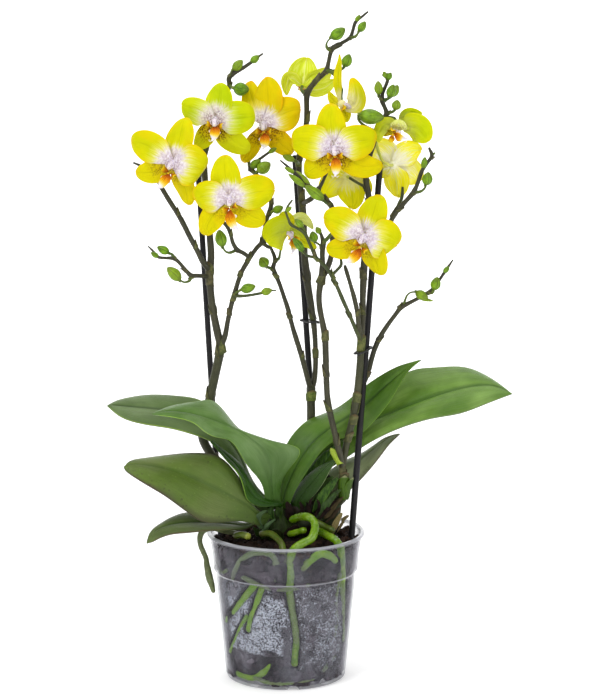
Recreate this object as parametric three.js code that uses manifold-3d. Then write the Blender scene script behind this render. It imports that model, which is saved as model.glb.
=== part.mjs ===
// Potted orchid: a moth orchid with three branched flower spikes, twelve flowers and nine
// leaves, growing in coarse bark in a clear plastic pot, held up by three sticks and two clips.
// Millimetres, +Z up, origin at the centre of the pot's flat base. -Y is the front.
import * as THREE from 'three';
import { mergeVertices } from 'three/addons/utils/BufferGeometryUtils.js';
import Module from 'manifold-3d';

const wasm = await Module();
wasm.setup();

// ---- driving dimensions
const GAP = 0.3;              // clearance between neighbouring pieces
const POT_HEIGHT = 114.5;
const POT_LIP_RADIUS = 60.5;
const POT_WALL = 1.3;
const POT_FLOOR = 2.0;
const BARK_TOP = 108.5;
const RING_SIDES = 24;
const NOTCH_TURN = 7.6;      // degrees that the front notch sits off centre
const NOTCH_WIDTH = 10;       // drain notches in the base edge
const NOTCH_HEIGHT = 2.6;
const DRAIN_RADIUS = 4;
const STICK_SIDES = 8;
const PETAL_THICKNESS = 1.0;
const CLIP_WIRE = 0.8;

// outside of the pot wall, [radius, height]
const POT_PROFILE = [[46.2,2.2],[48.8,28],[51.9,59],[53.7,82.5],[55.6,85.5],[56.4,97],[58.4,110.8]];

// sticks: [bottom point, top point, radius]
const STICKS = {
  stake_left: [[-49.4,12.5,88.5], [-66.9,24.8,395], 2.3],
  stake_middle: [[31.8,31,30], [7,31,400.6], 2.4],
  stake_right: [[47.4,-0.4,62], [71.4,2.1,398.6], 2.5],
};

// flower spikes: every branch is a run of [x, y, z, radius]
const SPIKES = {
  spike_left: [
    [[-13.7,1,127.8,3.4],[-21.4,3,131.3,3.4],[-36.8,6,146.4,3.4],[-62.9,9,182.1,3.4],[-63.6,10,192.8,3.5],[-49.3,3,257.5,3.5]], // main
    [[-49.3,3,257.5,3],[-55.3,6,285.6,2.8],[-57.5,9,312.1,2.9],[-56.7,10,327.4,2.7],[-60.2,10,377.1,2.4],[-60.8,8,407.8,2.3],[-50.1,12,437.6,1.9],[-42.3,12,455.7,1.7],[-42.5,12,461.8,1.7],[-38.7,12,465.1,1.5],[-25.9,11,473.5,1.3],[-17.2,11,480,0.7]], // l1
    [[-57.4,8.8,310.6,1.9],[-71.6,-2,313.4,1.7],[-84.3,-3,326.6,1.4],[-96.4,-4,327.9,1.1],[-103.5,-4,335.9,0.6]], // l1a
    [[-57.4,9.2,315.1,2.3],[-62.6,3,323,2.2],[-72.1,-3,343,2],[-92,-8,379.4,1.8],[-101.8,-4,392.5,1.2],[-113.9,-2,399.1,0.8]], // l1b
    [[-49.4,3.1,258.1,2.2],[-46.1,0,266.5,2.1],[-38.7,-2,299.2,2],[-33.3,-2,316.1,1.8],[-26.1,-3,328.5,1.7],[-17.3,-3,339.6,1.9],[-12.8,-1,360.3,1.8],[-11.7,2,373.6,1.5],[-15.4,4,381.7,1.4],[-26.8,5,393.7,1.5],[-10.9,4,407.5,1]], // l2
    [[-26.9,-2.9,327.1,1.6],[-36.4,-12,334.8,1.7],[-43,-16,351.7,1.4],[-49.7,-17,361.7,1.3],[-49.6,-19,368,1.2],[-45.8,-23,373.8,1.2]], // l2c
    [[-39,-1.9,297.9,1.5],[-28.3,-10,299.4,1.1],[-16.2,-13,302.2,1.1],[-7.1,-13,303.7,0.5]], // l2d
    [[-94.7,-6.9,383,1.2],[-86.9,-17,396.3,1.2]], // ped_f1
    [[-60.8,8,407.8,1.3],[-55.1,-1,428.4,1.1]], // ped_f2
    [[-26.8,5,393.7,1.3],[-27.3,16,400.8,1.1],[-20.1,16.5,415.2,1.1],[-14.7,15,420.7,1.2]], // ped_f3
    [[-71.5,-2,313.4,1.2],[-74.6,-3,308.6,0.8],[-79.5,-4,310.1,0.8]], // p_a1
    [[-84.3,-3,326.6,1.2],[-88.1,-3,331,0.8]], // p_a2
    [[-36.4,-12,334.8,1.3],[-43.5,-14,332.8,0.8],[-46.1,-15,334.9,0.7],[-46.9,-15,337.3,0.8]], // p_b1
    [[-38.7,-2,299.2,1.2],[-33.6,-10,303.4,0.8]], // p_d1
    [[-40.1,12,463.9,1.1],[-41,12,465.9,0.8],[-39.1,12,468.2,0.8]], // p_t1
    [[-42.3,12,457.3,1.2],[-39,8,454.2,0.9]], // p_t2
    [[-25.1,4.9,392,1.1],[-20.7,2,391.8,0.8]], // p_u1
    [[-12.8,-1,360.3,1.3],[-10.9,-3,361.8,1],[-9.4,-4,362.6,0.9]], // p_u2
    [[-18,-3,338.7,1.7],[-11.3,-4,335.2,1.1]], // node_l
  ],
  spike_middle: [
    [[5.6,8,130.1,3.2],[13.3,22,153.1,3.2],[18,25,176.2,3.2],[19.5,24.3,221.4,3.6]], // main
    [[19.4,24.3,219,2.4],[22.9,24.8,253.5,2],[14.4,25,325.1,2.8],[10.2,25,390.6,2.4],[15.8,24.6,425.8,2.1],[16.3,24.6,447.8,2.2],[30.7,24.6,466,1.9],[34.1,24.6,479.6,1.6],[36.3,24.6,483.4,1.7],[48.8,24.6,491.1,1.4],[52.9,24.6,502.9,1.3],[61.9,24.6,510.4,0.8]], // m1
    [[19.4,24.3,219,2.2],[17,20,229.3,2.1],[10.8,16,252.8,2],[-9.6,9,317.5,1.7],[-8,8,323.1,1.5],[-12.2,9,336,0.9]], // m2
    [[-8.2,8.1,323.7,1.2],[-5.3,6,324.9,1.1],[-4.2,2,329.3,0.9],[-2.2,-3,342.3,1.1]], // ped_f11
    [[-9.5,9,317.3,1.3],[-14.1,6,319.1,0.9]], // p_m1
    [[11.9,25,364.4,1.9],[17.5,15,368.5,1.9],[26.1,4,380.2,1.4],[36.4,-15,408.8,1.2]], // br_f5
    [[11,24.9,395.1,1.4],[6.8,13,399.2,1]], // p_l1
    [[16.7,24.6,448.3,1.5],[13.3,28,449.9,1.3],[12.1,36.5,452.8,1.1]], // ped_f7
    [[30.7,24.6,466.2,1.7],[35.2,20,465.2,1.3],[42.7,14,452.6,1.1]], // ped_f8
    [[32.6,22.7,465.8,1.4],[42.8,26,467.4,1.1],[44.7,27,468.8,0.9]], // p_8b
    [[35,24.6,481.1,1.4],[31.6,22,483.4,1.2],[32.5,20,489.7,0.6],[34.4,20,491.2,0.8]], // p_m2
    [[48.7,24.6,491.1,1.2],[54.3,19,494.3,0.8],[55.5,19,496,0.8]], // p_m3
  ],
  spike_right: [
    [[34.9,2,131.6,4.5],[44.4,-3.5,142.3,3],[43.7,-3.5,162.8,2.4],[54,-4.5,217.7,2.9],[57.4,-4.5,263.5,3]], // main
    [[57.3,-4.5,262,2.6],[58,-7,272.4,2.2],[59.6,-6,324.4,2.7],[62.7,-9,353,2.5],[63.6,-9,365.9,2.4],[60.6,-8,386.9,2.2],[61.7,-5,397.9,2],[67.7,-2,422.5,2],[75.9,-2,435.6,1.8],[72.5,-2,445.8,1.7],[76.8,-2,462.2,1.2],[76.5,-2,466,0.8]], // r1
    [[57.4,-5,264.3,2.1],[55.6,-12,274.8,1.9],[52.1,-14,297.4,1.8],[44.9,-14,322.2,1.2]], // r2
    [[57.3,-5.5,264.9,1.9],[54.5,-11,270.8,1.7],[35,-22,316.2,1.6],[23,-24,330.5,1.4],[14.7,-24,348.8,1.3],[4.3,-24,355.3,1.1],[0.5,-24,364.9,0.8],[5,-24,373.5,0.8]], // r3
    [[23,-24,330.5,1.2],[15.9,-25,332.4,1],[13.6,-25,335.2,0.9]], // r3t
    [[34.8,-22,316.5,1.3],[41.8,-20,323.9,1.1],[40.7,-18,332.3,0.8]], // r3u
    [[14.6,-24,348.9,1],[14.5,-24,351.3,0.8],[13.2,-24,353.6,0.7]], // p_r3
    [[53.4,-4.4,214.9,2],[53.9,3,219.3,2],[57,7,224.8,2],[63.9,8.5,239.3,2],[72,3,265.2,2],[87.6,-4,289.2,1.8],[99.6,-6,296.1,1.4],[106.4,-7,300.1,1.5],[111.6,-8,304.4,1.3],[126.3,-11,326.8,0.5]], // r4
    [[88.7,-4.2,289.8,1.3],[92,-6,298.8,0.7],[98.8,-7,301.6,0.8]], // p_r4a
    [[108.2,-7.4,301.6,1.2],[112.2,-10,303.6,0.9]], // p_r4b
    [[62.6,-8.9,352.3,1.9],[75.1,-6,351.1,1.8],[81.8,-6,360.2,1.9],[96,-6,376.9,2],[103,-6,394.3,1.5],[110.1,-6,405.2,1.4],[108,-6,410.5,1]], // r5
    [[83,-6,361.6,1.5],[88,0,373.1,1.3],[88.5,4,379.4,1]], // r5s
    [[96.2,-6,377.3,1.5],[101.2,-8,378.1,1.1],[105.6,-9,383.1,0.8]], // p_r5a
    [[109.5,-6,404.2,1],[112.1,-7,407.2,0.7]], // p_r5b
    [[67.8,-2,422.7,1.5],[57.4,-10,429.3,1],[54.9,-11,435.8,1]], // p_bud
    [[73,-2,447.8,1.2],[70,-4,450.8,0.9]], // p_tl
    [[73.6,-2,445.8,1.3],[77.6,-5,448.6,0.9]], // p_tr
    [[75.6,-2,436.5,1.5],[82.3,-5,439.3,0.9]], // p_tr2
    [[73.8,-2,432.3,1.5],[81.6,0,432.8,1.2]], // ped_f10
    [[67,-2.4,419.6,1.4],[69.3,1,410.1,1.1],[72.7,0,401.1,1],[76.8,-3,398.1,1],[79.8,1,397,1.1]], // ped_f9
    [[61.4,-8.3,381,1.3],[48.7,2,387.2,1.1]], // br_f12
    [[76.8,-2,462.2,1],[72.7,-2,465.2,0.6]], // tipl
    [[44.1,-3.5,164.5,2.3],[39.6,-12,184.3,2.3],[34.2,-14,208,2.4],[29.8,-14,269.8,2.6],[25.3,-14,298.9,2.2],[27.9,-14,315.7,3]], // n_main
    [[27.6,-14,313.4,2.6],[28.5,-14,340,2],[23.8,-14,350.7,0.9]], // n1
    [[28.2,-14,340.7,1.6],[40.9,-24,351.3,1.2],[55,-31,349.3,1.2]], // ped_f6
    [[28.4,-14,336.6,1.1],[22.6,-15,340.9,0.8]], // p_n1
    [[27.6,-14,313.5,2.6],[35.1,-10,334.1,1.9],[35.6,-11,361.6,1.9],[31.2,-15,372.4,1.8],[19.2,-18,382.9,1.5],[7.3,-18,393.4,1.2],[-3.6,-18,402.8,0.6]], // n2
    [[32.3,-14,369.8,1.2],[28.6,-21,373.5,1]], // p_n2a
    [[17,-18,384.8,1.2],[15.9,-20,383.9,1],[14.4,-22,383.6,1]], // p_n2c
    [[73.6,-2,445.8,1.2],[80.1,3,448.8,1]], // p_tr3
  ],
};

// buds: [spike they grow on, base, tip, diameter]
const BUDS = {
  bud_l1a_lower: ['spike_left', [-79.5,-4,310.1], [-89.4,-4,320], 8.9],
  bud_l1a_upper: ['spike_left', [-88,-3,330.9], [-96.9,-3,335.6], 6.6],
  bud_l2c: ['spike_left', [-46.9,-15,337.3], [-49.8,-15,350.2], 9.0],
  bud_l2d: ['spike_left', [-33.6,-10,303.4], [-22.6,-11,306.8], 7.6],
  bud_left_tip_a: ['spike_left', [-39.4,12,467.8], [-32.3,12,475.3], 7.4],
  bud_left_tip_b: ['spike_left', [-39,8,454.2], [-27.3,6,453.6], 10.4],
  bud_left_tip_c: ['spike_left', [-25.9,11,473.5], [-19.8,10,478.8], 5.9],
  bud_upper_left_a: ['spike_left', [-20.7,2,391.8], [-11.4,0,398.9], 9.6],
  bud_upper_left_b: ['spike_left', [-26,5,394.4], [-18.8,3,400.9], 6.6],
  bud_mid_node: ['spike_left', [-9.4,-4,362.6], [-1.8,-5,366.3], 6.6],
  bud_m2: ['spike_middle', [-14.1,6,319.1], [-19.1,5,326.2], 8.7],
  bud_m1_side: ['spike_middle', [6.8,13,399.2], [-2.2,12,403.3], 5.4],
  bud_top_a: ['spike_middle', [34.2,20,491.1], [44.9,20,498.5], 9.1],
  bud_top_b: ['spike_middle', [55.4,19,496], [60.3,19,503.7], 6.3],
  bud_top_c: ['spike_middle', [44.7,27,468.8], [48.5,27,478.6], 8.1],
  bud_n1: ['spike_right', [22.6,-15,340.9], [20,-16,349.2], 6.8],
  bud_n1_top: ['spike_right', [25.4,-14,347], [23,-16,352.2], 4.9],
  bud_n2_big: ['spike_right', [28.6,-21,373.5], [14.7,-22,384.5], 8.1],
  bud_n2_b: ['spike_right', [18.8,-18,383.3], [8,-16,394.7], 4.8],
  bud_n2_c: ['spike_right', [14.6,-21.7,383.7], [2.4,-22,393.1], 4.8],
  bud_n2_d: ['spike_right', [7.1,-18,393.5], [-0.6,-20,397.9], 3.5],
  bud_r3_a: ['spike_right', [13.6,-25,335.2], [5.8,-25,345.6], 5.9],
  bud_r3_b: ['spike_right', [13.3,-24,353.5], [7.3,-24,359.4], 5.0],
  bud_r3_c: ['spike_right', [0.7,-24,365.1], [4.7,-25,369.1], 3.4],
  bud_r4_a: ['spike_right', [98.5,-7,301.5], [107.9,-8,297.2], 7.2],
  bud_r4_b: ['spike_right', [112.2,-10,303.6], [114.8,-11,313.7], 7.9],
  bud_r4_c: ['spike_right', [100.6,-6.1,296.6], [112.1,-7,294.7], 2.8],
  bud_r4_d: ['spike_right', [119.5,-9.6,316.4], [123.4,-11,322.1], 4.2],
  bud_r5_a: ['spike_right', [105.6,-9,383.1], [107.4,-10,393.2], 8.2],
  bud_r5_b: ['spike_right', [103.7,-6,395.3], [104.8,-7,404.2], 4.9],
  bud_big_right: ['spike_right', [54.9,-11,435.8], [73.7,-13,434.5], 11.8],
  bud_tr_a: ['spike_right', [70,-4,450.8], [69.3,-5,461], 6.6],
  bud_tr_b: ['spike_right', [77.6,-5,448.6], [80.9,-6,458.5], 7.4],
  bud_tr_b2: ['spike_right', [79.7,2.7,448.6], [84.5,3,457.3], 6.9],
  bud_tr_c: ['spike_right', [82.3,-5,439.3], [83.9,-6,447], 7.2],
  bud_tr_d: ['spike_right', [76.7,-2,461.5], [79,-4,467.2], 4.8],
  bud_tr_e: ['spike_right', [75.8,-2,463], [73.4,-4,468], 3.9],
  bud_l1a_tip: ['spike_left', [-95.8,-4,327.9], [-101.5,-6,331.8], 4.3],
  bud_l2d_tip: ['spike_left', [-18,-12.6,301.8], [-10.1,-13,304.2], 6.2],
  bud_top_d: ['spike_middle', [53.2,24.6,503.2], [56.2,23.5,508.4], 3.9],
  bud_upper_left_c: ['spike_left', [-12.6,4.1,406], [-6.7,4,409.7], 4.0],
};

// leaves: near edge, midrib and far edge from base to tip, thickness
const LEAVES = {
  leaf_upper_left: { th: 1.6,
    a: [[-13,-1.2,129.2],[-21.2,-8,134],[-32.6,-12,150.6],[-37.8,-16,171.1],[-48.3,-19,182.7],[-61.1,-22,191.5],[-83.6,-25,199.1],[-106.2,-26,202.8],[-123.8,-22,207.3],[-135.6,-14,215]],
    m: [[-9.8,2,130],[-16.7,-4,135.4],[-27.3,-7,152.6],[-36.4,-8,175.6],[-50,-9,193.8],[-67.5,-8,203.7],[-89.8,-5,209.3],[-109.6,-5,211.6],[-126.2,-8,213.8],[-135.6,-14,215]],
    b: [[-6.6,5.2,130.7],[-11.3,-1,137],[-25.1,-2,153],[-35,-2,178.2],[-45.6,-3,197.9],[-63.1,-1,215.9],[-87.3,11,217.8],[-109.6,11,218.5],[-126.7,2,217.2],[-135.6,-14,215]] },
  leaf_folded_left: { th: 1.6,
    a: [[-10.1,-6.9,134],[-15,-14,140.9],[-18.7,-22,157.6],[-29.8,-32,173.9],[-40.1,-40,193.4],[-53.5,-47,198],[-60.8,-52,202.9],[-69.4,-58,211.4],[-84.2,-61,216.2],[-99,-61,218.5]],
    m: [[-6.7,-5,133.2],[-9.7,-12,139.6],[-11.1,-18,159.1],[-13.2,-26,179.6],[-26.7,-34,194.4],[-40.1,-38,203],[-54.3,-43,210.2],[-67.5,-49,215.2],[-84.4,-55,218.8],[-99,-61,218.5]],
    b: [[-3.2,-3.1,132.5],[-4.3,-8,138.7],[-2.8,-12,158.5],[11.8,-16,180.4],[-4.2,-22,188],[-32.2,-22,195],[-52.5,-24,220.1],[-68,-34,222.1],[-84.8,-45,221.3],[-99,-61,218.5]] },
  leaf_large_left: { th: 1.7,
    a: [[-13.1,-11.5,126.9],[-18.3,-24,123.3],[-34.5,-34,130.1],[-60,-44,131],[-74.6,-54,142.3],[-89.9,-60,155.3],[-102.5,-62,163.8],[-113,-60,170.3],[-119.1,-57,174.2],[-120.7,-55,176.8]],
    m: [[-11.6,-10,128.9],[-18,-20,127.8],[-28.5,-26,140.6],[-47.3,-32,152.2],[-64.5,-38,162.1],[-80.8,-43,170.2],[-96.4,-47,175],[-108.2,-50,177.2],[-116.3,-53,177.9],[-120.7,-55,176.8]],
    b: [[-10.9,-8.5,130.9],[-19.2,-17,132.6],[-25.6,-18,140.3],[-35.4,-20,160.3],[-49.8,-22,177.1],[-68.6,-25,180.9],[-89.7,-29,180.2],[-105.2,-36,179.4],[-115.2,-46,179.4],[-120.7,-55,176.8]] },
  leaf_small_left: { th: 1.5,
    a: [[-14.5,-13.6,127.5],[-30.2,-22,120.9],[-40.6,-34,123.1],[-55.5,-44,124.8],[-71.8,-50,124.7],[-85.4,-50,123.6],[-94.6,-48,120.4],[-100,-46,117.1],[-103.1,-45,115.7],[-104.6,-44,115.1]],
    m: [[-13.5,-11,128.4],[-28.7,-18,122.2],[-42.3,-24,124.5],[-57.4,-30,127.2],[-72.4,-35,128.8],[-85.9,-38,128],[-94.9,-41,125.6],[-100.1,-42,122],[-103.1,-43,118.3],[-104.6,-44,115.1]],
    b: [[-12.6,-8.4,129.3],[-27.3,-14,123.6],[-41,-15,125.4],[-57.7,-18,130.1],[-74.4,-22,133.8],[-86.3,-28,131.8],[-95.2,-33,127.5],[-100.3,-38,124.1],[-103.6,-42,119.6],[-104.6,-44,115.1]] },
  leaf_upright_right: { th: 1.7,
    a: [[-5.3,1.9,131],[-6.7,2,137.9],[-5.2,4,154.8],[0.2,8,179.1],[12.5,12,194.8],[24.9,21,200],[42,27,206.3],[63.5,25,224.4],[85.6,17,239.7],[103.8,12,245.7]],
    m: [[-2.1,0,130.5],[-2.1,-2,137.3],[3.3,-3,154.8],[17.1,-1,179.5],[32.5,5,192.3],[46.4,12,200.3],[59.5,16,208.1],[75,18,221.9],[89.4,16,235.2],[103.8,12,245.7]],
    b: [[1.1,-1.9,129.9],[3.3,-4,136.2],[9.5,-6,150.8],[27.8,-4,178.6],[42.5,3,186.5],[55.7,11,187.1],[66.5,13,195.8],[81,14,213.6],[93.2,13,235.4],[103.8,12,245.7]] },
  leaf_far_right: { th: 1.7,
    a: [[1.4,4.2,129],[0.2,6,132.2],[15.6,10,147.9],[45.8,13,167.8],[66.5,12,182.2],[87.7,4,194.5],[110.3,-4,203.2],[134.5,-8,207.9],[157.5,-5,216.3],[173.2,2,221.1]],
    m: [[5.6,8,130.1],[5.6,9,136.2],[18.7,17,160.5],[47.4,23,184.6],[72.9,24,197.8],[96,23,207.5],[117.5,20,216],[139.7,18,223],[158.5,12,225.8],[173.2,2,221.1]],
    b: [[9.8,11.8,131.2],[10.2,14,143.8],[21.1,24,167.7],[46.8,36,195.3],[75.7,42,214.8],[96.8,47,230.1],[118.6,47,232.8],[140.9,41,234],[159.3,25,228.3],[173.2,2,221.1]] },
  leaf_lower_right: { th: 1.5,
    a: [[24.5,4.1,124.4],[28,6,129.8],[34.9,6,134.6],[45.7,6,141.7],[55,8,149.9],[63.5,10,158.9],[72,12,168.8],[79,16,177],[84.5,20,182],[88.5,24,185.1]],
    m: [[21.8,6,128.2],[23.4,8,136.5],[29.5,10,143.1],[39.6,14,151.7],[49.7,17,159.7],[59,20,166.2],[67.6,22,172.9],[76.1,23,179],[83.1,24,183.2],[88.5,24,185.1]],
    b: [[19.1,7.9,132.1],[19.5,12,141.9],[24.9,18,148.4],[35.1,24,156.6],[46,28,162.8],[57.7,30,167.2],[67.8,30,173.9],[76.2,28,180.7],[83.1,26,183.9],[88.5,24,185.1]] },
  leaf_inner_right: { th: 1.5,
    a: [[14.4,-4.9,129.3],[14.8,-6,134.3],[18.7,-9,140.5],[23.2,-11,146.5],[27.8,-12,153],[31.6,-12,159.2],[34.7,-11,164.5],[37,-9,168],[38.1,-8,170.1],[38.5,-7,171.4]],
    m: [[11,-3,130.4],[9.5,-4,136.9],[13.3,-6,144.5],[18.7,-7,151.8],[24,-8,158.3],[28.6,-8,163.8],[33.2,-8,167.3],[36.2,-7,169.5],[37.8,-7,170.7],[38.5,-7,171.4]],
    b: [[7.5,-1.1,131.4],[4.1,0,137.6],[7.9,0,145.5],[13.3,0,153.3],[19.4,-1,159.9],[25.6,-2,164.8],[30.9,-3,168.2],[34.8,-4,170],[37.4,-6,171.2],[38.5,-7,171.4]] },
  leaf_narrow_left: { th: 1.4,
    a: [[-4.8,-9.6,134.4],[-7.3,-18,137.9],[-16.4,-22,138.1],[-24.8,-24,140.9],[-30,-26,146.1],[-32.3,-27,154.1],[-36,-28,165.2],[-43.5,-29,174.8],[-50.3,-29,183.3],[-57,-30,191.3]],
    m: [[-3.6,-8,134.8],[-5,-16,138.6],[-14.9,-19,140.5],[-22.5,-20,144.7],[-28.2,-21,151.9],[-31.6,-22,160],[-37.6,-24,170.6],[-45.8,-26,179.6],[-51.8,-28,186.2],[-57,-30,191.7]],
    b: [[-2.4,-6.4,135.1],[-3.5,-13,139.1],[-13.4,-15,141.9],[-21.1,-16,147.7],[-26.7,-17,156.5],[-31.6,-18,167.7],[-39.2,-20,176.7],[-47.4,-23,183.5],[-53.4,-26,188.5],[-57,-30,192]] },
};

// flowers: centre, facing [yaw, tilt] in degrees, pedicel end behind it, colour,
// lip run, and tepals as [root, middle, tip, width, own facing where it differs]
const FLOWERS = {
  flower_1: { c: [-84.2,-26,401.9], face: [-24, 4], back: [-86.9,-17,396.3], colour: 0xe0d812,
    lip: [[-85.7,-28,394.6],[-89.1,-35,389.5],[-95.2,-32,383.1]], tepals: [
      [[-82.7,-26,406.3], [-78.9,-25,420.4], [-75.3,-20,435.9], 22.5],
      [[-85.7,-26,404.1], [-100.7,-22,414.1], [-116,-14,417], 23.5],
      [[-80.5,-26,401.9], [-68.5,-29,399.2], [-58.3,-23,396.3], 31],
      [[-86.5,-26,397.4], [-99.2,-25,395], [-112.8,-21,394.5], 18.5],
      [[-80.6,-25,398], [-75.5,-25,383.8], [-73.5,-22,369.1], 17],
    ] },
  flower_2: { c: [-52.9,-10,432.3], face: [-6, 2], back: [-55.1,-1,428.4], colour: 0xcfe03a,
    lip: [[-52.5,-12,428.8],[-52.4,-18,423.4],[-54.6,-19,417.5]], tepals: [
      [[-51.8,-10,436.8], [-49.5,-10,448], [-50.3,-6,459.9], 20.5],
      [[-55.5,-10,433.8], [-66.7,-9,439.7], [-78.1,-5,443], 21],
      [[-49.5,-10,432.3], [-35.4,-9,433.7], [-22,-5,434.8], 26],
      [[-56.4,-9,424.7], [-60.9,-8,418.6], [-67.8,-6,410.8], 15],
      [[-49.6,-10,424.1], [-38.4,-9,416.4], [-25.8,-6,410.1], 18],
    ] },
  flower_3: { c: [-16.9,8,427.5], face: [-8, 4], back: [-14.7,15,420.7], colour: 0xe6cf0a,
    lip: [[-16.1,6,421.6],[-15.3,0,415.5],[-16.9,2,409.2]], tepals: [
      [[-15.4,8,433.5], [-13.1,8,447.8], [-16.1,12,462.5], 22.5],
      [[-19.9,9,431.1], [-24.4,11,443.8], [-26.7,16,459.5], 17],
      [[-12.4,8,432], [1.2,9,436.4], [12.5,13,438.3], 26],
      [[-21.5,9,419.8], [-26.8,10,408.3], [-33.7,12,398.2], 13],
      [[-11.6,8,419.9], [-3.4,9,412.2], [6.5,12,405.1], 17],
    ] },
  flower_4: { c: [-41.4,-34,375.9], face: [-12, -2], back: [-45.8,-23,373.8], colour: 0xe0d812,
    lip: [[-40.2,-36,369.4],[-40.1,-43,361.4],[-33.5,-41,352.2]], tepals: [
      [[-42.5,-34,381.1], [-44.6,-33,393.7], [-45.4,-29,408.5], 23.5],
      [[-46.2,-34,376.7], [-56.6,-32,377.9], [-68,-28,375.1], 25],
      [[-37.3,-34,376.7], [-21.7,-33,381], [-6.9,-28,381.9], 26],
      [[-47,-34,369.9], [-56,-33,360.1], [-59.1,-30,346.9], 18.5],
      [[-35.8,-34,368.4], [-25.4,-33,363.1], [-14.3,-29,358.8], 20],
    ] },
  flower_5: { c: [36.3,-24,412.1], face: [-2, 2], back: [36.4,-15,408.8], colour: 0xe0d812,
    lip: [[37,-26,407.1],[37.7,-33,400.4],[37,-31,392]], tepals: [
      [[35.5,-24,418.1], [34,-23,430.6], [34.8,-19,445.9], 22.5],
      [[31.1,-24,412.8], [17.7,-23,417.2], [3.9,-18,418.2], 27],
      [[41.5,-24,412.8], [54.1,-23,417.9], [68.4,-18,418.2], 27],
      [[31.8,-24,405.4], [22.9,-23,398.5], [13.2,-19,392.8], 19],
      [[43.8,-24,405.4], [57.2,-23,399.3], [73,-19,401.1], 19],
    ] },
  flower_6: { c: [57.8,-40,348.3], face: [-22, 2], back: [55,-31,349.3], colour: 0xe0d812,
    lip: [[56.3,-42,341.1],[51.7,-49,334.6],[45.1,-46,329.7]], tepals: [
      [[60,-40,354.3], [65.1,-39,366.1], [68.2,-35,379.8], 23.5],
      [[54,-40,351.3], [42.2,-38,357.8], [28.5,-31,360.5], 25],
      [[63.7,-40,349], [74.1,-42,345.6], [83.9,-38,341.2], 30],
      [[52.6,-40,343.8], [42.2,-39,339.9], [29.6,-34,339.9], 18],
      [[62.2,-40,343], [66.8,-40,331], [69.9,-36,317.6], 19],
    ] },
  flower_7: { c: [12.9,41,453.6], face: [176, 24], back: [12.1,36.5,452.8], colour: 0xcfe03a,
    lip: [[13.3,45,452.8],[13.3,51,449.2],[13.3,55,445.8]], tepals: [
      [[13.3,41,453.2], [14.1,45,462.8], [16,52,473.3], 24],
      [[16.4,42,452.3], [24,45,458.2], [33.2,49,463.6], 17],
      [[11,42,455.4], [8.3,45,462], [9.5,50,469.2], 11],
      [[18.6,41,450.1], [27.1,43,451.5], [36.5,47,457.6], 14],
      [[9.5,41,457.8], [3,44,459], [1,49,446.3], 11.5],
    ] },
  flower_8: { c: [43.4,10,442.4], face: [62, 2], back: [42.7,14,452.6], colour: 0xe0d812,
    lip: [[43.5,13,439.1],[42,14,434.4],[41.2,14,429.9]], tepals: [
      [[41.5,10,445.4], [40.2,10,461.9], [43.2,12,479.3], 9.5, [50, 2]],
      [[45.7,11,432.4], [52.4,9,445.5], [49,8,461.9], 15.5, [12, 6]],
      [[40.4,11,440], [36.8,11,445.3], [34.4,13,451.5], 7.5, [12, 2]],
      [[44.2,12,437.6], [46.5,13,433], [48.8,14,429.1], 9, [22, 2]],
      [[42.7,14,439], [39.8,19,430.9], [38.4,23,420.6], 15],
    ] },
  flower_9: { c: [81.3,8,396.4], face: [170, -4], back: [79.8,1,397], colour: 0xe4de5c,
    lip: [[81.4,11,395.3],[82.4,17,391.5],[83.3,20,385.1]], tepals: [
      [[78.3,8,399.4], [72.2,9,405.4], [65.5,13,409.5], 24],
      [[84.3,8,401.7], [92.7,10,405.7], [101.9,15,407], 20],
      [[85.8,8,395.6], [92.7,9,390.6], [99.7,13,384], 22],
      [[82.8,8,392.6], [84.5,9,382.6], [85,13,372.6], 19.5],
      [[77.5,8,394.1], [73.4,9,392.5], [69.4,13,389.7], 13],
    ] },
  flower_10: { c: [86.1,-2,425.5], face: [-19, -30], back: [81.6,0,432.8], colour: 0xcfe03a,
    lip: [[81,-10,422.6],[85.3,-14,420.4],[90.2,-14,418.5]], tepals: [
      [[84.6,-1,427.6], [92.3,-4,436], [101.5,-7,435.4], 9.5, [-19, -22]],
      [[91.3,-2,426.2], [98.7,-6,426.3], [106,-11,417.4], 24.5, [-4, -24]],
      [[81.5,-2,427], [74.3,-5,428.4], [69.4,-8,416.7], 12, [-19, -20]],
      [[85.9,-8,423.8], [85.2,-12,429.1], [85.7,-12,434.1], 13, [-11, -16]],
      [[83.2,0,421.5], [77.9,0,423], [73.8,1,418.4], 8, [-27, -22]],
    ] },
  flower_11: { c: [2,-8,346.8], face: [40, -10], back: [-2.2,-3,342.3], colour: 0xcfe03a,
    lip: [[4.2,-10,343.3],[5.7,-13,338.4],[5,-14,331.7]], tepals: [
      [[2,-8,349.1], [-5.5,-12,348.1], [-14.7,-17,343.5], 28, [10, -5]],
      [[2.7,-7,352], [8.4,-9,348.4], [14.6,-11,342.6], 7.5, [10, -10]],
      [[3.5,-5,353.2], [10.2,-2,357.8], [20.1,1,348.6], 9, [10, -10]],
      [[1.2,-9,350.7], [0.5,-11,357.1], [-0.6,-13,363.4], 13, [10, -10]],
      [[5,-3,345.3], [14,1,339.4], [24.1,4,332.6], 9.5, [10, -10]],
    ] },
  flower_12: { c: [46.6,10,387.8], face: [172, 0], back: [48.7,2,387.2], colour: 0xe4de5c,
    lip: [[46.6,13,387.4],[47.5,19,390.5],[47.5,22,395.5]], tepals: [
      [[43.6,10,387.8], [35.2,11,381.6], [30,15,371.9], 21],
      [[48.9,10,384.8], [50.8,11,374.3], [50.9,15,363.1], 21],
      [[51.1,10,387], [57.2,11,382.4], [62.7,15,375], 15],
      [[43.5,10,390.1], [36,11,396.8], [29.9,15,404], 16],
      [[49.6,10,390.8], [56.4,11,398.3], [61.8,15,405.5], 16],
    ] },
};

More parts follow.
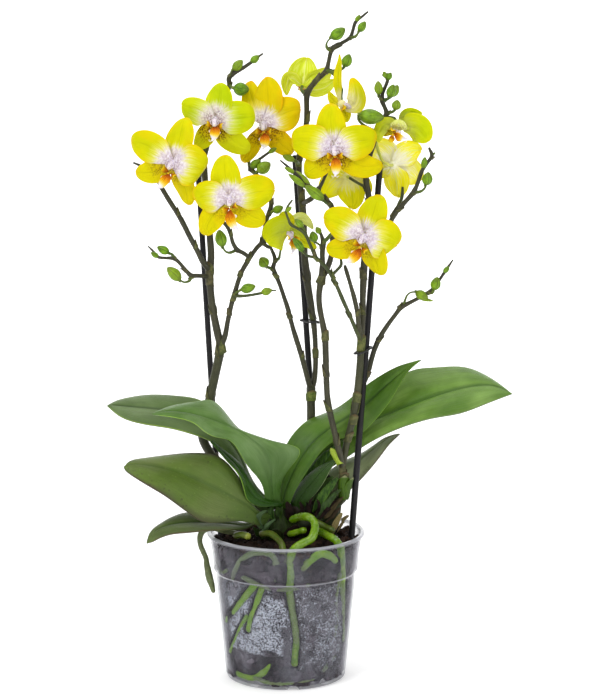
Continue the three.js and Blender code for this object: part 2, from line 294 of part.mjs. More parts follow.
// roots: runs of [x, y, z, radius]
const ROOTS = {
  root_hook: [[5.6,-11,125.6,3.1],[11,-18,129.3,3.1],[17.1,-25,131,3.1],[21.6,-30,128.3,3.1],[22.4,-35,123.3,3.1],[19.7,-40,118,3.1],[7.2,-49,112.8,3.1],[4.2,-52.5,107.5,3.1],[3.8,-50.4,89.9,3.1],[3.1,-48.1,79.9,3.1],[8,-44.1,41.1,3.1],[6.8,-42.3,20.9,3.1]],
  root_surface_right: [[24.8,-15,118,3],[30.1,-25,117.3,3],[36.1,-33,116.2,3],[40.2,-36.5,113.2,3],[42.2,-30.9,105.1,3.1],[42.5,-20.4,64.5,3.1],[42.7,-9.8,31.2,3.1]],
  root_surface_left: [[-18,-24,117.5,2.5],[-11.8,-30,119.3,2.5],[-6,-38,117.1,2.5],[-2.2,-46,112.9,2.5],[-1.1,-50,103.8,2.5]],
  root_stub: [[-37.8,-24,116.3,2.5],[-34,-26,117.6,2.5],[-28.9,-29,116.8,2.5]],
  root_hanging: [[-33,-3,111.5,2.2],[-51,-12,118.4,2.2],[-58.5,-15,119.6,2.2],[-64.3,-16.5,116.6,2.2],[-65.6,-17.5,110.5,2.2],[-60.9,-19.5,97,2],[-57.2,-20,78.5,2.5],[-55.4,-20,71.5,1.6]],
  root_inner: [[3.4,-17,115.7,2.5],[13.7,-25,120.5,2.5]],
  root_back: [[24,-11,123.7,2.5],[35.1,-20,120,2.5]],
  root_wall_arch: [[13.3,-49.5,97.5,2.9],[19.3,-48.5,103.4,2.9],[26.1,-46,107.8,2.9],[33,-40.9,105.3,2.9],[36.8,-36.4,100.2,2.9]],
  root_wall_left_a: [[-22.4,-42.9,83.2,3.1],[-28.5,-38.5,74.2,3.1],[-36.4,-29.3,60.6,3.1],[-43.8,-11.7,46.1,3.1]],
  root_wall_left_b: [[-17,-45.1,80.7,3.1],[-21.3,-42.4,67.4,3.1],[-25.2,-38.9,56.2,3.1],[-27.1,-36.2,46,3.1]],
  root_wall_left_c: [[-29.4,-37.5,56.6,1.8],[-34.9,-30.5,43.5,1.8],[-38.9,-22.9,31.8,1.8],[-42.3,-12.9,21.7,1.8]],
  root_wall_loop: [[-39.7,-29.1,84.2,2.2],[-37.6,-35.4,92.9,2.2],[-33.3,-40.7,101.4,2.2],[-26.8,-46.4,107.5,2.2],[-18.4,-50.7,109.8,2.2],[-10.8,-52.6,108.3,2.2],[-6.3,-52.5,102.9,2.2]],
  root_wall_base: [[-35.5,-21.5,6.6,2.9],[-30,-28.5,6.2,2.9],[-24,-34,7.4,2.9],[-16,-38.3,13,2.9],[-9.6,-41.3,21.7,2.4]],
};

// crown: the upright stem, the shoot that leans right and the old sheaths in front of it,
// [x, y, z, radius]
const CROWN_LEFT = [[-3, 3, 92, 7], [-5, 2, 103, 10.5], [-5, 0, 114, 11], [-5, -1, 122, 9], [-4, -1, 128, 5]];
const CROWN_RIGHT = [[0, 4, 100, 7], [9, 4, 111, 9], [18, 3, 119, 8], [27, 1, 126, 6.5], [34, 0, 132, 4.5]];
const CROWN_SHEATHS = [[14, 1, 104, 8], [24, -1, 111, 9], [31, -2, 118.5, 8], [35.5, -3, 126.5, 6.3], [38.5, -3, 134, 4]];

// wire clips: centre of the stick, centre of the stem, inner radius round each, tilt
const CLIPS = {
  clip_middle: [[15.5,31,273.3], [20.6,24.9,273.3], 3.15, 0],
  clip_right: [[61.2,1,255.7], [56.8,-4.5,255.7], 3.73, 18],
};


const V = (a) => new THREE.Vector3(a[0], a[1], a[2]);

// ---- solids: a closed mesh becomes a solid that can be joined and cut
function toSolid(geometry) {
  const g = geometry.clone();
  g.deleteAttribute('normal');
  g.deleteAttribute('uv');
  const m = mergeVertices(g, 1e-4);
  const p = m.attributes.position;
  const tri = [];
  for (let i = 0; i < m.index.count; i += 3) {
    const a = m.index.getX(i), b = m.index.getX(i + 1), c = m.index.getX(i + 2);
    if (a !== b && b !== c && c !== a) tri.push(a, b, c);
  }
  let vol = 0;
  for (let i = 0; i < tri.length; i += 3) {
    const A = new THREE.Vector3().fromBufferAttribute(p, tri[i]);
    const B = new THREE.Vector3().fromBufferAttribute(p, tri[i + 1]);
    const C = new THREE.Vector3().fromBufferAttribute(p, tri[i + 2]);
    vol += A.dot(B.cross(C));
  }
  if (vol < 0) for (let i = 0; i < tri.length; i += 3) { const t = tri[i]; tri[i] = tri[i + 1]; tri[i + 1] = t; }
  return new wasm.Manifold(new wasm.Mesh({ numProp: 3, vertProperties: new Float32Array(p.array), triVerts: new Uint32Array(tri) }));
}
function toGeometry(solid) {
  const mesh = solid.getMesh();
  const n = mesh.numProp, out = new Float32Array(mesh.vertProperties.length / n * 3);
  for (let i = 0; i < out.length / 3; i++) for (let k = 0; k < 3; k++) out[i * 3 + k] = mesh.vertProperties[i * n + k];
  const g = new THREE.BufferGeometry();
  g.setAttribute('position', new THREE.BufferAttribute(out, 3));
  g.setIndex(Array.from(mesh.triVerts));
  g.computeVertexNormals();
  return g;
}
// the largest connected body of a solid
function mainBody(solid) {
  const parts = solid.decompose();
  parts.sort((a, b) => b.volume() - a.volume());
  return parts[0];
}
const unite = (list) => list.reduce((a, b) => a.add(b));

// ---- a tapering tube: a closed cylinder bent along a run of [x, y, z, radius]
function tube(run, sides, grow = 0) {
  const n = run.length;
  const g = new THREE.CylinderGeometry(1, 1, 1, sides, n - 1, false);
  const pts = run.map(V);
  const tan = pts.map((q, i) => pts[Math.min(n - 1, i + 1)].clone().sub(pts[Math.max(0, i - 1)]).normalize());
  const side = [];
  let s = new THREE.Vector3(0, 1, 0);
  if (Math.abs(tan[0].y) > 0.9) s.set(1, 0, 0);
  for (let i = 0; i < n; i++) { s = s.clone().addScaledVector(tan[i], -s.dot(tan[i])).normalize(); side.push(s); }
  const p = g.attributes.position;
  for (let i = 0; i < p.count; i++) {
    const k = Math.round((0.5 - p.getY(i)) * (n - 1));
    const r = run[k][3] + grow, x = p.getX(i) * r, z = p.getZ(i) * r;
    const other = new THREE.Vector3().crossVectors(tan[k], side[k]);
    const q = pts[k].clone().addScaledVector(side[k], x).addScaledVector(other, z);
    if (k === 0) q.addScaledVector(tan[k], -grow - (x === 0 && z === 0 ? 0.3 * r : 0));
    if (k === n - 1) q.addScaledVector(tan[k], grow + (x === 0 && z === 0 ? 0.3 * r : 0));
    p.setXYZ(i, q.x, q.y, q.z);
  }
  return toSolid(g);
}
// ---- a blade: a flat box laid over three runs (near edge, rib, far edge)
function blade(a, m, b, thickness, grow = 0, ribbed = true) {
  const n = m.length;
  const g = new THREE.BoxGeometry(1, 1, 1, ribbed ? 2 : 1, n - 1, 1);
  const p = g.attributes.position;
  const A = a.map(V), M = m.map(V), B = b.map(V);
  const normal = M.map((q, i) => {
    const t = M[Math.min(n - 1, i + 1)].clone().sub(M[Math.max(0, i - 1)]);
    return new THREE.Vector3().crossVectors(B[i].clone().sub(A[i]), t).normalize();
  });
  for (let i = 0; i < p.count; i++) {
    const k = Math.round((p.getY(i) + 0.5) * (n - 1)), u = Math.abs(p.getX(i)) < 0.1 ? 0 : Math.sign(p.getX(i));
    const q = (u < 0 ? A : u > 0 ? B : M)[k].clone();
    const half = thickness / 2 * (u === 0 ? 1 : 0.6) + grow;
    if (grow && u !== 0) q.add(q.clone().sub(M[k]).normalize().multiplyScalar(grow));
    if (grow && (k === 0 || k === n - 1)) {
      const d = k === 0 ? M[0].clone().sub(M[1]) : M[n - 1].clone().sub(M[n - 2]);
      q.addScaledVector(d.normalize(), grow);
    }
    q.addScaledVector(normal[k], Math.sign(p.getZ(i)) * half);
    p.setXYZ(i, q.x, q.y, q.z);
  }
  return toSolid(g);
}
// ---- a bud: a sphere drawn out between its base and its tip
function bud(base, tip, diameter, grow = 0) {
  const a = V(base), b = V(tip), axis = b.clone().sub(a), len = axis.length();
  const g = new THREE.SphereGeometry(1, 5, 4);
  const q = new THREE.Quaternion().setFromUnitVectors(new THREE.Vector3(0, 1, 0), axis.clone().normalize());
  g.scale(diameter / 2 + grow, len / 2 + 0.4 + grow, diameter / 2 + grow);
  g.applyQuaternion(q);
  const c = a.add(b).multiplyScalar(0.5);
  g.translate(c.x, c.y, c.z);
  return toSolid(g);
}
const facing = ([yaw, tilt]) => {
  const y = THREE.MathUtils.degToRad(yaw), t = THREE.MathUtils.degToRad(tilt);
  return new THREE.Vector3(Math.sin(y) * Math.cos(t), -Math.cos(y) * Math.cos(t), Math.sin(t));
};
// ---- one tepal: a curved blade, widest past the middle, blunt at the tip
function tepal(root, mid, tip, width, normal, centre, grow = 0) {
  const R = V(root), M = V(mid), T = V(tip);
  const curve = new THREE.QuadraticBezierCurve3(R, M.clone().multiplyScalar(2).sub(R.clone().add(T).multiplyScalar(0.5)), T);
  const steps = [[-0.12, 0.34], [0.4, 0.93], [0.78, 0.92], [1, 0.36]];
  const a = [], m = [], b = [];
  for (const [t, w] of steps) {
    const q = t < 0 ? R.clone().lerp(V(centre), 0.75) : curve.getPoint(t);
    const tan = curve.getTangent(Math.max(0, t));
    const across = new THREE.Vector3().crossVectors(tan, normal).normalize();
    m.push(q.toArray());
    a.push(q.clone().addScaledVector(across, -width / 2 * w).toArray());
    b.push(q.clone().addScaledVector(across, width / 2 * w).toArray());
  }
  return blade(a, m, b, PETAL_THICKNESS / 0.7, grow, false);
}
function flowerBody(f, grow = 0) {
  const n = facing(f.face), c = V(f.c);
  const parts = f.tepals.map(([r, m, t, w, face]) => tepal(r, m, t, w, face ? facing(face) : n, f.c, grow));
  const back = V(f.back), d = back.clone().sub(c);
  const neck = c.clone().addScaledVector(d, Math.max(0.2, 1 - (GAP + 0.9) / Math.max(1, d.length())));
  const front = c.clone().addScaledVector(n, 5).add(new THREE.Vector3(0, 0, -1.5));
  parts.push(tube([[...neck.toArray(), 1.0], [...c.toArray(), 2.2], [...front.toArray(), 1.6]], 5, grow));
  return unite(parts);
}
function lipBody(f, grow = 0) {
  const n = facing(f.face), [a, b, c] = f.lip.map(V);
  const across = new THREE.Vector3().crossVectors(b.clone().sub(a), n).normalize();
  const width = [3, 10.5, 3.2], q = [a, b, c], A = [], B = [];
  q.forEach((p, i) => {
    A.push(p.clone().addScaledVector(across, -width[i] / 2).addScaledVector(n, i === 1 ? 1.5 : 0).toArray());
    B.push(p.clone().addScaledVector(across, width[i] / 2).addScaledVector(n, i === 1 ? 1.5 : 0).toArray());
  });
  return blade(A, q.map((p) => p.toArray()), B, 1.4, grow);
}

// ---- the pot: a lathed wall and floor with drain holes and notches
const ring = (points, sides) => toSolid(new THREE.LatheGeometry(points.map(([r, z]) => new THREE.Vector2(r, z)), sides).rotateX(Math.PI / 2));
const drum = (r, h, x, y, z, sides) => toSolid(new THREE.CylinderGeometry(r, r, h, sides).rotateX(Math.PI / 2).translate(x, y, z));
function potSolid() {
  const out = [[0, 0], [43.5, 0], ...POT_PROFILE, [POT_LIP_RADIUS, 111.6], [POT_LIP_RADIUS, POT_HEIGHT - 0.8], [59.7, POT_HEIGHT], [58.2, POT_HEIGHT]];
  const inn = [[58.4 - POT_WALL, 110.8], [56.4 - POT_WALL, 97], [55.6 - POT_WALL, 86.7], [53.7 - POT_WALL, 83], [51.9 - POT_WALL, 59], [48.8 - POT_WALL, 28], [46 - POT_WALL, POT_FLOOR + 0.8], [43.5, POT_FLOOR], [0, POT_FLOOR]];
  let pot = ring([...out, ...inn], RING_SIDES);
  for (let i = 0; i < 4; i++) {
    const t = Math.PI / 2 * i + THREE.MathUtils.degToRad(NOTCH_TURN);
    const x = Math.sin(t) * 45, y = -Math.cos(t) * 45;
    const box = new THREE.BoxGeometry(NOTCH_WIDTH, 8, NOTCH_HEIGHT * 2).rotateZ(t).translate(x, y, 0);
    pot = pot.subtract(toSolid(box));
    pot = pot.subtract(drum(DRAIN_RADIUS, 12, Math.sin(t + 0.785) * 28, -Math.cos(t + 0.785) * 28, 0, 8));
  }
  return pot;
}
const potInside = () => ring([[0, POT_FLOOR + GAP], [42.8, POT_FLOOR + GAP], [46 - POT_WALL - 0.5, POT_FLOOR + 1.6], [48.8 - POT_WALL - 0.6, 28], [51.9 - POT_WALL - 0.6, 59], [53.7 - POT_WALL - 0.6, 82.4], [55.6 - POT_WALL - 0.6, 87.6], [56.4 - POT_WALL - 0.6, 98], [55.6, BARK_TOP - 1], [20, BARK_TOP + 2.5], [0, BARK_TOP + 3.5]], RING_SIDES);
const crownSolid = (grow = 0) => tube(CROWN_LEFT, 8, grow).add(tube(CROWN_RIGHT, 8, grow)).add(tube(CROWN_SHEATHS, 8, grow));
// a torus pulled out along the line between stick and stem, so that it loops round both
function clipSolid([stick, stem, radius, tilt], grow = 0) {
  const g = new THREE.TorusGeometry(1, 0.5, 5, 16);
  const p = g.attributes.position, w = CLIP_WIRE + grow;
  const dx = stem[0] - stick[0], dy = stem[1] - stick[1], len = Math.hypot(dx, dy);
  for (let i = 0; i < p.count; i++) {
    const x = p.getX(i), y = p.getY(i), z = p.getZ(i), r = Math.hypot(x, y) || 1;
    const R = radius + 0.25 + w + (r - 1) * 2 * w;
    const shift = Math.abs(x / r) < 0.01 ? 0 : Math.sign(x) * len / 2;
    p.setXYZ(i, x / r * R + shift, y / r * R, z * 2 * w);
  }
  g.rotateZ(Math.atan2(dy, dx)).rotateY(THREE.MathUtils.degToRad(-tilt));
  g.translate((stick[0] + stem[0]) / 2, (stick[1] + stem[1]) / 2, (stick[2] + stem[2]) / 2);
  return toSolid(g);
}

// ---- every piece as a function of how far it is grown outwards; later pieces give way
// to earlier ones and keep the clearance to them
const spikeSides = (run) => (run[0][3] > 1.9 ? 5 : 4);
const PIECES = [];
const piece = (name, make, colour, roughness, extra = {}) => PIECES.push({ name, make, colour, roughness, extra });

piece('pot', (g) => potSolid(), 0xc9cad2, 0.18, { transparent: true, opacity: 0.35, cutter: 'wall' });
for (const [n, [a, b, r]] of Object.entries(STICKS)) piece(n, (g) => tube([[...a, r], [...b, r]], STICK_SIDES, g), 0x1c1a20, 0.45);
for (const [n, runs] of Object.entries(SPIKES)) {
  piece(n, (g) => unite([
    ...runs.map((run) => tube(run, spikeSides(run), g)),
    ...Object.values(BUDS).filter((q) => q[0] === n).map((q) => bud(q[1], q[2], q[3], g)),
  ]), 0x4c5230, 0.5);
}
for (const [n, q] of Object.entries(CLIPS)) piece(n, (g) => clipSolid(q, g), 0x202024, 0.4);
for (const [n, f] of Object.entries(FLOWERS)) {
  piece(n, (g) => flowerBody(f, g), f.colour, 0.45);
  piece(n.replace('flower', 'lip'), (g) => lipBody(f, g), 0xd9780f, 0.45);
}
for (const [n, q] of Object.entries(LEAVES)) piece(n, (g) => blade(q.a, q.m, q.b, q.th, g), 0x4f7a35, 0.4);
for (const [n, run] of Object.entries(ROOTS)) piece(n, (g) => tube(run, 6, g), 0x7fa545, 0.5);
piece('crown', (g) => crownSolid(g), 0x5a5a32, 0.7);
piece('bark_substrate', (g) => potInside(), 0x2c2220, 0.95);

const group = new THREE.Group();
const done = [];
for (const q of PIECES) {
  let solid = q.make(0);
  for (const d of done) {
    const A = solid.boundingBox(), B = d.box;
    if (A.min[0] > B.max[0] || A.max[0] < B.min[0] || A.min[1] > B.max[1] || A.max[1] < B.min[1] || A.min[2] > B.max[2] || A.max[2] < B.min[2]) continue;
    solid = solid.subtract(d.grown);
  }
  solid = mainBody(solid);
  const grown = q.name === 'pot' ? solid : q.make(GAP);
  done.push({ grown, box: grown.boundingBox(), name: q.name });
  const mesh = new THREE.Mesh(toGeometry(solid), new THREE.MeshStandardMaterial({
    color: q.colour, roughness: q.roughness, metalness: 0,
    transparent: !!q.extra.transparent, opacity: q.extra.opacity ?? 1 }));
  mesh.name = q.name;
  group.add(mesh);
}

export default group;
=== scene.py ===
import math
import bpy, bmesh
import numpy as np
from mathutils import Matrix, Vector


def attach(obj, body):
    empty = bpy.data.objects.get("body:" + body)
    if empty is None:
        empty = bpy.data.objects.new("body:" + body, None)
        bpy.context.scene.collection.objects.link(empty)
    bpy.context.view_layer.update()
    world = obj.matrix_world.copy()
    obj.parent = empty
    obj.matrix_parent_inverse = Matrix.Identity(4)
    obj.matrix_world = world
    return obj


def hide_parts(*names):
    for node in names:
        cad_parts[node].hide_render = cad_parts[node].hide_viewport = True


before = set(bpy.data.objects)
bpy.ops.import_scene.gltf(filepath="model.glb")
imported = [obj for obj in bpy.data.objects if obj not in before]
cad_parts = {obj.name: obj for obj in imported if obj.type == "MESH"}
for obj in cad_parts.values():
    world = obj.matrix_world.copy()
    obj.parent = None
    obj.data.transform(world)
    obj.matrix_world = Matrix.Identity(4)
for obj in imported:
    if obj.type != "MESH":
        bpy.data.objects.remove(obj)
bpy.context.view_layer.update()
# A potted orchid. Tables are in mm, in the frame's own axes: x, y, z, and a radius where there is a fourth number.
SPIKES = {
 "spike_left": [
  ("main", [(-13.7, 1, 127.8, 3.4), (-21.4, 3, 131.3, 3.4), (-36.8, 6, 146.4, 3.4), (-53.7, 8, 167.3, 3.4), (-62.9, 9, 182.1, 3.4), (-63.6, 10, 192.8, 3.5), (-61.2, 9.5, 203.9, 3.5), (-58.1, 8.5, 216.7, 3.5), (-54.9, 7, 231.1, 3.5), (-51.7, 5, 245.5, 3.4), (-49.3, 3, 257.5, 3.5)]),
  ("l1", [(-49.3, 3, 257.5, 3), (-52.3, 3, 270.6, 2.9), (-55.3, 6, 285.6, 2.8), (-57.2, 8, 300.7, 2.8), (-57.5, 9, 312.1, 2.9), (-56.7, 10, 327.4, 2.7), (-57.4, 10, 340.4, 2.6), (-58.5, 10, 358, 2.5), (-60.2, 10, 377.1, 2.4), (-61.6, 9, 396.3, 2.5), (-60.8, 8, 407.8, 2.3), (-56.9, 9, 421.3, 2), (-50.1, 12, 437.6, 1.9), (-44.8, 12, 448.2, 1.8), (-42.3, 12, 455.7, 1.7), (-42.5, 12, 461.8, 1.7), (-38.7, 12, 465.1, 1.5), (-31.9, 12, 469.3, 1.4), (-25.9, 11, 473.5, 1.3), (-21.3, 11, 477.2, 1), (-17.2, 11, 480, 0.7)]),
  ("l1a", [(-57.5, 8.9, 310.6, 1.9), (-62.7, 4, 312.1, 1.7), (-67.1, 0, 313, 1.6), (-71.6, -2, 313.4, 1.7), (-75.3, -3, 317.4, 1.5), (-79.8, -3, 322.8, 1.4), (-84.3, -3, 326.6, 1.4), (-90.4, -3, 327, 1.1), (-96.4, -4, 327.9, 1.1), (-99.7, -4, 332.1, 0.9), (-103.5, -4, 335.9, 0.6)]),
  ("l1b", [(-57.4, 9.2, 315.1, 2.3), (-62.6, 3, 323, 2.2), (-67, 0, 332.7, 2.1), (-72.1, -3, 343, 2), (-77.6, -5, 354.7, 2.1), (-82.4, -6, 363.2, 1.9), (-87.6, -7, 371.7, 1.9), (-92, -8, 379.4, 1.8), (-95.7, -7, 386.1, 1.5), (-101.8, -4, 392.5, 1.2), (-108.6, -2, 396.8, 1), (-113.9, -2, 399.1, 0.8)]),
  ("l2", [(-49.4, 3, 258, 2.2), (-46.1, 0, 266.5, 2.1), (-43.7, -1, 279.1, 1.9), (-41, -1, 291.4, 1.9), (-38.7, -2, 299.2, 2), (-36, -2, 308.5, 1.8), (-33.3, -2, 316.1, 1.8), (-29.9, -3, 322.4, 1.8), (-26.1, -3, 328.5, 1.7), (-21.5, -3, 335, 1.7), (-17.3, -3, 339.6, 1.9), (-16.2, -3, 346.8, 1.6), (-14.7, -2, 354.3, 1.6), (-12.8, -1, 360.3, 1.8), (-10.9, 0, 366.2, 1.7), (-11.7, 2, 373.6, 1.5), (-15.4, 4, 381.7, 1.4), (-21.5, 5, 389.2, 1.4), (-26.8, 5, 393.7, 1.5), (-24.5, 5, 397.5, 1.2), (-17.7, 4, 402.6, 1.1), (-10.9, 4, 407.5, 1)]),
  ("l2c", [(-27, -3, 327.1, 1.6), (-31.2, -8, 331.2, 1.6), (-36.4, -12, 334.8, 1.7), (-39.4, -14, 340, 1.5), (-40.8, -15, 345.5, 1.4), (-43, -16, 351.7, 1.4), (-46.8, -16, 356.6, 1.3), (-49.7, -17, 361.7, 1.3), (-49.6, -19, 368, 1.2), (-45.8, -23, 373.8, 1.2)]),
  ("l2d", [(-39.1, -1.8, 298, 1.5), (-34.4, -7, 298.5, 1.3), (-28.3, -10, 299.4, 1.1), (-21.5, -12, 300.9, 1.1), (-16.2, -13, 302.2, 1.1), (-11.6, -13, 303.7, 0.8), (-7.1, -13, 303.7, 0.5)]),
  ("ped_f1", [(-94.2, -7.4, 383.5, 1.2), (-90.9, -12, 389.7, 1.1), (-86.9, -17, 396.3, 1.2)]),
  ("ped_f2", [(-60.8, 8, 407.8, 1.3), (-59.8, 4, 415.8, 1.2), (-57.4, 1, 422.9, 1.1), (-55.1, -1, 428.4, 1.1)]),
  ("ped_f3", [(-26.8, 5, 393.7, 1.3), (-27.6, 11, 396.4, 1.2), (-27.3, 16, 400.8, 1.1), (-25, 16.5, 407.6, 1.1), (-20.1, 16.5, 415.2, 1.1), (-14.7, 15, 420.7, 1.2)]),
  ("p_a1", [(-71.6, -2, 313.4, 1.2), (-72.3, -3, 310.1, 1.1), (-74.6, -3, 308.6, 0.8), (-77.2, -4, 308.6, 0.7), (-79.5, -4, 310.1, 0.8)]),
  ("p_a2", [(-84.3, -3, 326.6, 1.2), (-85.4, -3, 329.3, 1.1), (-88.1, -3, 331, 0.8)]),
  ("p_b1", [(-36.4, -12, 334.8, 1.3), (-40.6, -13, 332.8, 1.1), (-43.5, -14, 332.8, 0.8), (-46.1, -15, 334.9, 0.7), (-46.9, -15, 337.3, 0.8)]),
  ("p_d1", [(-38.7, -2, 299.2, 1.2), (-36.7, -6, 301.4, 0.9), (-33.6, -10, 303.4, 0.8)]),
  ("p_t1", [(-40.1, 12, 463.9, 1.1), (-41, 12, 465.9, 0.8), (-39.1, 12, 468.2, 0.8)]),
  ("p_t2", [(-42.3, 12, 457.3, 1.2), (-40.9, 9, 455.6, 1), (-39, 8, 454.2, 0.9)]),
  ("p_u1", [(-25, 5, 392.2, 1.1), (-22.6, 3, 390.9, 0.8), (-20.7, 2, 391.8, 0.8)]),
  ("p_u2", [(-12.8, -1, 360.3, 1.3), (-10.9, -3, 361.8, 1), (-9.4, -4, 362.6, 0.9)]),
  ("node_l", [(-18, -3, 338.9, 1.7), (-13.2, -4, 335.6, 1.3), (-11.3, -4, 335.2, 1.1)]),
 ],
 "spike_middle": [
  ("main", [(5.6, 8, 130.1, 3.2), (8.7, 14, 137.4, 3.2), (13.3, 22, 153.1, 3.2), (18, 25, 176.2, 3.2), (19.5, 24.3, 196.2, 3.3), (19.5, 24.3, 210.4, 3.4), (19.5, 24.3, 221.4, 3.6)]),
  ("m1", [(19.5, 24.3, 219, 2.4), (22, 24.6, 227.6, 2.1), (23, 24.7, 239.4, 2), (22.9, 24.8, 253.5, 2), (22.3, 24.9, 264.4, 2.1), (21.2, 25, 274.6, 2.4), (19.5, 25, 286.3, 2.6), (17.5, 25, 298, 2.8), (15.8, 25, 311.9, 2.9), (14.4, 25, 325.1, 2.8), (13.8, 25, 340.6, 2.8), (13.3, 25, 356, 2.8), (12.2, 25, 367.6, 2.7), (11, 25, 379.1, 2.4), (10.2, 25, 390.6, 2.4), (10.6, 24.9, 401.3, 2.4), (13.3, 24.7, 413.6, 2.2), (15.8, 24.6, 425.8, 2.1), (16.1, 24.6, 437.9, 2.1), (16.3, 24.6, 447.8, 2.2), (19.3, 24.6, 453.9, 2.1), (24.6, 24.6, 459.9, 1.9), (30.7, 24.6, 466, 1.9), (32.6, 24.6, 472.8, 1.6), (34.1, 24.6, 479.6, 1.6), (36.3, 24.6, 483.4, 1.7), (42, 24.6, 486.8, 1.4), (48.8, 24.6, 491.1, 1.4), (51, 24.6, 496.9, 1.3), (52.9, 24.6, 502.9, 1.3), (57, 24.6, 506.3, 1), (61.9, 24.6, 510.4, 0.8)]),
  ("m2", [(19.5, 24.3, 219, 2.2), (17, 20, 229.3, 2.1), (13.7, 18, 242.2, 2), (10.8, 16, 252.8, 2), (7.9, 15, 262.3, 2.1), (4.9, 14, 272.6, 1.8), (1.8, 13, 285.2, 1.9), (-1.2, 12, 294.6, 1.7), (-4.6, 11, 304.9, 1.6), (-7.7, 10, 312.7, 1.7), (-9.6, 9, 317.5, 1.7), (-8, 8, 323.1, 1.5), (-8.8, 8, 327.7, 1.4), (-10.7, 8, 331.9, 1.2), (-12.2, 9, 336, 0.9)]),
  ("ped_f11", [(-8.1, 8, 323.8, 1.2), (-5.3, 6, 324.9, 1.1), (-4.2, 2, 329.3, 0.9), (-3.4, -1, 335.1, 0.9), (-2.2, -3, 342.3, 1.1)]),
  ("p_m1", [(-9.5, 9, 317.3, 1.3), (-12.2, 7, 317.8, 1.1), (-14.1, 6, 319.1, 0.9)]),
  ("br_f5", [(12.5, 25, 364.4, 1.9), (17.5, 15, 368.5, 1.9), (20.9, 12, 371.5, 1.7), (26.1, 4, 380.2, 1.4), (31.3, -4, 392.5, 1.2), (35, -10, 402.3, 1.1), (36.4, -15, 408.8, 1.2)]),
  ("p_l1", [(10.4, 25, 395.2, 1.4), (8.7, 15, 398.2, 1.1), (6.8, 13, 399.2, 1)]),
  ("ped_f7", [(16.6, 24.6, 448.4, 1.5), (13.3, 28, 449.9, 1.3), (12.1, 33, 451.6, 1.1), (12.1, 36.5, 452.8, 1.1)]),
  ("ped_f8", [(30.7, 24.6, 466.2, 1.7), (35.2, 20, 465.2, 1.3), (39.7, 17, 459.8, 1.1), (42.7, 14, 452.6, 1.1)]),
  ("p_8b", [(32.6, 22.7, 465.8, 1.4), (39, 24, 466.4, 1.3), (42.8, 26, 467.4, 1.1), (44.7, 27, 468.8, 0.9)]),
  ("p_m2", [(35, 24.6, 481.1, 1.4), (31.6, 22, 483.4, 1.2), (30.9, 21, 486.6, 0.7), (32.5, 20, 489.7, 0.6), (34.4, 20, 491.2, 0.8)]),
  ("p_m3", [(48.7, 24.6, 491.1, 1.2), (52.5, 20, 492.2, 1.1), (54.3, 19, 494.3, 0.8), (55.5, 19, 496, 0.8)]),
 ],
 "spike_right": [
  ("main", [(34.9, 2, 131.6, 4.5), (40.2, 0, 136.8, 3.8), (44.4, -3.5, 142.3, 3), (43.5, -3.5, 151, 2.8), (43.7, -3.5, 162.8, 2.4), (45.1, -3.5, 174.6, 2.5), (47.3, -4.5, 186.5, 2.6), (49.6, -4.5, 195.9, 2.7), (52, -4.5, 206.1, 2.8), (54, -4.5, 217.7, 2.9), (55.4, -4.5, 229.4, 2.9), (56.5, -4.5, 242.6, 2.8), (57.1, -4.5, 255, 2.7), (57.4, -4.5, 263.5, 3)]),
  ("r1", [(57.3, -4.5, 262, 2.6), (58, -7, 272.4, 2.2), (58.8, -6, 286.1, 2.2), (58.5, -6, 296.8, 2.4), (59, -6, 310.6, 2.7), (59.6, -6, 324.4, 2.7), (60.8, -8, 337.6, 2.6), (62.7, -9, 353, 2.5), (63.6, -9, 365.9, 2.4), (62.1, -9, 378, 2.3), (60.6, -8, 386.9, 2.2), (61.7, -5, 397.9, 2), (64.3, -4, 407.6, 1.9), (66.6, -3, 414.3, 1.8), (67.7, -2, 422.5, 2), (71, -2, 430, 1.8), (75.9, -2, 435.6, 1.8), (74.7, -2, 440.5, 1.5), (72.5, -2, 445.8, 1.7), (72.9, -2, 451.7, 1.4), (75.4, -2, 457.7, 1.3), (76.8, -2, 462.2, 1.2), (76.5, -2, 466, 0.8)]),
  ("r2", [(57.5, -5, 264.3, 2.1), (55.6, -12, 274.8, 1.9), (54.5, -13, 285.7, 1.8), (52.1, -14, 297.4, 1.8), (49.1, -14, 308.1, 1.5), (46.2, -14, 318, 1.6), (44.9, -14, 322.2, 1.2)]),
  ("r3", [(57.4, -5.5, 264.9, 1.9), (54.5, -11, 270.8, 1.7), (50.7, -14, 279.8, 1.5), (46.4, -17, 290.2, 1.5), (42.6, -19, 299, 1.6), (38.4, -21, 309.2, 1.5), (35, -22, 316.2, 1.6), (31.2, -23, 321.9, 1.4), (26.7, -24, 327.1, 1.4), (23, -24, 330.5, 1.4), (20.4, -24, 335.8, 1.3), (17.7, -24, 342.2, 1.2), (14.7, -24, 348.8, 1.3), (9.9, -24, 352.1, 1.1), (4.3, -24, 355.3, 1.1), (2.3, -24, 359.6, 0.9), (0.5, -24, 364.9, 0.8), (2, -24, 369.4, 0.8), (5, -24, 373.5, 0.8)]),
  ("r3t", [(23, -24, 330.5, 1.2), (19.2, -25, 331.3, 1.1), (15.9, -25, 332.4, 1), (13.6, -25, 335.2, 0.9)]),
  ("r3u", [(34.8, -22.1, 316.5, 1.3), (38, -21, 319.8, 1.2), (41.8, -20, 323.9, 1.1), (41.8, -19, 327.9, 1), (40.7, -18, 332.3, 0.8)]),
  ("p_r3", [(14.6, -24, 348.9, 1), (14.5, -24, 351.3, 0.8), (13.2, -24, 353.6, 0.7)]),
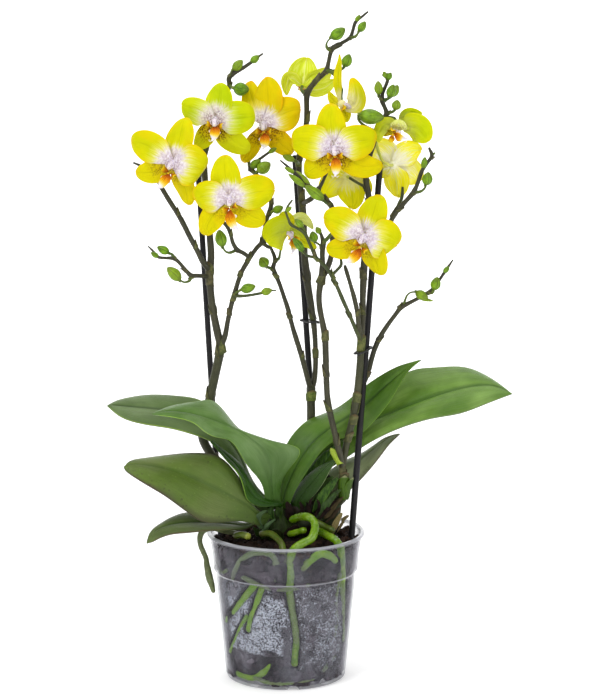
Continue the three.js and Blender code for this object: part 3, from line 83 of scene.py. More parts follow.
  ("r4", [(53.5, -4.5, 215, 2), (53.9, 3, 219.3, 2), (57, 7, 224.8, 2), (60.8, 8.5, 230.8, 2), (63.9, 8.5, 239.3, 2), (65.3, 8, 245.7, 2), (68.3, 6, 256.1, 2), (72, 3, 265.2, 2), (77.2, 0, 274.3, 1.8), (83.2, -2, 283.1, 1.7), (87.6, -4, 289.2, 1.8), (92.9, -5, 292.4, 1.6), (99.6, -6, 296.1, 1.4), (106.4, -7, 300.1, 1.5), (111.6, -8, 304.4, 1.3), (116.8, -9, 311.9, 1.2), (121.2, -10, 318.9, 1.3), (126.3, -11, 326.8, 0.5)]),
  ("p_r4a", [(88.7, -4.2, 289.8, 1.3), (90.2, -5, 293.6, 1), (92, -6, 298.8, 0.7), (95, -7, 301.4, 0.6), (98.8, -7, 301.6, 0.8)]),
  ("p_r4b", [(108.2, -7.4, 301.6, 1.2), (110.8, -9, 301.1, 1), (112.2, -10, 303.6, 0.9)]),
  ("r5", [(62.6, -9, 352.3, 1.9), (69.8, -7, 350.4, 1.9), (75.1, -6, 351.1, 1.8), (78.6, -6, 353.7, 1.8), (81.8, -6, 360.2, 1.9), (86.3, -6, 365.9, 1.9), (91.5, -6, 371.6, 1.8), (96, -6, 376.9, 2), (99, -6, 382.9, 1.6), (101.2, -6, 389.7, 1.6), (103, -6, 394.3, 1.5), (107.1, -6, 400.3, 1.3), (110.1, -6, 405.2, 1.4), (108, -6, 410.5, 1)]),
  ("r5s", [(83, -6, 361.7, 1.5), (85.6, -3, 368.1, 1.4), (88, 0, 373.1, 1.3), (88.5, 4, 379.4, 1)]),
  ("p_r5a", [(96.2, -6, 377.3, 1.5), (101.2, -8, 378.1, 1.1), (104.5, -9, 380.6, 0.8), (105.6, -9, 383.1, 0.8)]),
  ("p_r5b", [(109.5, -6, 404.2, 1), (112.1, -7, 407.2, 0.7)]),
  ("p_bud", [(67.8, -2, 422.8, 1.5), (61.9, -7, 426.4, 1.1), (57.4, -10, 429.3, 1), (54.6, -11, 432.8, 0.9), (54.9, -11, 435.8, 1)]),
  ("p_tl", [(72.6, -2, 448, 1.2), (69.8, -3, 449.2, 1), (70, -4, 450.8, 0.9)]),
  ("p_tr", [(73.6, -2, 445.8, 1.3), (76.1, -4, 447.4, 1.1), (77.6, -5, 448.6, 0.9)]),
  ("p_tr2", [(75.6, -2, 436.6, 1.5), (79.9, -4, 437.7, 1.1), (82.3, -5, 439.3, 0.9)]),
  ("ped_f10", [(73.3, -2, 432.6, 1.5), (77.8, -1, 433.3, 1.3), (81.6, 0, 432.8, 1.2)]),
  ("ped_f9", [(67.3, -2.4, 419.5, 1.4), (69.3, 1, 410.1, 1.1), (72.7, 0, 401.1, 1), (76.8, -3, 398.1, 1), (79.8, 1, 397, 1.1)]),
  ("br_f12", [(61.6, -8.7, 381, 1.3), (54.6, -4, 384.2, 1.1), (48.7, 2, 387.2, 1.1)]),
  ("tipl", [(76.8, -2, 462.2, 1), (74.2, -2, 464.1, 0.9), (72.7, -2, 465.2, 0.6)]),
  ("n_main", [(43.9, -3.5, 164.5, 2.3), (41.9, -9, 175, 2.3), (39.6, -12, 184.3, 2.3), (36.9, -13, 196.2, 2.3), (34.2, -14, 208, 2.4), (32, -14, 219.7, 2.4), (31.2, -14, 231.3, 2.3), (30.7, -14, 246.7, 2.4), (30.3, -14, 260.6, 2.5), (29.8, -14, 269.8, 2.6), (27.9, -14, 279.8, 2.3), (25.9, -14, 290.5, 2.2), (25.3, -14, 298.9, 2.2), (26.1, -14, 307.3, 2.4), (27.9, -14, 315.7, 3)]),
  ("n1", [(27.4, -14, 313.4, 2.6), (27.9, -14, 324.1, 2.2), (27.8, -14, 333.2, 2), (28.5, -14, 340, 2), (27.2, -14, 345.4, 1.4), (25.6, -14, 349.1, 1.2), (23.8, -14, 350.7, 0.9)]),
  ("ped_f6", [(28.3, -14, 340.8, 1.6), (31.3, -17, 343.5, 1.5), (34.2, -20, 347.3, 1.3), (40.9, -24, 351.3, 1.2), (49.1, -28, 351.1, 1.1), (55, -31, 349.3, 1.2)]),
  ("p_n1", [(28.2, -14, 336.6, 1.1), (24.9, -15, 339.4, 0.8), (22.6, -15, 340.9, 0.8)]),
  ("n2", [(27.5, -14, 313.5, 2.6), (31.4, -12, 320.7, 2.4), (33.8, -11, 326.7, 2.2), (35.1, -10, 334.1, 1.9), (35.9, -10, 343.3, 1.8), (35.8, -10, 353.1, 1.8), (35.6, -11, 361.6, 1.9), (34.5, -13, 367.9, 2), (31.2, -15, 372.4, 1.8), (26, -17, 377.5, 1.6), (19.2, -18, 382.9, 1.5), (13.2, -18, 388.2, 1.4), (7.3, -18, 393.4, 1.2), (1.7, -18, 398.3, 1), (-3.6, -18, 402.8, 0.6)]),
  ("p_n2a", [(32.9, -14, 370.1, 1.2), (30.5, -18, 370.9, 1), (28.6, -21, 373.5, 1)]),
  ("p_n2c", [(17, -18, 384.8, 1.2), (15.9, -20, 383.9, 1), (14.4, -22, 383.6, 1)]),
  ("p_tr3", [(73.6, -2, 445.8, 1.2), (77, 1, 447, 1), (80.1, 3, 448.8, 1)]),
 ],
}
BUDS = {
 "bud_l1a_lower": ((-79.5, -4, 310.1), (-89.4, -4, 320), 8.87),
 "bud_l1a_upper": ((-88, -3, 330.9), (-96.9, -3, 335.6), 6.63),
 "bud_l2c": ((-46.9, -15, 337.3), (-49.8, -15, 350.2), 9.02),
 "bud_l2d": ((-33.6, -10, 303.4), (-22.6, -11, 306.8), 7.56),
 "bud_left_tip_a": ((-39.4, 12, 467.8), (-32.3, 12, 475.3), 7.4),
 "bud_left_tip_b": ((-39, 8, 454.2), (-27.3, 6, 453.6), 10.41),
 "bud_left_tip_c": ((-25.9, 11, 473.5), (-19.8, 10, 478.8), 5.86),
 "bud_upper_left_a": ((-20.7, 2, 391.8), (-11.4, 0, 398.9), 9.64),
 "bud_upper_left_b": ((-26.2, 5, 394.6), (-18.8, 3, 400.9), 6.55),
 "bud_mid_node": ((-9.4, -4, 362.6), (-1.8, -5, 366.3), 6.63),
 "bud_m2": ((-14.1, 6, 319.1), (-19.1, 5, 326.2), 8.71),
 "bud_m1_side": ((6.8, 13, 399.2), (-2.2, 12, 403.3), 5.4),
 "bud_top_a": ((34.2, 20, 491.1), (44.9, 20, 498.5), 9.1),
 "bud_top_b": ((55.4, 19, 496), (60.3, 19, 503.7), 6.32),
 "bud_top_c": ((44.7, 27, 468.8), (48.5, 27, 478.6), 8.1),
 "bud_n1": ((22.6, -15, 340.9), (20, -16, 349.2), 6.78),
 "bud_n1_top": ((26.3, -14, 347.4), (23, -16, 352.2), 4.86),
 "bud_n2_big": ((28.6, -21, 373.5), (14.7, -22, 384.5), 8.1),
 "bud_n2_b": ((18.8, -18, 383.3), (8, -16, 394.7), 4.78),
 "bud_n2_c": ((14.6, -21.7, 383.7), (2.4, -22, 393.1), 4.78),
 "bud_n2_d": ((7.1, -18, 393.5), (-0.6, -20, 397.9), 3.55),
 "bud_r3_a": ((13.6, -25, 335.2), (5.8, -25, 345.6), 5.86),
 "bud_r3_b": ((13.3, -24, 353.5), (7.3, -24, 359.4), 5.01),
 "bud_r3_c": ((0.6, -24, 365.1), (4.7, -25, 369.1), 3.39),
 "bud_r4_a": ((98.4, -7, 301.6), (107.9, -8, 297.2), 7.25),
 "bud_r4_b": ((112.2, -10, 303.6), (114.8, -11, 313.7), 7.94),
 "bud_r4_c": ((100.6, -6.1, 296.6), (112.1, -7, 294.7), 2.78),
 "bud_r4_d": ((119.6, -9.6, 316.4), (123.4, -11, 322.1), 4.16),
 "bud_r5_a": ((105.6, -9, 383.1), (107.4, -10, 393.2), 8.17),
 "bud_r5_b": ((103.7, -6, 395.3), (104.8, -7, 404.2), 4.93),
 "bud_big_right": ((54.9, -11, 435.8), (73.7, -13, 434.5), 11.8),
 "bud_tr_a": ((70, -4, 450.8), (69.3, -5, 461), 6.63),
 "bud_tr_b": ((77.6, -5, 448.6), (80.9, -6, 458.5), 7.4),
 "bud_tr_b2": ((79.7, 2.7, 448.6), (84.5, 3, 457.3), 6.94),
 "bud_tr_c": ((82.3, -5, 439.3), (83.9, -6, 447), 7.25),
 "bud_tr_d": ((76.6, -2, 461.5), (79, -4, 467.2), 4.78),
 "bud_tr_e": ((75.7, -2, 463), (73.4, -4, 468), 3.86),
 "bud_l1a_tip": ((-96, -3.9, 327.9), (-101.5, -6, 331.8), 4.32),
 "bud_l2d_tip": ((-18, -12.7, 301.7), (-10.1, -13, 304.2), 6.17),
 "bud_top_d": ((53.2, 24.6, 503.2), (56.2, 23.5, 508.4), 3.86),
 "bud_upper_left_c": ((-12.7, 4, 406.1), (-6.7, 4, 409.7), 4.01),
}
LEAVES = {
 "leaf_upper_left": dict(th=1.6, a=[(-13, -1.2, 129.2), (-21.2, -8, 134), (-32.6, -12, 150.6), (-37.8, -16, 171.1), (-48.3, -19, 182.7), (-61.1, -22, 191.5), (-83.6, -25, 199.1), (-106.2, -26, 202.8), (-123.8, -22, 207.3), (-135.6, -14, 215)],
  m=[(-9.8, 2, 130), (-16.7, -4, 135.4), (-27.3, -7, 152.6), (-36.4, -8, 175.6), (-50, -9, 193.8), (-67.5, -8, 203.7), (-89.8, -5, 209.3), (-109.6, -5, 211.6), (-126.2, -8, 213.8), (-135.6, -14, 215)],
  b=[(-6.6, 5.2, 130.7), (-11.3, -1, 137), (-25.1, -2, 153), (-35, -2, 178.2), (-45.6, -3, 197.9), (-63.1, -1, 215.9), (-87.3, 11, 217.8), (-109.6, 11, 218.5), (-126.7, 2, 217.2), (-135.6, -14, 215)]),
 "leaf_folded_left": dict(th=1.6, a=[(-10.1, -6.9, 134), (-15, -14, 140.9), (-18.7, -22, 157.6), (-29.8, -32, 173.9), (-40.1, -40, 193.4), (-53.5, -47, 198), (-60.8, -52, 202.9), (-69.4, -58, 211.4), (-84.2, -61, 216.2), (-99, -61, 218.5)],
  m=[(-6.7, -5, 133.2), (-9.7, -12, 139.6), (-11.1, -18, 159.1), (-13.2, -26, 179.6), (-26.7, -34, 194.4), (-40.1, -38, 203), (-54.3, -43, 210.2), (-67.5, -49, 215.2), (-84.4, -55, 218.8), (-99, -61, 218.5)],
  b=[(-3.2, -3.1, 132.5), (-4.3, -8, 138.7), (-2.8, -12, 158.5), (11.8, -16, 180.4), (-4.2, -22, 188), (-32.2, -22, 195), (-52.5, -24, 220.1), (-68, -34, 222.1), (-84.8, -45, 221.3), (-99, -61, 218.5)]),
 "leaf_large_left": dict(th=1.7, a=[(-13.1, -11.5, 126.9), (-18.3, -24, 123.3), (-34.5, -34, 130.1), (-60, -44, 131), (-74.6, -54, 142.3), (-89.9, -60, 155.3), (-102.5, -62, 163.8), (-113, -60, 170.3), (-119.1, -57, 174.2), (-120.7, -55, 176.8)],
  m=[(-11.6, -10, 128.9), (-18, -20, 127.8), (-28.5, -26, 140.6), (-47.3, -32, 152.2), (-64.5, -38, 162.1), (-80.8, -43, 170.2), (-96.4, -47, 175), (-108.2, -50, 177.2), (-116.3, -53, 177.9), (-120.7, -55, 176.8)],
  b=[(-10.9, -8.5, 130.9), (-19.2, -17, 132.6), (-25.6, -18, 140.3), (-35.4, -20, 160.3), (-49.8, -22, 177.1), (-68.6, -25, 180.9), (-89.7, -29, 180.2), (-105.2, -36, 179.4), (-115.2, -46, 179.4), (-120.7, -55, 176.8)]),
 "leaf_small_left": dict(th=1.5, a=[(-14.5, -13.6, 127.5), (-30.2, -22, 120.9), (-40.6, -34, 123.1), (-55.5, -44, 124.8), (-71.8, -50, 124.7), (-85.4, -50, 123.6), (-94.6, -48, 120.4), (-100, -46, 117.1), (-103.1, -45, 115.7), (-104.6, -44, 115.1)],
  m=[(-13.5, -11, 128.4), (-28.7, -18, 122.2), (-42.3, -24, 124.5), (-57.4, -30, 127.2), (-72.4, -35, 128.8), (-85.9, -38, 128), (-94.9, -41, 125.6), (-100.1, -42, 122), (-103.1, -43, 118.3), (-104.6, -44, 115.1)],
  b=[(-12.6, -8.4, 129.3), (-27.3, -14, 123.6), (-41, -15, 125.4), (-57.7, -18, 130.1), (-74.4, -22, 133.8), (-86.3, -28, 131.8), (-95.2, -33, 127.5), (-100.3, -38, 124.1), (-103.6, -42, 119.6), (-104.6, -44, 115.1)]),
 "leaf_upright_right": dict(th=1.7, a=[(-5.3, 1.9, 131), (-6.7, 2, 137.9), (-5.2, 4, 154.8), (0.2, 8, 179.1), (12.5, 12, 194.8), (24.9, 21, 200), (42, 27, 206.3), (63.5, 25, 224.4), (85.6, 17, 239.7), (103.8, 12, 245.7)],
  m=[(-2.1, 0, 130.5), (-2.1, -2, 137.3), (3.3, -3, 154.8), (17.1, -1, 179.5), (32.5, 5, 192.3), (46.4, 12, 200.3), (59.5, 16, 208.1), (75, 18, 221.9), (89.4, 16, 235.2), (103.8, 12, 245.7)],
  b=[(1.1, -1.9, 129.9), (3.3, -4, 136.2), (9.5, -6, 150.8), (27.8, -4, 178.6), (42.5, 3, 186.5), (55.7, 11, 187.1), (66.5, 13, 195.8), (81, 14, 213.6), (93.2, 13, 235.4), (103.8, 12, 245.7)]),
 "leaf_far_right": dict(th=1.7, a=[(1.4, 4.2, 129), (0.2, 6, 132.2), (15.6, 10, 147.9), (45.8, 13, 167.8), (66.5, 12, 182.2), (87.7, 4, 194.5), (110.3, -4, 203.2), (134.5, -8, 207.9), (157.5, -5, 216.3), (173.2, 2, 221.1)],
  m=[(5.6, 8, 130.1), (5.6, 9, 136.2), (18.7, 17, 160.5), (47.4, 23, 184.6), (72.9, 24, 197.8), (96, 23, 207.5), (117.5, 20, 216), (139.7, 18, 223), (158.5, 12, 225.8), (173.2, 2, 221.1)],
  b=[(9.8, 11.8, 131.2), (10.2, 14, 143.8), (21.1, 24, 167.7), (46.8, 36, 195.3), (75.7, 42, 214.8), (96.8, 47, 230.1), (118.6, 47, 232.8), (140.9, 41, 234), (159.3, 25, 228.3), (173.2, 2, 221.1)]),
 "leaf_lower_right": dict(th=1.5, a=[(24.5, 4.1, 124.4), (28, 6, 129.8), (34.9, 6, 134.6), (45.7, 6, 141.7), (55, 8, 149.9), (63.5, 10, 158.9), (72, 12, 168.8), (79, 16, 177), (84.5, 20, 182), (88.5, 24, 185.1)],
  m=[(21.8, 6, 128.2), (23.4, 8, 136.5), (29.5, 10, 143.1), (39.6, 14, 151.7), (49.7, 17, 159.7), (59, 20, 166.2), (67.6, 22, 172.9), (76.1, 23, 179), (83.1, 24, 183.2), (88.5, 24, 185.1)],
  b=[(19.1, 7.9, 132.1), (19.5, 12, 141.9), (24.9, 18, 148.4), (35.1, 24, 156.6), (46, 28, 162.8), (57.7, 30, 167.2), (67.8, 30, 173.9), (76.2, 28, 180.7), (83.1, 26, 183.9), (88.5, 24, 185.1)]),
 "leaf_inner_right": dict(th=1.5, a=[(14.4, -4.9, 129.3), (14.8, -6, 134.3), (18.7, -9, 140.5), (23.2, -11, 146.5), (27.8, -12, 153), (31.6, -12, 159.2), (34.7, -11, 164.5), (37, -9, 168), (38.1, -8, 170.1), (38.5, -7, 171.4)],
  m=[(11, -3, 130.4), (9.5, -4, 136.9), (13.3, -6, 144.5), (18.7, -7, 151.8), (24, -8, 158.3), (28.6, -8, 163.8), (33.2, -8, 167.3), (36.2, -7, 169.5), (37.8, -7, 170.7), (38.5, -7, 171.4)],
  b=[(7.5, -1.1, 131.4), (4.1, 0, 137.6), (7.9, 0, 145.5), (13.3, 0, 153.3), (19.4, -1, 159.9), (25.6, -2, 164.8), (30.9, -3, 168.2), (34.8, -4, 170), (37.4, -6, 171.2), (38.5, -7, 171.4)]),
 "leaf_narrow_left": dict(th=1.4, a=[(-4.8, -9.6, 134.4), (-7.3, -18, 137.9), (-16.4, -22, 138.1), (-24.8, -24, 140.9), (-30, -26, 146.1), (-32.3, -27, 154.1), (-36, -28, 165.2), (-43.5, -29, 174.8), (-50.3, -29, 183.3), (-57, -30, 191.3)],
  m=[(-3.6, -8, 134.8), (-5, -16, 138.6), (-14.9, -19, 140.5), (-22.5, -20, 144.7), (-28.2, -21, 151.9), (-31.6, -22, 160), (-37.6, -24, 170.6), (-45.8, -26, 179.6), (-51.8, -28, 186.2), (-57, -30, 191.7)],
  b=[(-2.4, -6.4, 135.1), (-3.5, -13, 139.1), (-13.4, -15, 141.9), (-21.1, -16, 147.7), (-26.7, -17, 156.5), (-31.6, -18, 167.7), (-39.2, -20, 176.7), (-47.4, -23, 183.5), (-53.4, -26, 188.5), (-57, -30, 192)]),
}
FLOWERS = {
 "flower_1": dict(c=(-84.2, -26, 401.9), yaw=-24, tilt=4, tint="yellow", back=(-86.9, -17, 396.3), back_r=1.2, spike="spike_left", lip=[(-85.7, -28, 394.6), (-89.1, -35, 389.5), (-95.2, -32, 383.1)],
  T=[("D", (-82.7, -26, 406.3), (-78.9, -25, 420.4), (-75.3, -20, 435.9), 22.5, 0, 0), ("P", (-85.7, -26, 404.1), (-100.7, -22, 414.1), (-116, -14, 417), 23.5, 0, 0), ("P", (-80.5, -26, 401.9), (-68.5, -29, 399.2), (-58.3, -23, 396.3), 31, 0, 0), ("S", (-86.5, -26, 397.4), (-99.2, -25, 395), (-112.8, -21, 394.5), 18.5, 0, 0), ("S", (-80.6, -25, 398), (-75.5, -25, 383.8), (-73.5, -22, 369.1), 17, 0, 0)]),
 "flower_2": dict(c=(-52.9, -10, 432.3), yaw=-6, tilt=2, tint="green", back=(-55.1, -1, 428.4), back_r=1.1, spike="spike_left", lip=[(-52.5, -12, 428.8), (-52.4, -18, 423.4), (-54.6, -19, 417.5)],
  T=[("D", (-51.8, -10, 436.8), (-49.5, -10, 448), (-50.3, -6, 459.9), 20.5, 0, 0), ("P", (-55.5, -10, 433.8), (-66.7, -9, 439.7), (-78.1, -5, 443), 21, 0, 0), ("P", (-49.5, -10, 432.3), (-35.4, -9, 433.7), (-22, -5, 434.8), 26, 0, 0), ("S", (-56.4, -9, 424.7), (-60.9, -8, 418.6), (-67.8, -6, 410.8), 15, 0, 0), ("S", (-49.6, -10, 424.1), (-38.4, -9, 416.4), (-25.8, -6, 410.1), 18, 0, 0)]),
 "flower_3": dict(c=(-16.9, 8, 427.5), yaw=-8, tilt=4, tint="gold", back=(-14.7, 15, 420.7), back_r=1.2, spike="spike_left", lip=[(-16.1, 6, 421.6), (-15.3, 0, 415.5), (-16.9, 2, 409.2)],
  T=[("D", (-15.4, 8, 433.5), (-13.1, 8, 447.8), (-16.1, 12, 462.5), 22.5, 0, 0), ("P", (-19.9, 9, 431.1), (-24.4, 11, 443.8), (-26.7, 16, 459.5), 17, 0, 0), ("P", (-12.4, 8, 432), (1.2, 9, 436.4), (12.5, 13, 438.3), 26, 0, 0), ("S", (-21.5, 9, 419.8), (-26.8, 10, 408.3), (-33.7, 12, 398.2), 13, 0, 0), ("S", (-11.6, 8, 419.9), (-3.4, 9, 412.2), (6.5, 12, 405.1), 17, 0, 0)]),
 "flower_4": dict(c=(-41.4, -34, 375.9), yaw=-12, tilt=-2, tint="yellow", back=(-45.8, -23, 373.8), back_r=1.2, spike="spike_left", lip=[(-40.2, -36, 369.4), (-40.1, -43, 361.4), (-33.5, -41, 352.2)],
  T=[("D", (-42.5, -34, 381.1), (-44.6, -33, 393.7), (-45.4, -29, 408.5), 23.5, 0, 0), ("P", (-46.2, -34, 376.7), (-56.6, -32, 377.9), (-68, -28, 375.1), 25, 0, 0), ("P", (-37.3, -34, 376.7), (-21.7, -33, 381), (-6.9, -28, 381.9), 26, 0, 0), ("S", (-47, -34, 369.9), (-56, -33, 360.1), (-59.1, -30, 346.9), 18.5, 0, 0), ("S", (-35.8, -34, 368.4), (-25.4, -33, 363.1), (-14.3, -29, 358.8), 20, 0, 0)]),
 "flower_5": dict(c=(36.3, -24, 412.1), yaw=-2, tilt=2, tint="yellow", back=(36.4, -15, 408.8), back_r=1.2, spike="spike_middle", lip=[(37, -26, 407.1), (37.7, -33, 400.4), (37, -31, 392)],
  T=[("D", (35.5, -24, 418.1), (34, -23, 430.6), (34.8, -19, 445.9), 22.5, 0, 0), ("P", (31.1, -24, 412.8), (17.7, -23, 417.2), (3.9, -18, 418.2), 27, 0, 0), ("P", (41.5, -24, 412.8), (54.1, -23, 417.9), (68.4, -18, 418.2), 27, 0, 0), ("S", (31.8, -24, 405.4), (22.9, -23, 398.5), (13.2, -19, 392.8), 19, 0, 0), ("S", (43.8, -24, 405.4), (57.2, -23, 399.3), (73, -19, 401.1), 19, 0, 0)]),
 "flower_6": dict(c=(57.8, -40, 348.3), yaw=-22, tilt=2, tint="yellow", back=(55, -31, 349.3), back_r=1.2, spike="spike_right", lip=[(56.3, -42, 341.1), (51.7, -49, 334.6), (45.1, -46, 329.7)],
  T=[("D", (60, -40, 354.3), (65.1, -39, 366.1), (68.2, -35, 379.8), 23.5, 0, 0), ("P", (54, -40, 351.3), (42.2, -38, 357.8), (28.5, -31, 360.5), 25, 0, 0), ("P", (63.7, -40, 349), (74.1, -42, 345.6), (83.9, -38, 341.2), 30, 0, 0), ("S", (52.6, -40, 343.8), (42.2, -39, 339.9), (29.6, -34, 339.9), 18, 0, 0), ("S", (62.2, -40, 343), (66.8, -40, 331), (69.9, -36, 317.6), 19, 0, 0)]),
 "flower_7": dict(c=(12.9, 41, 453.6), yaw=176, tilt=24, tint="green", back=(12.1, 36.5, 452.8), back_r=1.1, spike="spike_middle", lip=[(13.3, 45, 452.8), (13.3, 51, 449.2), (13.3, 55, 445.8)],
  T=[("D", (13.3, 41, 453.2), (14.1, 45, 462.8), (16, 52, 473.3), 24, 0, 0), ("P", (16.4, 42, 452.3), (24, 45, 458.2), (33.2, 49, 463.6), 17, 0, 0), ("P", (11, 42, 455.4), (8.3, 45, 462), (9.5, 50, 469.2), 11, 0, 0), ("S", (18.6, 41, 450.1), (27.1, 43, 451.5), (36.5, 47, 457.6), 14, 0, 0), ("S", (9.5, 41, 457.8), (3, 44, 459), (1, 49, 446.3), 11.5, 0, 0)]),
 "flower_8": dict(c=(43.4, 10, 442.4), yaw=62, tilt=2, tint="yellow", back=(42.7, 14, 452.6), back_r=1.1, spike="spike_middle", lip=[(43.5, 13, 439.1), (42, 14, 434.4), (41.2, 14, 429.9)],
  T=[("D", (41.5, 10, 445.4), (40.2, 10, 461.9), (43.2, 12, 479.3), 9.5, -12, 0), ("P", (45.7, 11, 432.4), (52.4, 9, 445.5), (49, 8, 461.9), 15.5, -50, 4), ("S", (40.4, 11, 440), (36.8, 11, 445.3), (34.4, 13, 451.5), 7.5, -50, 0), ("S", (44.2, 12, 437.6), (46.5, 13, 433), (48.8, 14, 429.1), 9, -40, 0), ("P", (42.7, 14, 439), (39.8, 19, 430.9), (38.4, 23, 420.6), 15, 0, 0)]),
 "flower_9": dict(c=(81.3, 8, 396.4), yaw=170, tilt=-4, tint="pale", back=(79.8, 1, 397), back_r=1.1, spike="spike_right", lip=[(81.4, 11, 395.3), (82.4, 17, 391.5), (83.3, 20, 385.1)],
  T=[("P", (78.3, 8, 399.4), (72.2, 9, 405.4), (65.5, 13, 409.5), 24, 0, 0), ("D", (84.3, 8, 401.7), (92.7, 10, 405.7), (101.9, 15, 407), 20, 0, 0), ("P", (85.8, 8, 395.6), (92.7, 9, 390.6), (99.7, 13, 384), 22, 0, 0), ("S", (82.8, 8, 392.6), (84.5, 9, 382.6), (85, 13, 372.6), 19.5, 0, 0), ("S", (77.5, 8, 394.1), (73.4, 9, 392.5), (69.4, 13, 389.7), 13, 0, 0)]),
 "flower_10": dict(c=(86.1, -2, 425.5), yaw=-19, tilt=-30, tint="green", back=(81.6, 0, 432.8), back_r=1.2, spike="spike_right", lip=[(81, -10, 422.6), (85.3, -14, 420.4), (90.2, -14, 418.5)],
  T=[("D", (84.6, -1, 427.6), (92.3, -4, 436), (101.5, -7, 435.4), 9.5, 0, 8), ("P", (91.3, -2, 426.2), (98.7, -6, 426.3), (106, -11, 417.4), 24.5, 15, 6), ("P", (81.5, -2, 427), (74.3, -5, 428.4), (69.4, -8, 416.7), 12, 0, 10), ("L", (85.9, -8, 423.8), (85.2, -12, 429.1), (85.7, -12, 434.1), 13, 8, 14), ("S", (83.2, 0, 421.5), (77.9, 0, 423), (73.8, 1, 418.4), 8, -8, 8)]),
 "flower_11": dict(c=(2, -8, 346.8), yaw=40, tilt=-10, tint="green", back=(-2.2, -3, 342.3), back_r=1.1, spike="spike_middle", lip=[(4.2, -10, 343.3), (5.7, -13, 338.4), (5, -14, 331.7)],
  T=[("P", (2, -8, 349.1), (-5.5, -12, 348.1), (-14.7, -17, 343.5), 28, -30, 5), ("D", (2.7, -7, 352), (8.4, -9, 348.4), (14.6, -11, 342.6), 7.5, -30, 0), ("L", (3.5, -5, 353.2), (10.2, -2, 357.8), (20.1, 1, 348.6), 9, -30, 0), ("S", (1.2, -9, 350.7), (0.5, -11, 357.1), (-0.6, -13, 363.4), 13, -30, 0), ("S", (5, -3, 345.3), (14, 1, 339.4), (24.1, 4, 332.6), 9.5, -30, 0)]),
 "flower_12": dict(c=(46.6, 10, 387.8), yaw=172, tilt=0, tint="pale", back=(48.7, 2, 387.2), back_r=1.1, spike="spike_right", lip=[(46.6, 13, 387.4), (47.5, 19, 390.5), (47.5, 22, 395.5)],
  T=[("P", (43.6, 10, 387.8), (35.2, 11, 381.6), (30, 15, 371.9), 21, 0, 0), ("D", (48.9, 10, 384.8), (50.8, 11, 374.3), (50.9, 15, 363.1), 21, 0, 0), ("P", (51.1, 10, 387), (57.2, 11, 382.4), (62.7, 15, 375), 15, 0, 0), ("S", (43.5, 10, 390.1), (36, 11, 396.8), (29.9, 15, 404), 16, 0, 0), ("S", (49.6, 10, 390.8), (56.4, 11, 398.3), (61.8, 15, 405.5), 16, 0, 0)]),
}
ROOTS = {
 "root_hook": [(5.6, -11, 125.6, 3.1), (11, -18, 129.3, 3.1), (17.1, -25, 131, 3.1), (21.6, -30, 128.3, 3.1), (22.4, -35, 123.3, 3.1), (19.7, -40, 118, 3.1), (13.3, -45, 115.3, 3.1), (7.2, -49, 112.8, 3.1), (4.2, -52.5, 107.5, 3.1), (3.8, -51, 97.8, 3.1), (3.8, -50.4, 89.9, 3.1), (3.1, -48.1, 79.9, 3.1), (4.6, -47.1, 67.1, 3.1), (6.5, -45.6, 54.2, 3.1), (8, -44.1, 41.1, 3.1), (7.2, -43.1, 29.8, 3.1), (6.8, -42.3, 20.9, 3.1)],
 "root_surface_right": [(24.8, -15, 118, 3), (30.1, -25, 117.3, 3), (36.1, -33, 116.2, 3), (40.2, -36.5, 113.2, 3), (42.2, -30.9, 105.1, 3.1), (42.7, -26.9, 88.3, 3.1), (42.5, -20.4, 64.5, 3.1), (42.7, -9.8, 31.2, 3.1)],
 "root_surface_left": [(-18, -24, 117.5, 2.5), (-11.8, -30, 119.3, 2.5), (-6, -38, 117.1, 2.5), (-2.2, -46, 112.9, 2.5), (-1.1, -50, 103.8, 2.5)],
 "root_stub": [(-37.8, -24, 116.3, 2.5), (-34, -26, 117.6, 2.5), (-28.9, -29, 116.8, 2.5)],
 "root_hanging": [(-33, -3, 111.5, 2.2), (-43, -8, 115, 2.2), (-51, -12, 118.4, 2.2), (-58.5, -15, 119.6, 2.2), (-64.3, -16.5, 116.6, 2.2), (-65.6, -17.5, 110.5, 2.2), (-63.6, -18.5, 104, 2.1), (-60.9, -19.5, 97, 2), (-60.4, -20, 93, 2.3), (-59.2, -20, 86, 2.6), (-57.2, -20, 78.5, 2.5), (-55.4, -20, 71.5, 1.6)],
 "root_inner": [(3.4, -17, 115.7, 2.5), (8.7, -21, 117.9, 2.5), (13.7, -25, 120.5, 2.5)],
 "root_back": [(24, -11, 123.7, 2.5), (29.4, -15, 121.5, 2.5), (35.1, -20, 120, 2.5)],
 "root_wall_arch": [(13.3, -49.5, 97.5, 2.9), (19.3, -48.5, 103.4, 2.9), (26.1, -46, 107.8, 2.9), (33, -40.9, 105.3, 2.9), (36.8, -36.4, 100.2, 2.9)],
 "root_wall_left_a": [(-22.4, -42.9, 83.2, 3.1), (-28.5, -38.5, 74.2, 3.1), (-36.4, -29.3, 60.6, 3.1), (-43.8, -11.7, 46.1, 3.1)],
 "root_wall_left_b": [(-17, -45.1, 80.7, 3.1), (-21.3, -42.4, 67.4, 3.1), (-25.2, -38.9, 56.2, 3.1), (-27.1, -36.2, 46, 3.1)],
 "root_wall_left_c": [(-29.4, -37.5, 56.6, 1.8), (-34.9, -30.5, 43.5, 1.8), (-38.9, -22.9, 31.8, 1.8), (-42.3, -12.9, 21.7, 1.8)],
 "root_wall_loop": [(-39.7, -29.1, 84.2, 2.2), (-37.6, -35.4, 92.9, 2.2), (-33.3, -40.7, 101.4, 2.2), (-26.8, -46.4, 107.5, 2.2), (-18.4, -50.7, 109.8, 2.2), (-10.8, -52.6, 108.3, 2.2), (-6.3, -52.5, 102.9, 2.2)],
 "root_wall_base": [(-35.5, -21.5, 6.6, 2.9), (-30, -28.5, 6.2, 2.9), (-24, -34, 7.4, 2.9), (-16, -38.3, 13, 2.9), (-9.6, -41.3, 21.7, 2.4)],
}
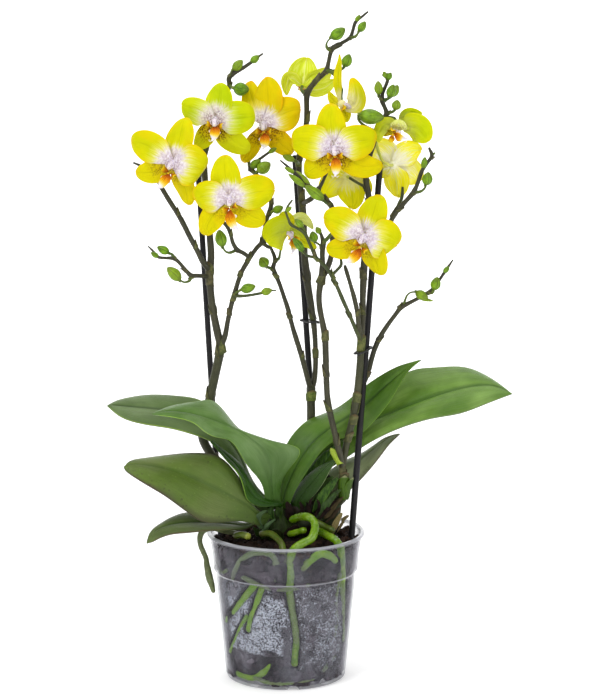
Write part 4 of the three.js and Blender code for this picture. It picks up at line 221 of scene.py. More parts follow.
STAKES = {"stake_left": dict(a=(-49.4, 12.5, 88.5), b=(-66.9, 24.8, 395), r=2.3), "stake_middle": dict(a=(31.8, 31, 30), b=(7, 31, 400.6), r=2.4), "stake_right": dict(a=(47.4, -0.4, 62), b=(71.4, 2.1, 398.6), r=2.5)}
CROWN = [
 [(-3, 3, 92, 7), (-5, 2, 103, 10.5), (-5, 0, 114, 11), (-5, -1, 122, 9), (-4, -1, 128, 5)],
 [(0, 4, 100, 7), (9, 4, 111, 9), (18, 3, 119, 8), (27, 1, 126, 6.5), (34, 0, 132, 4.5)],
 [(14, 1, 104, 8), (24, -1, 111, 9), (31, -2, 118.5, 8), (35.5, -3, 126.5, 6.3), (38.5, -3, 134, 4)],
]
CLIPS = {'clip_middle': ((15.5, 31, 273.3), (20.6, 24.9, 273.3), 3.15, 0), 'clip_right': ((61.2, 1, 255.7), (56.8, -4.5, 255.7), 3.73, 18)}
POT_IN = [(46.0, 2.0), (45.7, 8.5), (47.5, 28), (50.6, 59), (51.7, 70), (52.2, 80), (52.35, 83.0), (54.3, 86.4), (55.1, 97), (56.7, 107), (57.0, 110.3), (57.1, 113)]
POT_NOTCH_TURN = 7.6

# ------------------------------------------------------------------ helpers
def A(p): return np.array(p, float)
def unit(v):
    n = np.linalg.norm(v)
    return v / n if n > 1e-9 else v
def smoothstep(a, b, x):
    t = np.clip((x - a) / (b - a), 0, 1)
    return t * t * (3 - 2 * t)
def spline(P, per=8):
    """Points through every row of P (any number of columns), Catmull-Rom with end rows mirrored."""
    P = A(P)
    if len(P) == 2: return np.array([P[0] + (P[1] - P[0]) * t for t in np.linspace(0, 1, per + 1)])
    Q = np.vstack([2 * P[0] - P[1], P, 2 * P[-1] - P[-2]])
    out = []
    for i in range(1, len(Q) - 2):
        p0, p1, p2, p3 = Q[i - 1], Q[i], Q[i + 1], Q[i + 2]
        for t in np.linspace(0, 1, per, endpoint=False):
            out.append(0.5 * (2 * p1 + (p2 - p0) * t + (2 * p0 - 5 * p1 + 4 * p2 - p3) * t * t + (3 * p1 - p0 - 3 * p2 + p3) * t ** 3))
    out.append(P[-1])
    return np.array(out)
def even(P, step):
    """Rows of P at equal spacing along the line of its first three columns."""
    d = np.r_[0, np.cumsum(np.linalg.norm(np.diff(P[:, :3], axis=0), axis=1))]
    n = max(2, int(round(d[-1] / step)) + 1)
    u = np.linspace(0, d[-1], n)
    return np.column_stack([np.interp(u, d, P[:, k]) for k in range(P.shape[1])]), u
def relax(P, rounds=1):
    P = P.copy()
    for _ in range(rounds): P[1:-1] = 0.25 * P[:-2] + 0.5 * P[1:-1] + 0.25 * P[2:]
    return P
def frames_of(P):
    T = np.gradient(P, axis=0); T /= np.linalg.norm(T, axis=1)[:, None] + 1e-12
    s = np.array([0, 1.0, 0]) if abs(T[0][1]) < 0.9 else np.array([1.0, 0, 0])
    S = []
    for t in T:
        s = unit(s - t * np.dot(s, t)); S.append(s)
    S = np.array(S)
    return T, S, np.cross(T, S)
NOISE = np.random.RandomState(7)
PHASE = NOISE.uniform(0, 6.28, (40, 3)); FREQ = NOISE.normal(0, 1, (40, 3))
def bumps(p, size, seed=0, octaves=10):
    """A smooth seeded field, about -1 to 1, with features of that size in mm."""
    p = np.atleast_2d(p); v = 0
    for i in range(octaves):
        k = (i + seed * 7) % 40
        v = v + np.sin(p @ (FREQ[k] / size * 2.2) + PHASE[k].sum())
    return v / math.sqrt(octaves) * 0.75

class Shape:
    """Gathers closed shells with per-vertex attributes, in mm, and makes one object of them in metres."""
    def __init__(s): s.v, s.f, s.m, s.att, s.n, s.uv = [], [], [], {}, 0, []
    def add(s, verts, faces, mat=0, uv=None, **att):
        verts = np.asarray(verts, float); k = len(verts)
        for name in set(att) | set(s.att):
            s.att.setdefault(name, [np.zeros(s.n)] if s.n else [])
            a = att.get(name, 0.0)
            s.att[name].append(np.full(k, float(a)) if np.isscalar(a) else np.asarray(a, float))
        s.v.append(verts); s.f += [tuple(i + s.n for i in f) for f in faces]; s.m += [mat] * len(faces) if np.isscalar(mat) else list(mat)
        s.n += k
    def object(s, name, mats, node=None, slot=None, sub=0, flat=False):
        me = bpy.data.meshes.new(name)
        me.from_pydata((np.vstack(s.v) * 0.001).tolist(), [], s.f)
        for k, parts in s.att.items():
            me.attributes.new(k, "FLOAT", "POINT").data.foreach_set("value", np.concatenate(parts).astype(np.float32))
        for m in mats: me.materials.append(m)
        me.polygons.foreach_set("material_index", s.m)
        me.polygons.foreach_set("use_smooth", [not flat] * len(s.f))
        me.update(); me.validate(clean_customdata=False)
        ob = bpy.data.objects.new(name, me)
        bpy.context.scene.collection.objects.link(ob)
        if sub:
            md = ob.modifiers.new("smooth", "SUBSURF"); md.levels = md.render_levels = sub
        if node:
            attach(ob, "root")
            for nd in ([node] if isinstance(node, str) else node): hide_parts(nd)
        return ob

def tube(sh, P, sides=12, mat=0, swell=None, cap=1.0, **att):
    """A closed round tube along rows x, y, z, radius. cap is how far the rounded ends stand out, in radii."""
    P = A(P); T, S, B = frames_of(P[:, :3])
    th = np.linspace(0, 2 * math.pi, sides, endpoint=False)
    rings, par, ang = [], [], []
    ends = [(0.0, 1.0)] + [(math.sin(a), math.cos(a)) for a in (0.5, 1.0, 1.35)]
    d = np.r_[0, np.cumsum(np.linalg.norm(np.diff(P[:, :3], axis=0), axis=1))]
    def ring(i, off, k):
        r = P[i, 3] * k
        rr = np.full(sides, r) if swell is None else r * swell(d[i], th)
        return P[i, :3] + T[i] * off + np.outer(rr * np.cos(th), S[i]) + np.outer(rr * np.sin(th), B[i])
    for a, c in ends[:0:-1]: rings.append(ring(0, -a * P[0, 3] * cap, c)); par.append(0)
    for i in range(len(P)): rings.append(ring(i, 0, 1)); par.append(d[i])
    for a, c in ends[1:]: rings.append(ring(-1, a * P[-1, 3] * cap, c)); par.append(d[-1])
    n = len(rings); V = np.vstack(rings)
    F = [(k * sides + j, k * sides + (j + 1) % sides, (k + 1) * sides + (j + 1) % sides, (k + 1) * sides + j) for k in range(n - 1) for j in range(sides)]
    V = np.vstack([V, P[0, :3] - T[0] * P[0, 3] * cap, P[-1, :3] + T[-1] * P[-1, 3] * cap])
    a, b = n * sides, n * sides + 1
    F += [(a, (j + 1) % sides, j) for j in range(sides)] + [(b, (n - 1) * sides + j, (n - 1) * sides + (j + 1) % sides) for j in range(sides)]
    along = np.r_[np.repeat(par, sides), 0, d[-1]]
    round_ = np.r_[np.tile(th / 6.2832, n), 0, 0]
    sh.add(V, F, mat, along=along, part=along / max(d[-1], 1e-6), round=round_, **att)

def shell(sh, G, thick, mat=0, front=None, **att):
    """A closed thin body round a grid of points G (rows, columns, 3). thick is half the thickness at each point; the side turned to front is the upper one."""
    nt, ns = G.shape[:2]
    dt = np.gradient(G, axis=0); ds = np.gradient(G, axis=1)
    N = np.cross(dt, ds); L = np.linalg.norm(N, axis=2)
    N = N / np.maximum(L, 1e-9)[..., None]
    for i in range(nt):  # where a row closes up, take the normal of its neighbour
        if L[i].max() < 1e-6: N[i] = N[i - 1 if i else 1]
    X, Y = G + N * thick[..., None], G - N * thick[..., None]
    V = np.vstack([X.reshape(-1, 3), Y.reshape(-1, 3)]); o = nt * ns
    q = lambda i, j: i * ns + j
    F = []
    for i in range(nt - 1):
        for j in range(ns - 1):
            F.append((q(i, j), q(i + 1, j), q(i + 1, j + 1), q(i, j + 1)))
            F.append((o + q(i, j), o + q(i, j + 1), o + q(i + 1, j + 1), o + q(i + 1, j)))
    rim = [(0, j) for j in range(ns)] + [(i, ns - 1) for i in range(1, nt)] + [(nt - 1, j) for j in range(ns - 2, -1, -1)] + [(i, 0) for i in range(nt - 2, 0, -1)]
    for a, b in zip(rim, rim[1:] + rim[:1]): F.append((q(*a), q(*b), o + q(*b), o + q(*a)))
    two = {k: (np.r_[np.ravel(v), np.ravel(v)] if not np.isscalar(v) else v) for k, v in att.items()}
    low = 1.0 if front is None or float((N @ unit(A(front))).mean()) >= 0 else 0.0
    two["under"] = np.r_[np.full(o, 1 - low), np.full(o, low)]
    sh.add(V, F, mat, **two)

# ------------------------------------------------------------------ materials
class Mat:
    def __init__(s, name):
        s.m = bpy.data.materials.new(name); s.m.use_nodes = True; s.t = s.m.node_tree; s.t.nodes.clear()
        s.out = s.t.nodes.new("ShaderNodeOutputMaterial")
    def put(s, socket, v):
        if isinstance(v, bpy.types.NodeSocket): s.t.links.new(v, socket)
        elif isinstance(v, (tuple, list)) and len(v) == 3 and socket.type == "RGBA": socket.default_value = (*v, 1)
        else: socket.default_value = v
    def node(s, kind, ins=None, **props):
        n = s.t.nodes.new(kind)
        for k, v in props.items(): setattr(n, k, v)
        for k, v in (ins or {}).items(): s.put(n.inputs[k], v)
        return n
    def attr(s, name): return s.node("ShaderNodeAttribute", attribute_name=name).outputs["Fac"]
    def obj(s): return s.node("ShaderNodeTexCoord").outputs["Object"]
    def scaled(s, v, k): return s.node("ShaderNodeVectorMath", {0: v, 1: k}, operation="MULTIPLY").outputs[0]
    def vec(s, x, y, z): return s.node("ShaderNodeCombineXYZ", {0: x, 1: y, 2: z}).outputs[0]
    def xyz(s, v): return s.node("ShaderNodeSeparateXYZ", {0: v}).outputs
    def noise(s, v, scale, detail=3.0, rough=0.55, w=None):
        return s.node("ShaderNodeTexNoise", {"Vector": v, "Scale": scale, "Detail": detail, "Roughness": rough}).outputs["Fac"]
    def voronoi(s, v, scale, feature="F1", rnd=1.0):
        n = s.node("ShaderNodeTexVoronoi", {"Vector": v, "Scale": scale, "Randomness": rnd}, feature=feature)
        return n.outputs["Distance"], n.outputs["Color"] if feature == "F1" else None
    def math(s, op, a, b=0.0, clamp=False): return s.node("ShaderNodeMath", {0: a, 1: b}, operation=op, use_clamp=clamp).outputs[0]
    def step(s, v, a, b, lo=0.0, hi=1.0):
        n = s.node("ShaderNodeMapRange", {"Value": v, "From Min": a, "From Max": b, "To Min": lo, "To Max": hi}, interpolation_type="SMOOTHSTEP")
        return n.outputs[0]
    def lin(s, v, a, b, lo=0.0, hi=1.0): return s.node("ShaderNodeMapRange", {"Value": v, "From Min": a, "From Max": b, "To Min": lo, "To Max": hi}).outputs[0]
    def mix(s, f, a, b, mode="MIX"):
        n = s.node("ShaderNodeMix", data_type="RGBA", blend_type=mode)
        s.put(n.inputs[0], f); s.put(n.inputs[6], a); s.put(n.inputs[7], b)
        return n.outputs[2]
    def ramp(s, v, stops):
        n = s.node("ShaderNodeValToRGB", {0: v}); e = n.color_ramp.elements
        while len(e) > 1: e.remove(e[0])
        e[0].position = stops[0][0]; e[0].color = (*stops[0][1], 1)
        for p, c in stops[1:]: x = e.new(p); x.color = (*c, 1)
        return n.outputs[0]
    def bump(s, h, strength=0.3, dist=0.001, normal=None):
        ins = {"Height": h, "Strength": strength, "Distance": dist}
        if normal is not None: ins["Normal"] = normal
        return s.node("ShaderNodeBump", ins).outputs[0]
    def surface(s, colour, rough=0.5, normal=None, **fixed):
        b = s.node("ShaderNodeBsdfPrincipled")
        s.put(b.inputs["Base Color"], colour); s.put(b.inputs["Roughness"], rough)
        if normal is not None: s.put(b.inputs["Normal"], normal)
        for k, v in fixed.items(): s.put(b.inputs[k.replace("_", " ")], v)
        s.t.links.new(b.outputs[0], s.out.inputs[0])
        return b
def lin(*c):
    """sRGB 0-255 to linear."""
    return tuple(((x / 255) / 12.92 if x / 255 <= 0.04045 else ((x / 255 + 0.055) / 1.055) ** 2.4) for x in c)

def petal_material(name, mid, deep, edge, inner, white=1.0, veins=0.5, white_r=11.5, back=None, sep=None, ray=1.0, heart=None):
    """mid and deep: main colour and its shade; edge: rim tint; inner: colour round the pale centre. reach is the mm from the flower's middle."""
    k = Mat(name); P = k.obj()
    r, s_, t, kind, seed, spots, wht = (k.attr(a) for a in ("reach", "cross", "along01", "kind", "seed", "spots", "pale"))
    # the speckle, and the pale centre of a plain yellow flower, show only weakly on the back of a petal
    spots = k.math("MULTIPLY", spots, k.math("SUBTRACT", 1.0, k.math("MULTIPLY", k.attr("under"), 0.82)))
    if heart is None: wht = k.math("MULTIPLY", wht, k.math("SUBTRACT", 1.0, k.math("MULTIPLY", k.attr("under"), 0.55)))
    isd = k.step(kind, 0.5, 0.9); isl = k.step(kind, 1.5, 1.9)
    big = k.noise(P, 62.0, 2.0); fine = k.noise(P, 420.0, 4.0, 0.65)
    a = k.math("ABSOLUTE", s_)
    # long veins that fan from the base
    vv = k.vec(k.math("MULTIPLY", s_, 9.0), k.math("MULTIPLY", t, 1.3), k.math("MULTIPLY", seed, 31.0))
    vein = k.noise(vv, 1.6, 4.0, 0.6)
    thin = k.noise(k.vec(k.math("MULTIPLY", s_, 26.0), k.math("MULTIPLY", t, 2.0), k.math("MULTIPLY", seed, 17.0)), 1.4, 3.0, 0.6)
    col = k.mix(k.step(big, 0.28, 0.74), mid, deep)
    if sep is not None: col = k.mix(k.math("MULTIPLY", isl, 0.75), col, sep)
    col = k.mix(k.math("MULTIPLY", k.step(vein, 0.48, 0.72), 0.42 * veins), col, tuple(c * 0.66 for c in deep))
    col = k.mix(k.math("MULTIPLY", k.step(thin, 0.5, 0.7), 0.16 * veins), col, tuple(c * 0.7 for c in deep))
    # painted shade: a darker line down the middle of each tepal, the shade of its central groove
    col = k.mix(k.math("MULTIPLY", k.math("MULTIPLY", k.step(a, 0.07, 0.0), k.step(t, 0.95, 0.6)), 0.30), col, tuple(c * 0.62 for c in deep))
    rim = k.step(k.math("ADD", k.math("MAXIMUM", a, k.lin(t, 0.80, 1.0, 0.78, 1.0)), k.math("MULTIPLY", big, 0.16)), 0.94, 1.10)
    warm = k.step(k.math("ADD", k.noise(P, 46.0, 2.0), k.math("MULTIPLY", a, 0.22)), 0.56, 0.78)
    col = k.mix(k.math("MULTIPLY", warm, 0.55), col, tuple(0.5 * (p + q) for p, q in zip(mid, edge)))
    col = k.mix(k.math("MULTIPLY", rim, 0.75), col, edge)
    col = k.mix(k.math("MULTIPLY", k.step(kind, 2.5, 2.9), 0.75), col, k.mix(k.step(vein, 0.4, 0.6), lin(206, 216, 96), lin(226, 230, 170)))
    if back is not None:
        bk = k.mix(k.step(vein, 0.42, 0.70), back[0], back[1])
        bk = k.mix(k.math("MULTIPLY", k.step(a, 0.10, 0.0), 0.6), bk, back[2])
        bk = k.mix(k.math("MULTIPLY", rim, 0.5), bk, edge)
        col = k.mix(k.math("MULTIPLY", k.attr("under"), 0.96), col, bk)
    # creamier ground, then a white-lilac centre with a soft, veined edge. kind 0 petal, 1 dorsal, 2 lateral sepal
    streak = k.math("ADD", k.math("MULTIPLY", k.math("SUBTRACT", vein, 0.5), 13.0 * ray), k.math("MULTIPLY", k.math("SUBTRACT", thin, 0.5), 7.0 * ray))
    rr = k.math("ADD", r, streak)
    cream = k.mix(isl, k.mix(isd, k.step(rr, white_r + 9.0, white_r), k.step(rr, white_r + 5.0, white_r - 2.0)), k.step(rr, white_r - 2.0, white_r - 7.5))
    col = k.mix(k.math("MULTIPLY", k.math("MULTIPLY", cream, wht), 0.60), col, inner)
    w0 = k.step(rr, white_r + 3.8, white_r - 3.2)
    wd = k.step(rr, white_r + 3.0, white_r - 2.5)
    wl = k.step(rr, white_r - 6.0, white_r - 8.6)
    w = k.mix(isl, k.mix(isd, w0, wd), wl)
    heart = heart or (lin(232, 226, 232), lin(200, 182, 200), lin(214, 198, 210))
    lilac = k.mix(k.step(k.noise(P, 560.0, 4.0, 0.7), 0.36, 0.66), heart[0], heart[1])
    lilac = k.mix(k.math("MULTIPLY", k.step(thin, 0.46, 0.64), 0.5), lilac, heart[2])
    col = k.mix(k.math("MULTIPLY", k.math("MULTIPLY", w, wht), 0.95 * white), col, lilac)
    # speckle: small brown-purple dots by the middle, olive-brown rows of dots on the lateral sepals
    isl = k.math("MULTIPLY", isl, k.step(kind, 2.6, 2.3))
    d, _ = k.voronoi(P, 760.0)
    dots = k.step(k.math("ADD", d, k.math("MULTIPLY", fine, 0.35)), 0.80, 0.56)
    dens = k.step(k.noise(P, 240.0, 2.0), 0.30, 0.50)
    band_l = k.math("MULTIPLY", isl, k.step(k.math("ADD", r, k.math("MULTIPLY", streak, 0.35)), 21.0, 12.0))
    reach_p = k.math("MULTIPLY", k.step(k.math("ADD", r, k.math("MULTIPLY", streak, 0.25)), 11.0, 4.5), k.math("SUBTRACT", 1.0, isl))
    f = k.math("MULTIPLY", k.math("MULTIPLY", dots, k.math("ADD", band_l, k.math("MULTIPLY", reach_p, 0.75), clamp=True)), k.math("MULTIPLY", dens, spots), clamp=True)
    col = k.mix(k.math("MULTIPLY", k.math("MULTIPLY", isl, k.step(k.math("ADD", r, k.math("MULTIPLY", streak, 0.5)), 21.0, 8.0)), k.math("MULTIPLY", spots, 0.66)), col, lin(182, 132, 8))
    col = k.mix(k.math("MULTIPLY", f, 0.9), col, k.mix(isl, lin(122, 78, 92), lin(92, 56, 10)))
    h = k.math("ADD", k.math("ADD", k.math("MULTIPLY", vein, 0.9), k.math("MULTIPLY", thin, 0.35)), k.math("MULTIPLY", fine, 0.2))
    nb = k.bump(h, 0.45, 0.0009)
    k.surface(col, k.lin(fine, 0.3, 0.7, 0.40, 0.58), nb, Subsurface_Weight=0.14, Subsurface_Scale=0.003, Subsurface_Radius=(1.0, 0.9, 0.15), Specular_IOR_Level=0.06)
    return k.m

def lip_material():
    k = Mat("lip_orange"); P = k.obj(); t = k.attr("along01"); s_ = k.attr("cross"); kind = k.attr("kind")
    n = k.noise(P, 600.0, 3.0); n2 = k.noise(k.vec(k.math("MULTIPLY", s_, 7.0), k.math("MULTIPLY", t, 2.0), 0.3), 2.0, 3.0)
    tt = k.math("ADD", t, k.math("MULTIPLY", k.math("SUBTRACT", n2, 0.5), 0.35))
    mid = k.ramp(tt, [(0.0, lin(108, 42, 4)), (0.16, lin(160, 72, 0)), (0.30, lin(210, 116, 0)), (0.46, lin(224, 152, 0)), (0.60, lin(232, 186, 16)), (0.72, lin(236, 214, 110)), (0.84, lin(234, 228, 236))])
    side = k.ramp(tt, [(0.0, lin(140, 70, 12)), (0.3, lin(196, 122, 4)), (0.55, lin(220, 170, 4)), (1.0, lin(228, 200, 30))])
    tail = k.mix(k.step(t, 0.0, 0.5), lin(240, 218, 130), lin(238, 232, 240))
    col = k.mix(k.step(kind, 0.5, 0.9), mid, side)
    col = k.mix(k.step(kind, 1.5, 1.9), col, tail)
    cal = k.mix(k.step(n, 0.5, 0.62), lin(240, 196, 40), lin(168, 84, 20))
    col = k.mix(k.step(kind, 2.5, 2.9), col, cal)
    d, _ = k.voronoi(P, 1300.0)
    f = k.math("MULTIPLY", k.step(d, 0.46, 0.28), k.step(tt, 0.7, 0.15), clamp=True)
    col = k.mix(k.math("MULTIPLY", f, 0.7), col, lin(112, 44, 16))
    stripe = k.step(k.noise(k.vec(k.math("MULTIPLY", s_, 14.0), k.math("MULTIPLY", t, 1.2), 0.9), 1.8, 2.0), 0.46, 0.60)
    col = k.mix(k.math("MULTIPLY", k.math("MULTIPLY", stripe, k.step(kind, 1.4, 1.1)), k.math("MULTIPLY", k.step(tt, 0.75, 0.25), 0.6)), col, lin(128, 48, 4))
    k.surface(col, 0.45, k.bump(k.math("ADD", n, n2), 0.4, 0.0005), Specular_IOR_Level=0.08)
    return k.m

def column_material():
    k = Mat("column_white"); P = k.obj(); t = k.attr("along01")
    n = k.noise(P, 900.0, 3.0)
    col = k.mix(k.step(k.math("ADD", t, k.math("MULTIPLY", n, 0.2)), 0.85, 1.05), k.mix(k.step(n, 0.46, 0.64), lin(226, 216, 222), lin(190, 168, 186)), lin(228, 220, 196))
    k.surface(col, 0.55, k.bump(n, 0.4, 0.0005), Specular_IOR_Level=0.1)
    return k.m

def leaf_material(name, top, top2, rim, under, midrib_groove_shade, speckle=0.0, speckle_col=(0.1, 0.05, 0.03), gloss=0.34, hue_noise=28.0, edge_dark=0.0, rib=0.75, pins=0.0):
    k = Mat(name); P = k.obj(); t = k.attr("along01"); s_ = k.attr("cross"); un = k.attr("under")
    a = k.math("ABSOLUTE", s_)
    big = k.noise(P, hue_noise, 3.0); fine = k.noise(P, 480.0, 3.0, 0.6)
    vv = k.vec(k.math("MULTIPLY", s_, 16.0), k.math("MULTIPLY", t, 3.0), k.math("MULTIPLY", k.attr("seed"), 13.0))
    vein = k.noise(vv, 2.4, 4.0, 0.65)
    col = k.mix(k.step(big, 0.3, 0.7), top, top2)
    col = k.mix(k.math("MULTIPLY", k.step(vein, 0.45, 0.7), 0.35), col, tuple(c * 0.72 for c in top))
    # painted shade: a band along the midrib, darker on most leaves, for the shade of the fold there; rib sets its
    # strength
    col = k.mix(k.math("MULTIPLY", k.step(a, 0.14, 0.0), rib), col, midrib_groove_shade)
    if pins:
        pd, _ = k.voronoi(P, 300.0)
        col = k.mix(k.math("MULTIPLY", k.math("MULTIPLY", k.step(pd, 0.20, 0.10), k.step(k.noise(P, 70.0, 2.0), 0.40, 0.55)), pins), col, tuple(min(1, c * 2.1 + 0.04) for c in top))
    col = k.mix(k.step(a, 0.955, 1.0), col, rim)
    # underside colours: partly the leaf's own underside tone, partly painted shade of the side turned away from the
    # lamps
    underside_with_shade = k.mix(k.step(vein, 0.4, 0.7), under, tuple(c * 1.25 for c in under))
    underside_with_shade = k.mix(k.math("MULTIPLY", k.step(a, 0.09, 0.0), 0.7), underside_with_shade, tuple(min(1, c * 1.7) for c in under))
    col = k.mix(k.step(un, 0.4, 0.6), col, underside_with_shade)
    if speckle:
        d, _ = k.voronoi(P, 330.0)
        zone = k.math("MULTIPLY", k.step(k.noise(P, 60.0, 2.0), 0.44, 0.6), k.step(a, 0.35, 0.95))
        f = k.math("MULTIPLY", k.math("MULTIPLY", k.step(k.math("ADD", d, k.math("MULTIPLY", fine, 0.4)), 0.56, 0.36), zone), speckle, clamp=True)
        col = k.mix(f, col, speckle_col)
    if edge_dark: col = k.mix(k.math("MULTIPLY", k.step(k.math("ADD", a, k.math("MULTIPLY", big, 0.3)), 0.95, 1.15), edge_dark), col, speckle_col)
    broad = k.noise(k.vec(k.math("MULTIPLY", s_, 1.4), k.math("MULTIPLY", t, 3.2), k.math("MULTIPLY", k.attr("seed"), 7.0)), 1.6, 2.0)
    col = k.mix(k.math("MULTIPLY", k.step(broad, 0.40, 0.66), 0.34), col, tuple(c * 0.48 for c in top))
    # painted shade: the blade darkens towards its base, standing for the crown's shadow on the leaf bases
    col = k.mix(k.math("MULTIPLY", k.step(t, 0.50, 0.04), 0.70), col, tuple(c * f for c, f in zip(top, (0.28, 0.42, 0.10))))
    h = k.math("ADD", k.math("MULTIPLY", vein, 1.0), k.math("MULTIPLY", fine, 0.35))
    rough = k.lin(k.math("ADD", big, k.math("MULTIPLY", fine, 0.5)), 0.5, 1.1, gloss, gloss + 0.16)
    k.surface(col, rough, k.bump(h, 0.4, 0.001), Specular_IOR_Level=0.22, Coat_Weight=0.03, Coat_Roughness=0.25)
    return k.m

def stem_material():
    k = Mat("stem_olive_brown"); P = k.obj(); th = k.attr("round"); al = k.attr("along"); g = k.attr("green")
    big = k.noise(P, 60.0, 3.0)
    ang = k.math("MULTIPLY", th, 6.2832)
    vv = k.vec(k.math("MULTIPLY", k.math("SINE", ang), 1.6), k.math("MULTIPLY", k.math("COSINE", ang), 1.6), k.math("MULTIPLY", al, 0.05))
    streak = k.noise(vv, 4.0, 4.0, 0.65); fine = k.noise(P, 900.0, 3.0)
    col = k.mix(k.step(big, 0.3, 0.7), lin(48, 47, 34), lin(62, 60, 43))
    col = k.mix(k.math("MULTIPLY", k.step(streak, 0.42, 0.68), 0.55), col, lin(82, 82, 58))
    col = k.mix(k.math("MULTIPLY", k.step(fine, 0.56, 0.72), 0.5), col, lin(36, 32, 27))
    col = k.mix(g, col, k.mix(k.step(big, 0.35, 0.65), lin(74, 104, 28), lin(104, 128, 40)))
    col = k.mix(k.attr("lime"), col, k.mix(k.step(big, 0.35, 0.65), lin(186, 196, 60), lin(212, 214, 110)))
    k.surface(col, k.lin(fine, 0.3, 0.7, 0.36, 0.52), k.bump(k.math("ADD", streak, k.math("MULTIPLY", fine, 0.4)), 0.4, 0.0007), Specular_IOR_Level=0.28)
    return k.m

def bract_material():
    k = Mat("bract_green_brown"); P = k.obj(); t = k.attr("along01"); s_ = k.attr("cross")
    n = k.noise(P, 300.0, 4.0); vein = k.noise(k.vec(k.math("MULTIPLY", s_, 8.0), k.math("MULTIPLY", t, 1.5), 0.5), 2.5, 3.0)
    g = k.attr("green")
    col = k.mix(g, k.mix(k.step(n, 0.4, 0.62), lin(62, 56, 40), lin(88, 80, 56)), k.mix(k.step(n, 0.4, 0.62), lin(96, 128, 34), lin(140, 160, 52)))
    col = k.mix(k.math("MULTIPLY", k.step(k.math("ADD", t, k.math("MULTIPLY", n, 0.3)), 0.85, 1.1), 0.8), col, lin(84, 64, 42))
    col = k.mix(k.math("MULTIPLY", k.step(vein, 0.5, 0.68), 0.4), col, lin(62, 64, 34))
    gs = k.attr("grass")
    col = k.mix(k.step(gs, 0.2, 0.5), col, k.mix(k.math("MULTIPLY", k.step(vein, 0.42, 0.66), 0.8), lin(62, 92, 4), lin(40, 66, 4)))
    col = k.mix(k.math("MULTIPLY", k.step(gs, 0.2, 0.5), k.step(t, 0.88, 0.98)), col, lin(132, 136, 96))
    col = k.mix(k.step(gs, 1.2, 1.5), col, k.mix(k.step(vein, 0.4, 0.6), lin(124, 156, 18), lin(170, 184, 74)))
    k.surface(col, 0.5, k.bump(vein, 0.4, 0.0005), Specular_IOR_Level=0.25)
    return k.m

def bud_material():
    k = Mat("bud_green"); P = k.obj(); t = k.attr("along01"); th = k.attr("round"); rip = k.attr("seed")
    n = k.noise(P, 230.0, 3.0); fine = k.noise(P, 1400.0, 2.0)
    col = k.mix(k.step(n, 0.32, 0.68), lin(64, 104, 2), lin(106, 150, 6))
    col = k.mix(k.math("MULTIPLY", k.step(k.math("ADD", t, k.math("MULTIPLY", n, 0.25)), 0.72, 1.12), 0.75), col, lin(74, 92, 24))
    col = k.mix(k.math("MULTIPLY", k.step(t, 0.3, 0.0), 0.7), col, lin(50, 78, 18))
    rib = k.noise(k.vec(k.math("MULTIPLY", k.math("SINE", k.math("MULTIPLY", th, 6.2832)), 2.4), k.math("MULTIPLY", k.math("COSINE", k.math("MULTIPLY", th, 6.2832)), 2.4), k.math("MULTIPLY", t, 0.9)), 2.6, 3.0)
    col = k.mix(k.math("MULTIPLY", k.step(rib, 0.48, 0.66), 0.45), col, lin(136, 176, 34))
    seam = k.math("ABSOLUTE", k.math("SINE", k.math("MULTIPLY", th, 9.4248)))
    col = k.mix(k.math("MULTIPLY", k.step(seam, 0.24, 0.0), 0.75), col, lin(40, 66, 14))
    col = k.mix(k.math("MULTIPLY", k.step(fine, 0.58, 0.72), 0.25), col, lin(160, 200, 90))
    col = k.mix(k.math("MULTIPLY", rip, 0.5), col, lin(190, 196, 60))
    k.surface(col, 0.36, k.bump(k.math("ADD", fine, rib), 0.35, 0.0006), Specular_IOR_Level=0.22, Coat_Weight=0.06, Coat_Roughness=0.2)
    return k.m

def root_material(name, a, b, tip, mott, gloss=0.5, low=None, coat=0.10):
    k = Mat(name); P = k.obj(); t = k.attr("part"); n = k.noise(P, 120.0, 4.0); fine = k.noise(P, 800.0, 4.0, 0.7)
    col = k.mix(k.step(n, 0.3, 0.7), a, b)
    d, _ = k.voronoi(P, 260.0)
    col = k.mix(k.math("MULTIPLY", k.step(k.math("ADD", d, k.math("MULTIPLY", fine, 0.5)), 0.75, 0.45), 0.28), col, mott)
    col = k.mix(k.math("MULTIPLY", k.attr("tip"), 1.0), col, tip)
    col = k.mix(k.math("MULTIPLY", k.attr("dirt"), k.step(n, 0.4, 0.6)), col, lin(58, 48, 34))
    if low is not None:
        zz = k.math("ADD", k.xyz(P)[2], k.math("MULTIPLY", k.math("SUBTRACT", n, 0.5), 0.03))
        col = k.mix(k.math("MULTIPLY", k.math("MULTIPLY", k.step(zz, 0.084, 0.072), k.step(zz, 0.028, 0.038)), 0.85), col, k.mix(k.step(n, 0.35, 0.65), low, tuple(c * 0.6 for c in low)))
    k.surface(col, k.lin(fine, 0.3, 0.7, gloss - 0.08, gloss + 0.12), k.bump(k.math("ADD", n, k.math("MULTIPLY", fine, 0.5)), 0.45, 0.0008), Specular_IOR_Level=0.3, Coat_Weight=coat, Coat_Roughness=0.12)
    return k.m

def stick_material():
    k = Mat("stick_dark"); P = k.obj(); th = k.attr("round"); al = k.attr("along")
    ang = k.math("MULTIPLY", th, 6.2832)
    vv = k.vec(k.math("MULTIPLY", k.math("SINE", ang), 2.0), k.math("MULTIPLY", k.math("COSINE", ang), 2.0), k.math("MULTIPLY", al, 0.03))
    g = k.noise(vv, 5.0, 5.0, 0.7); n = k.noise(P, 90.0, 3.0)
    col = k.mix(k.step(g, 0.4, 0.7), lin(14, 13, 16), lin(28, 26, 30))
    col = k.mix(k.math("MULTIPLY", k.step(n, 0.55, 0.75), 0.3), col, lin(42, 38, 40))
    k.surface(col, k.lin(g, 0.3, 0.7, 0.4, 0.55), k.bump(g, 0.35, 0.0005), Specular_IOR_Level=0.3)
    return k.m

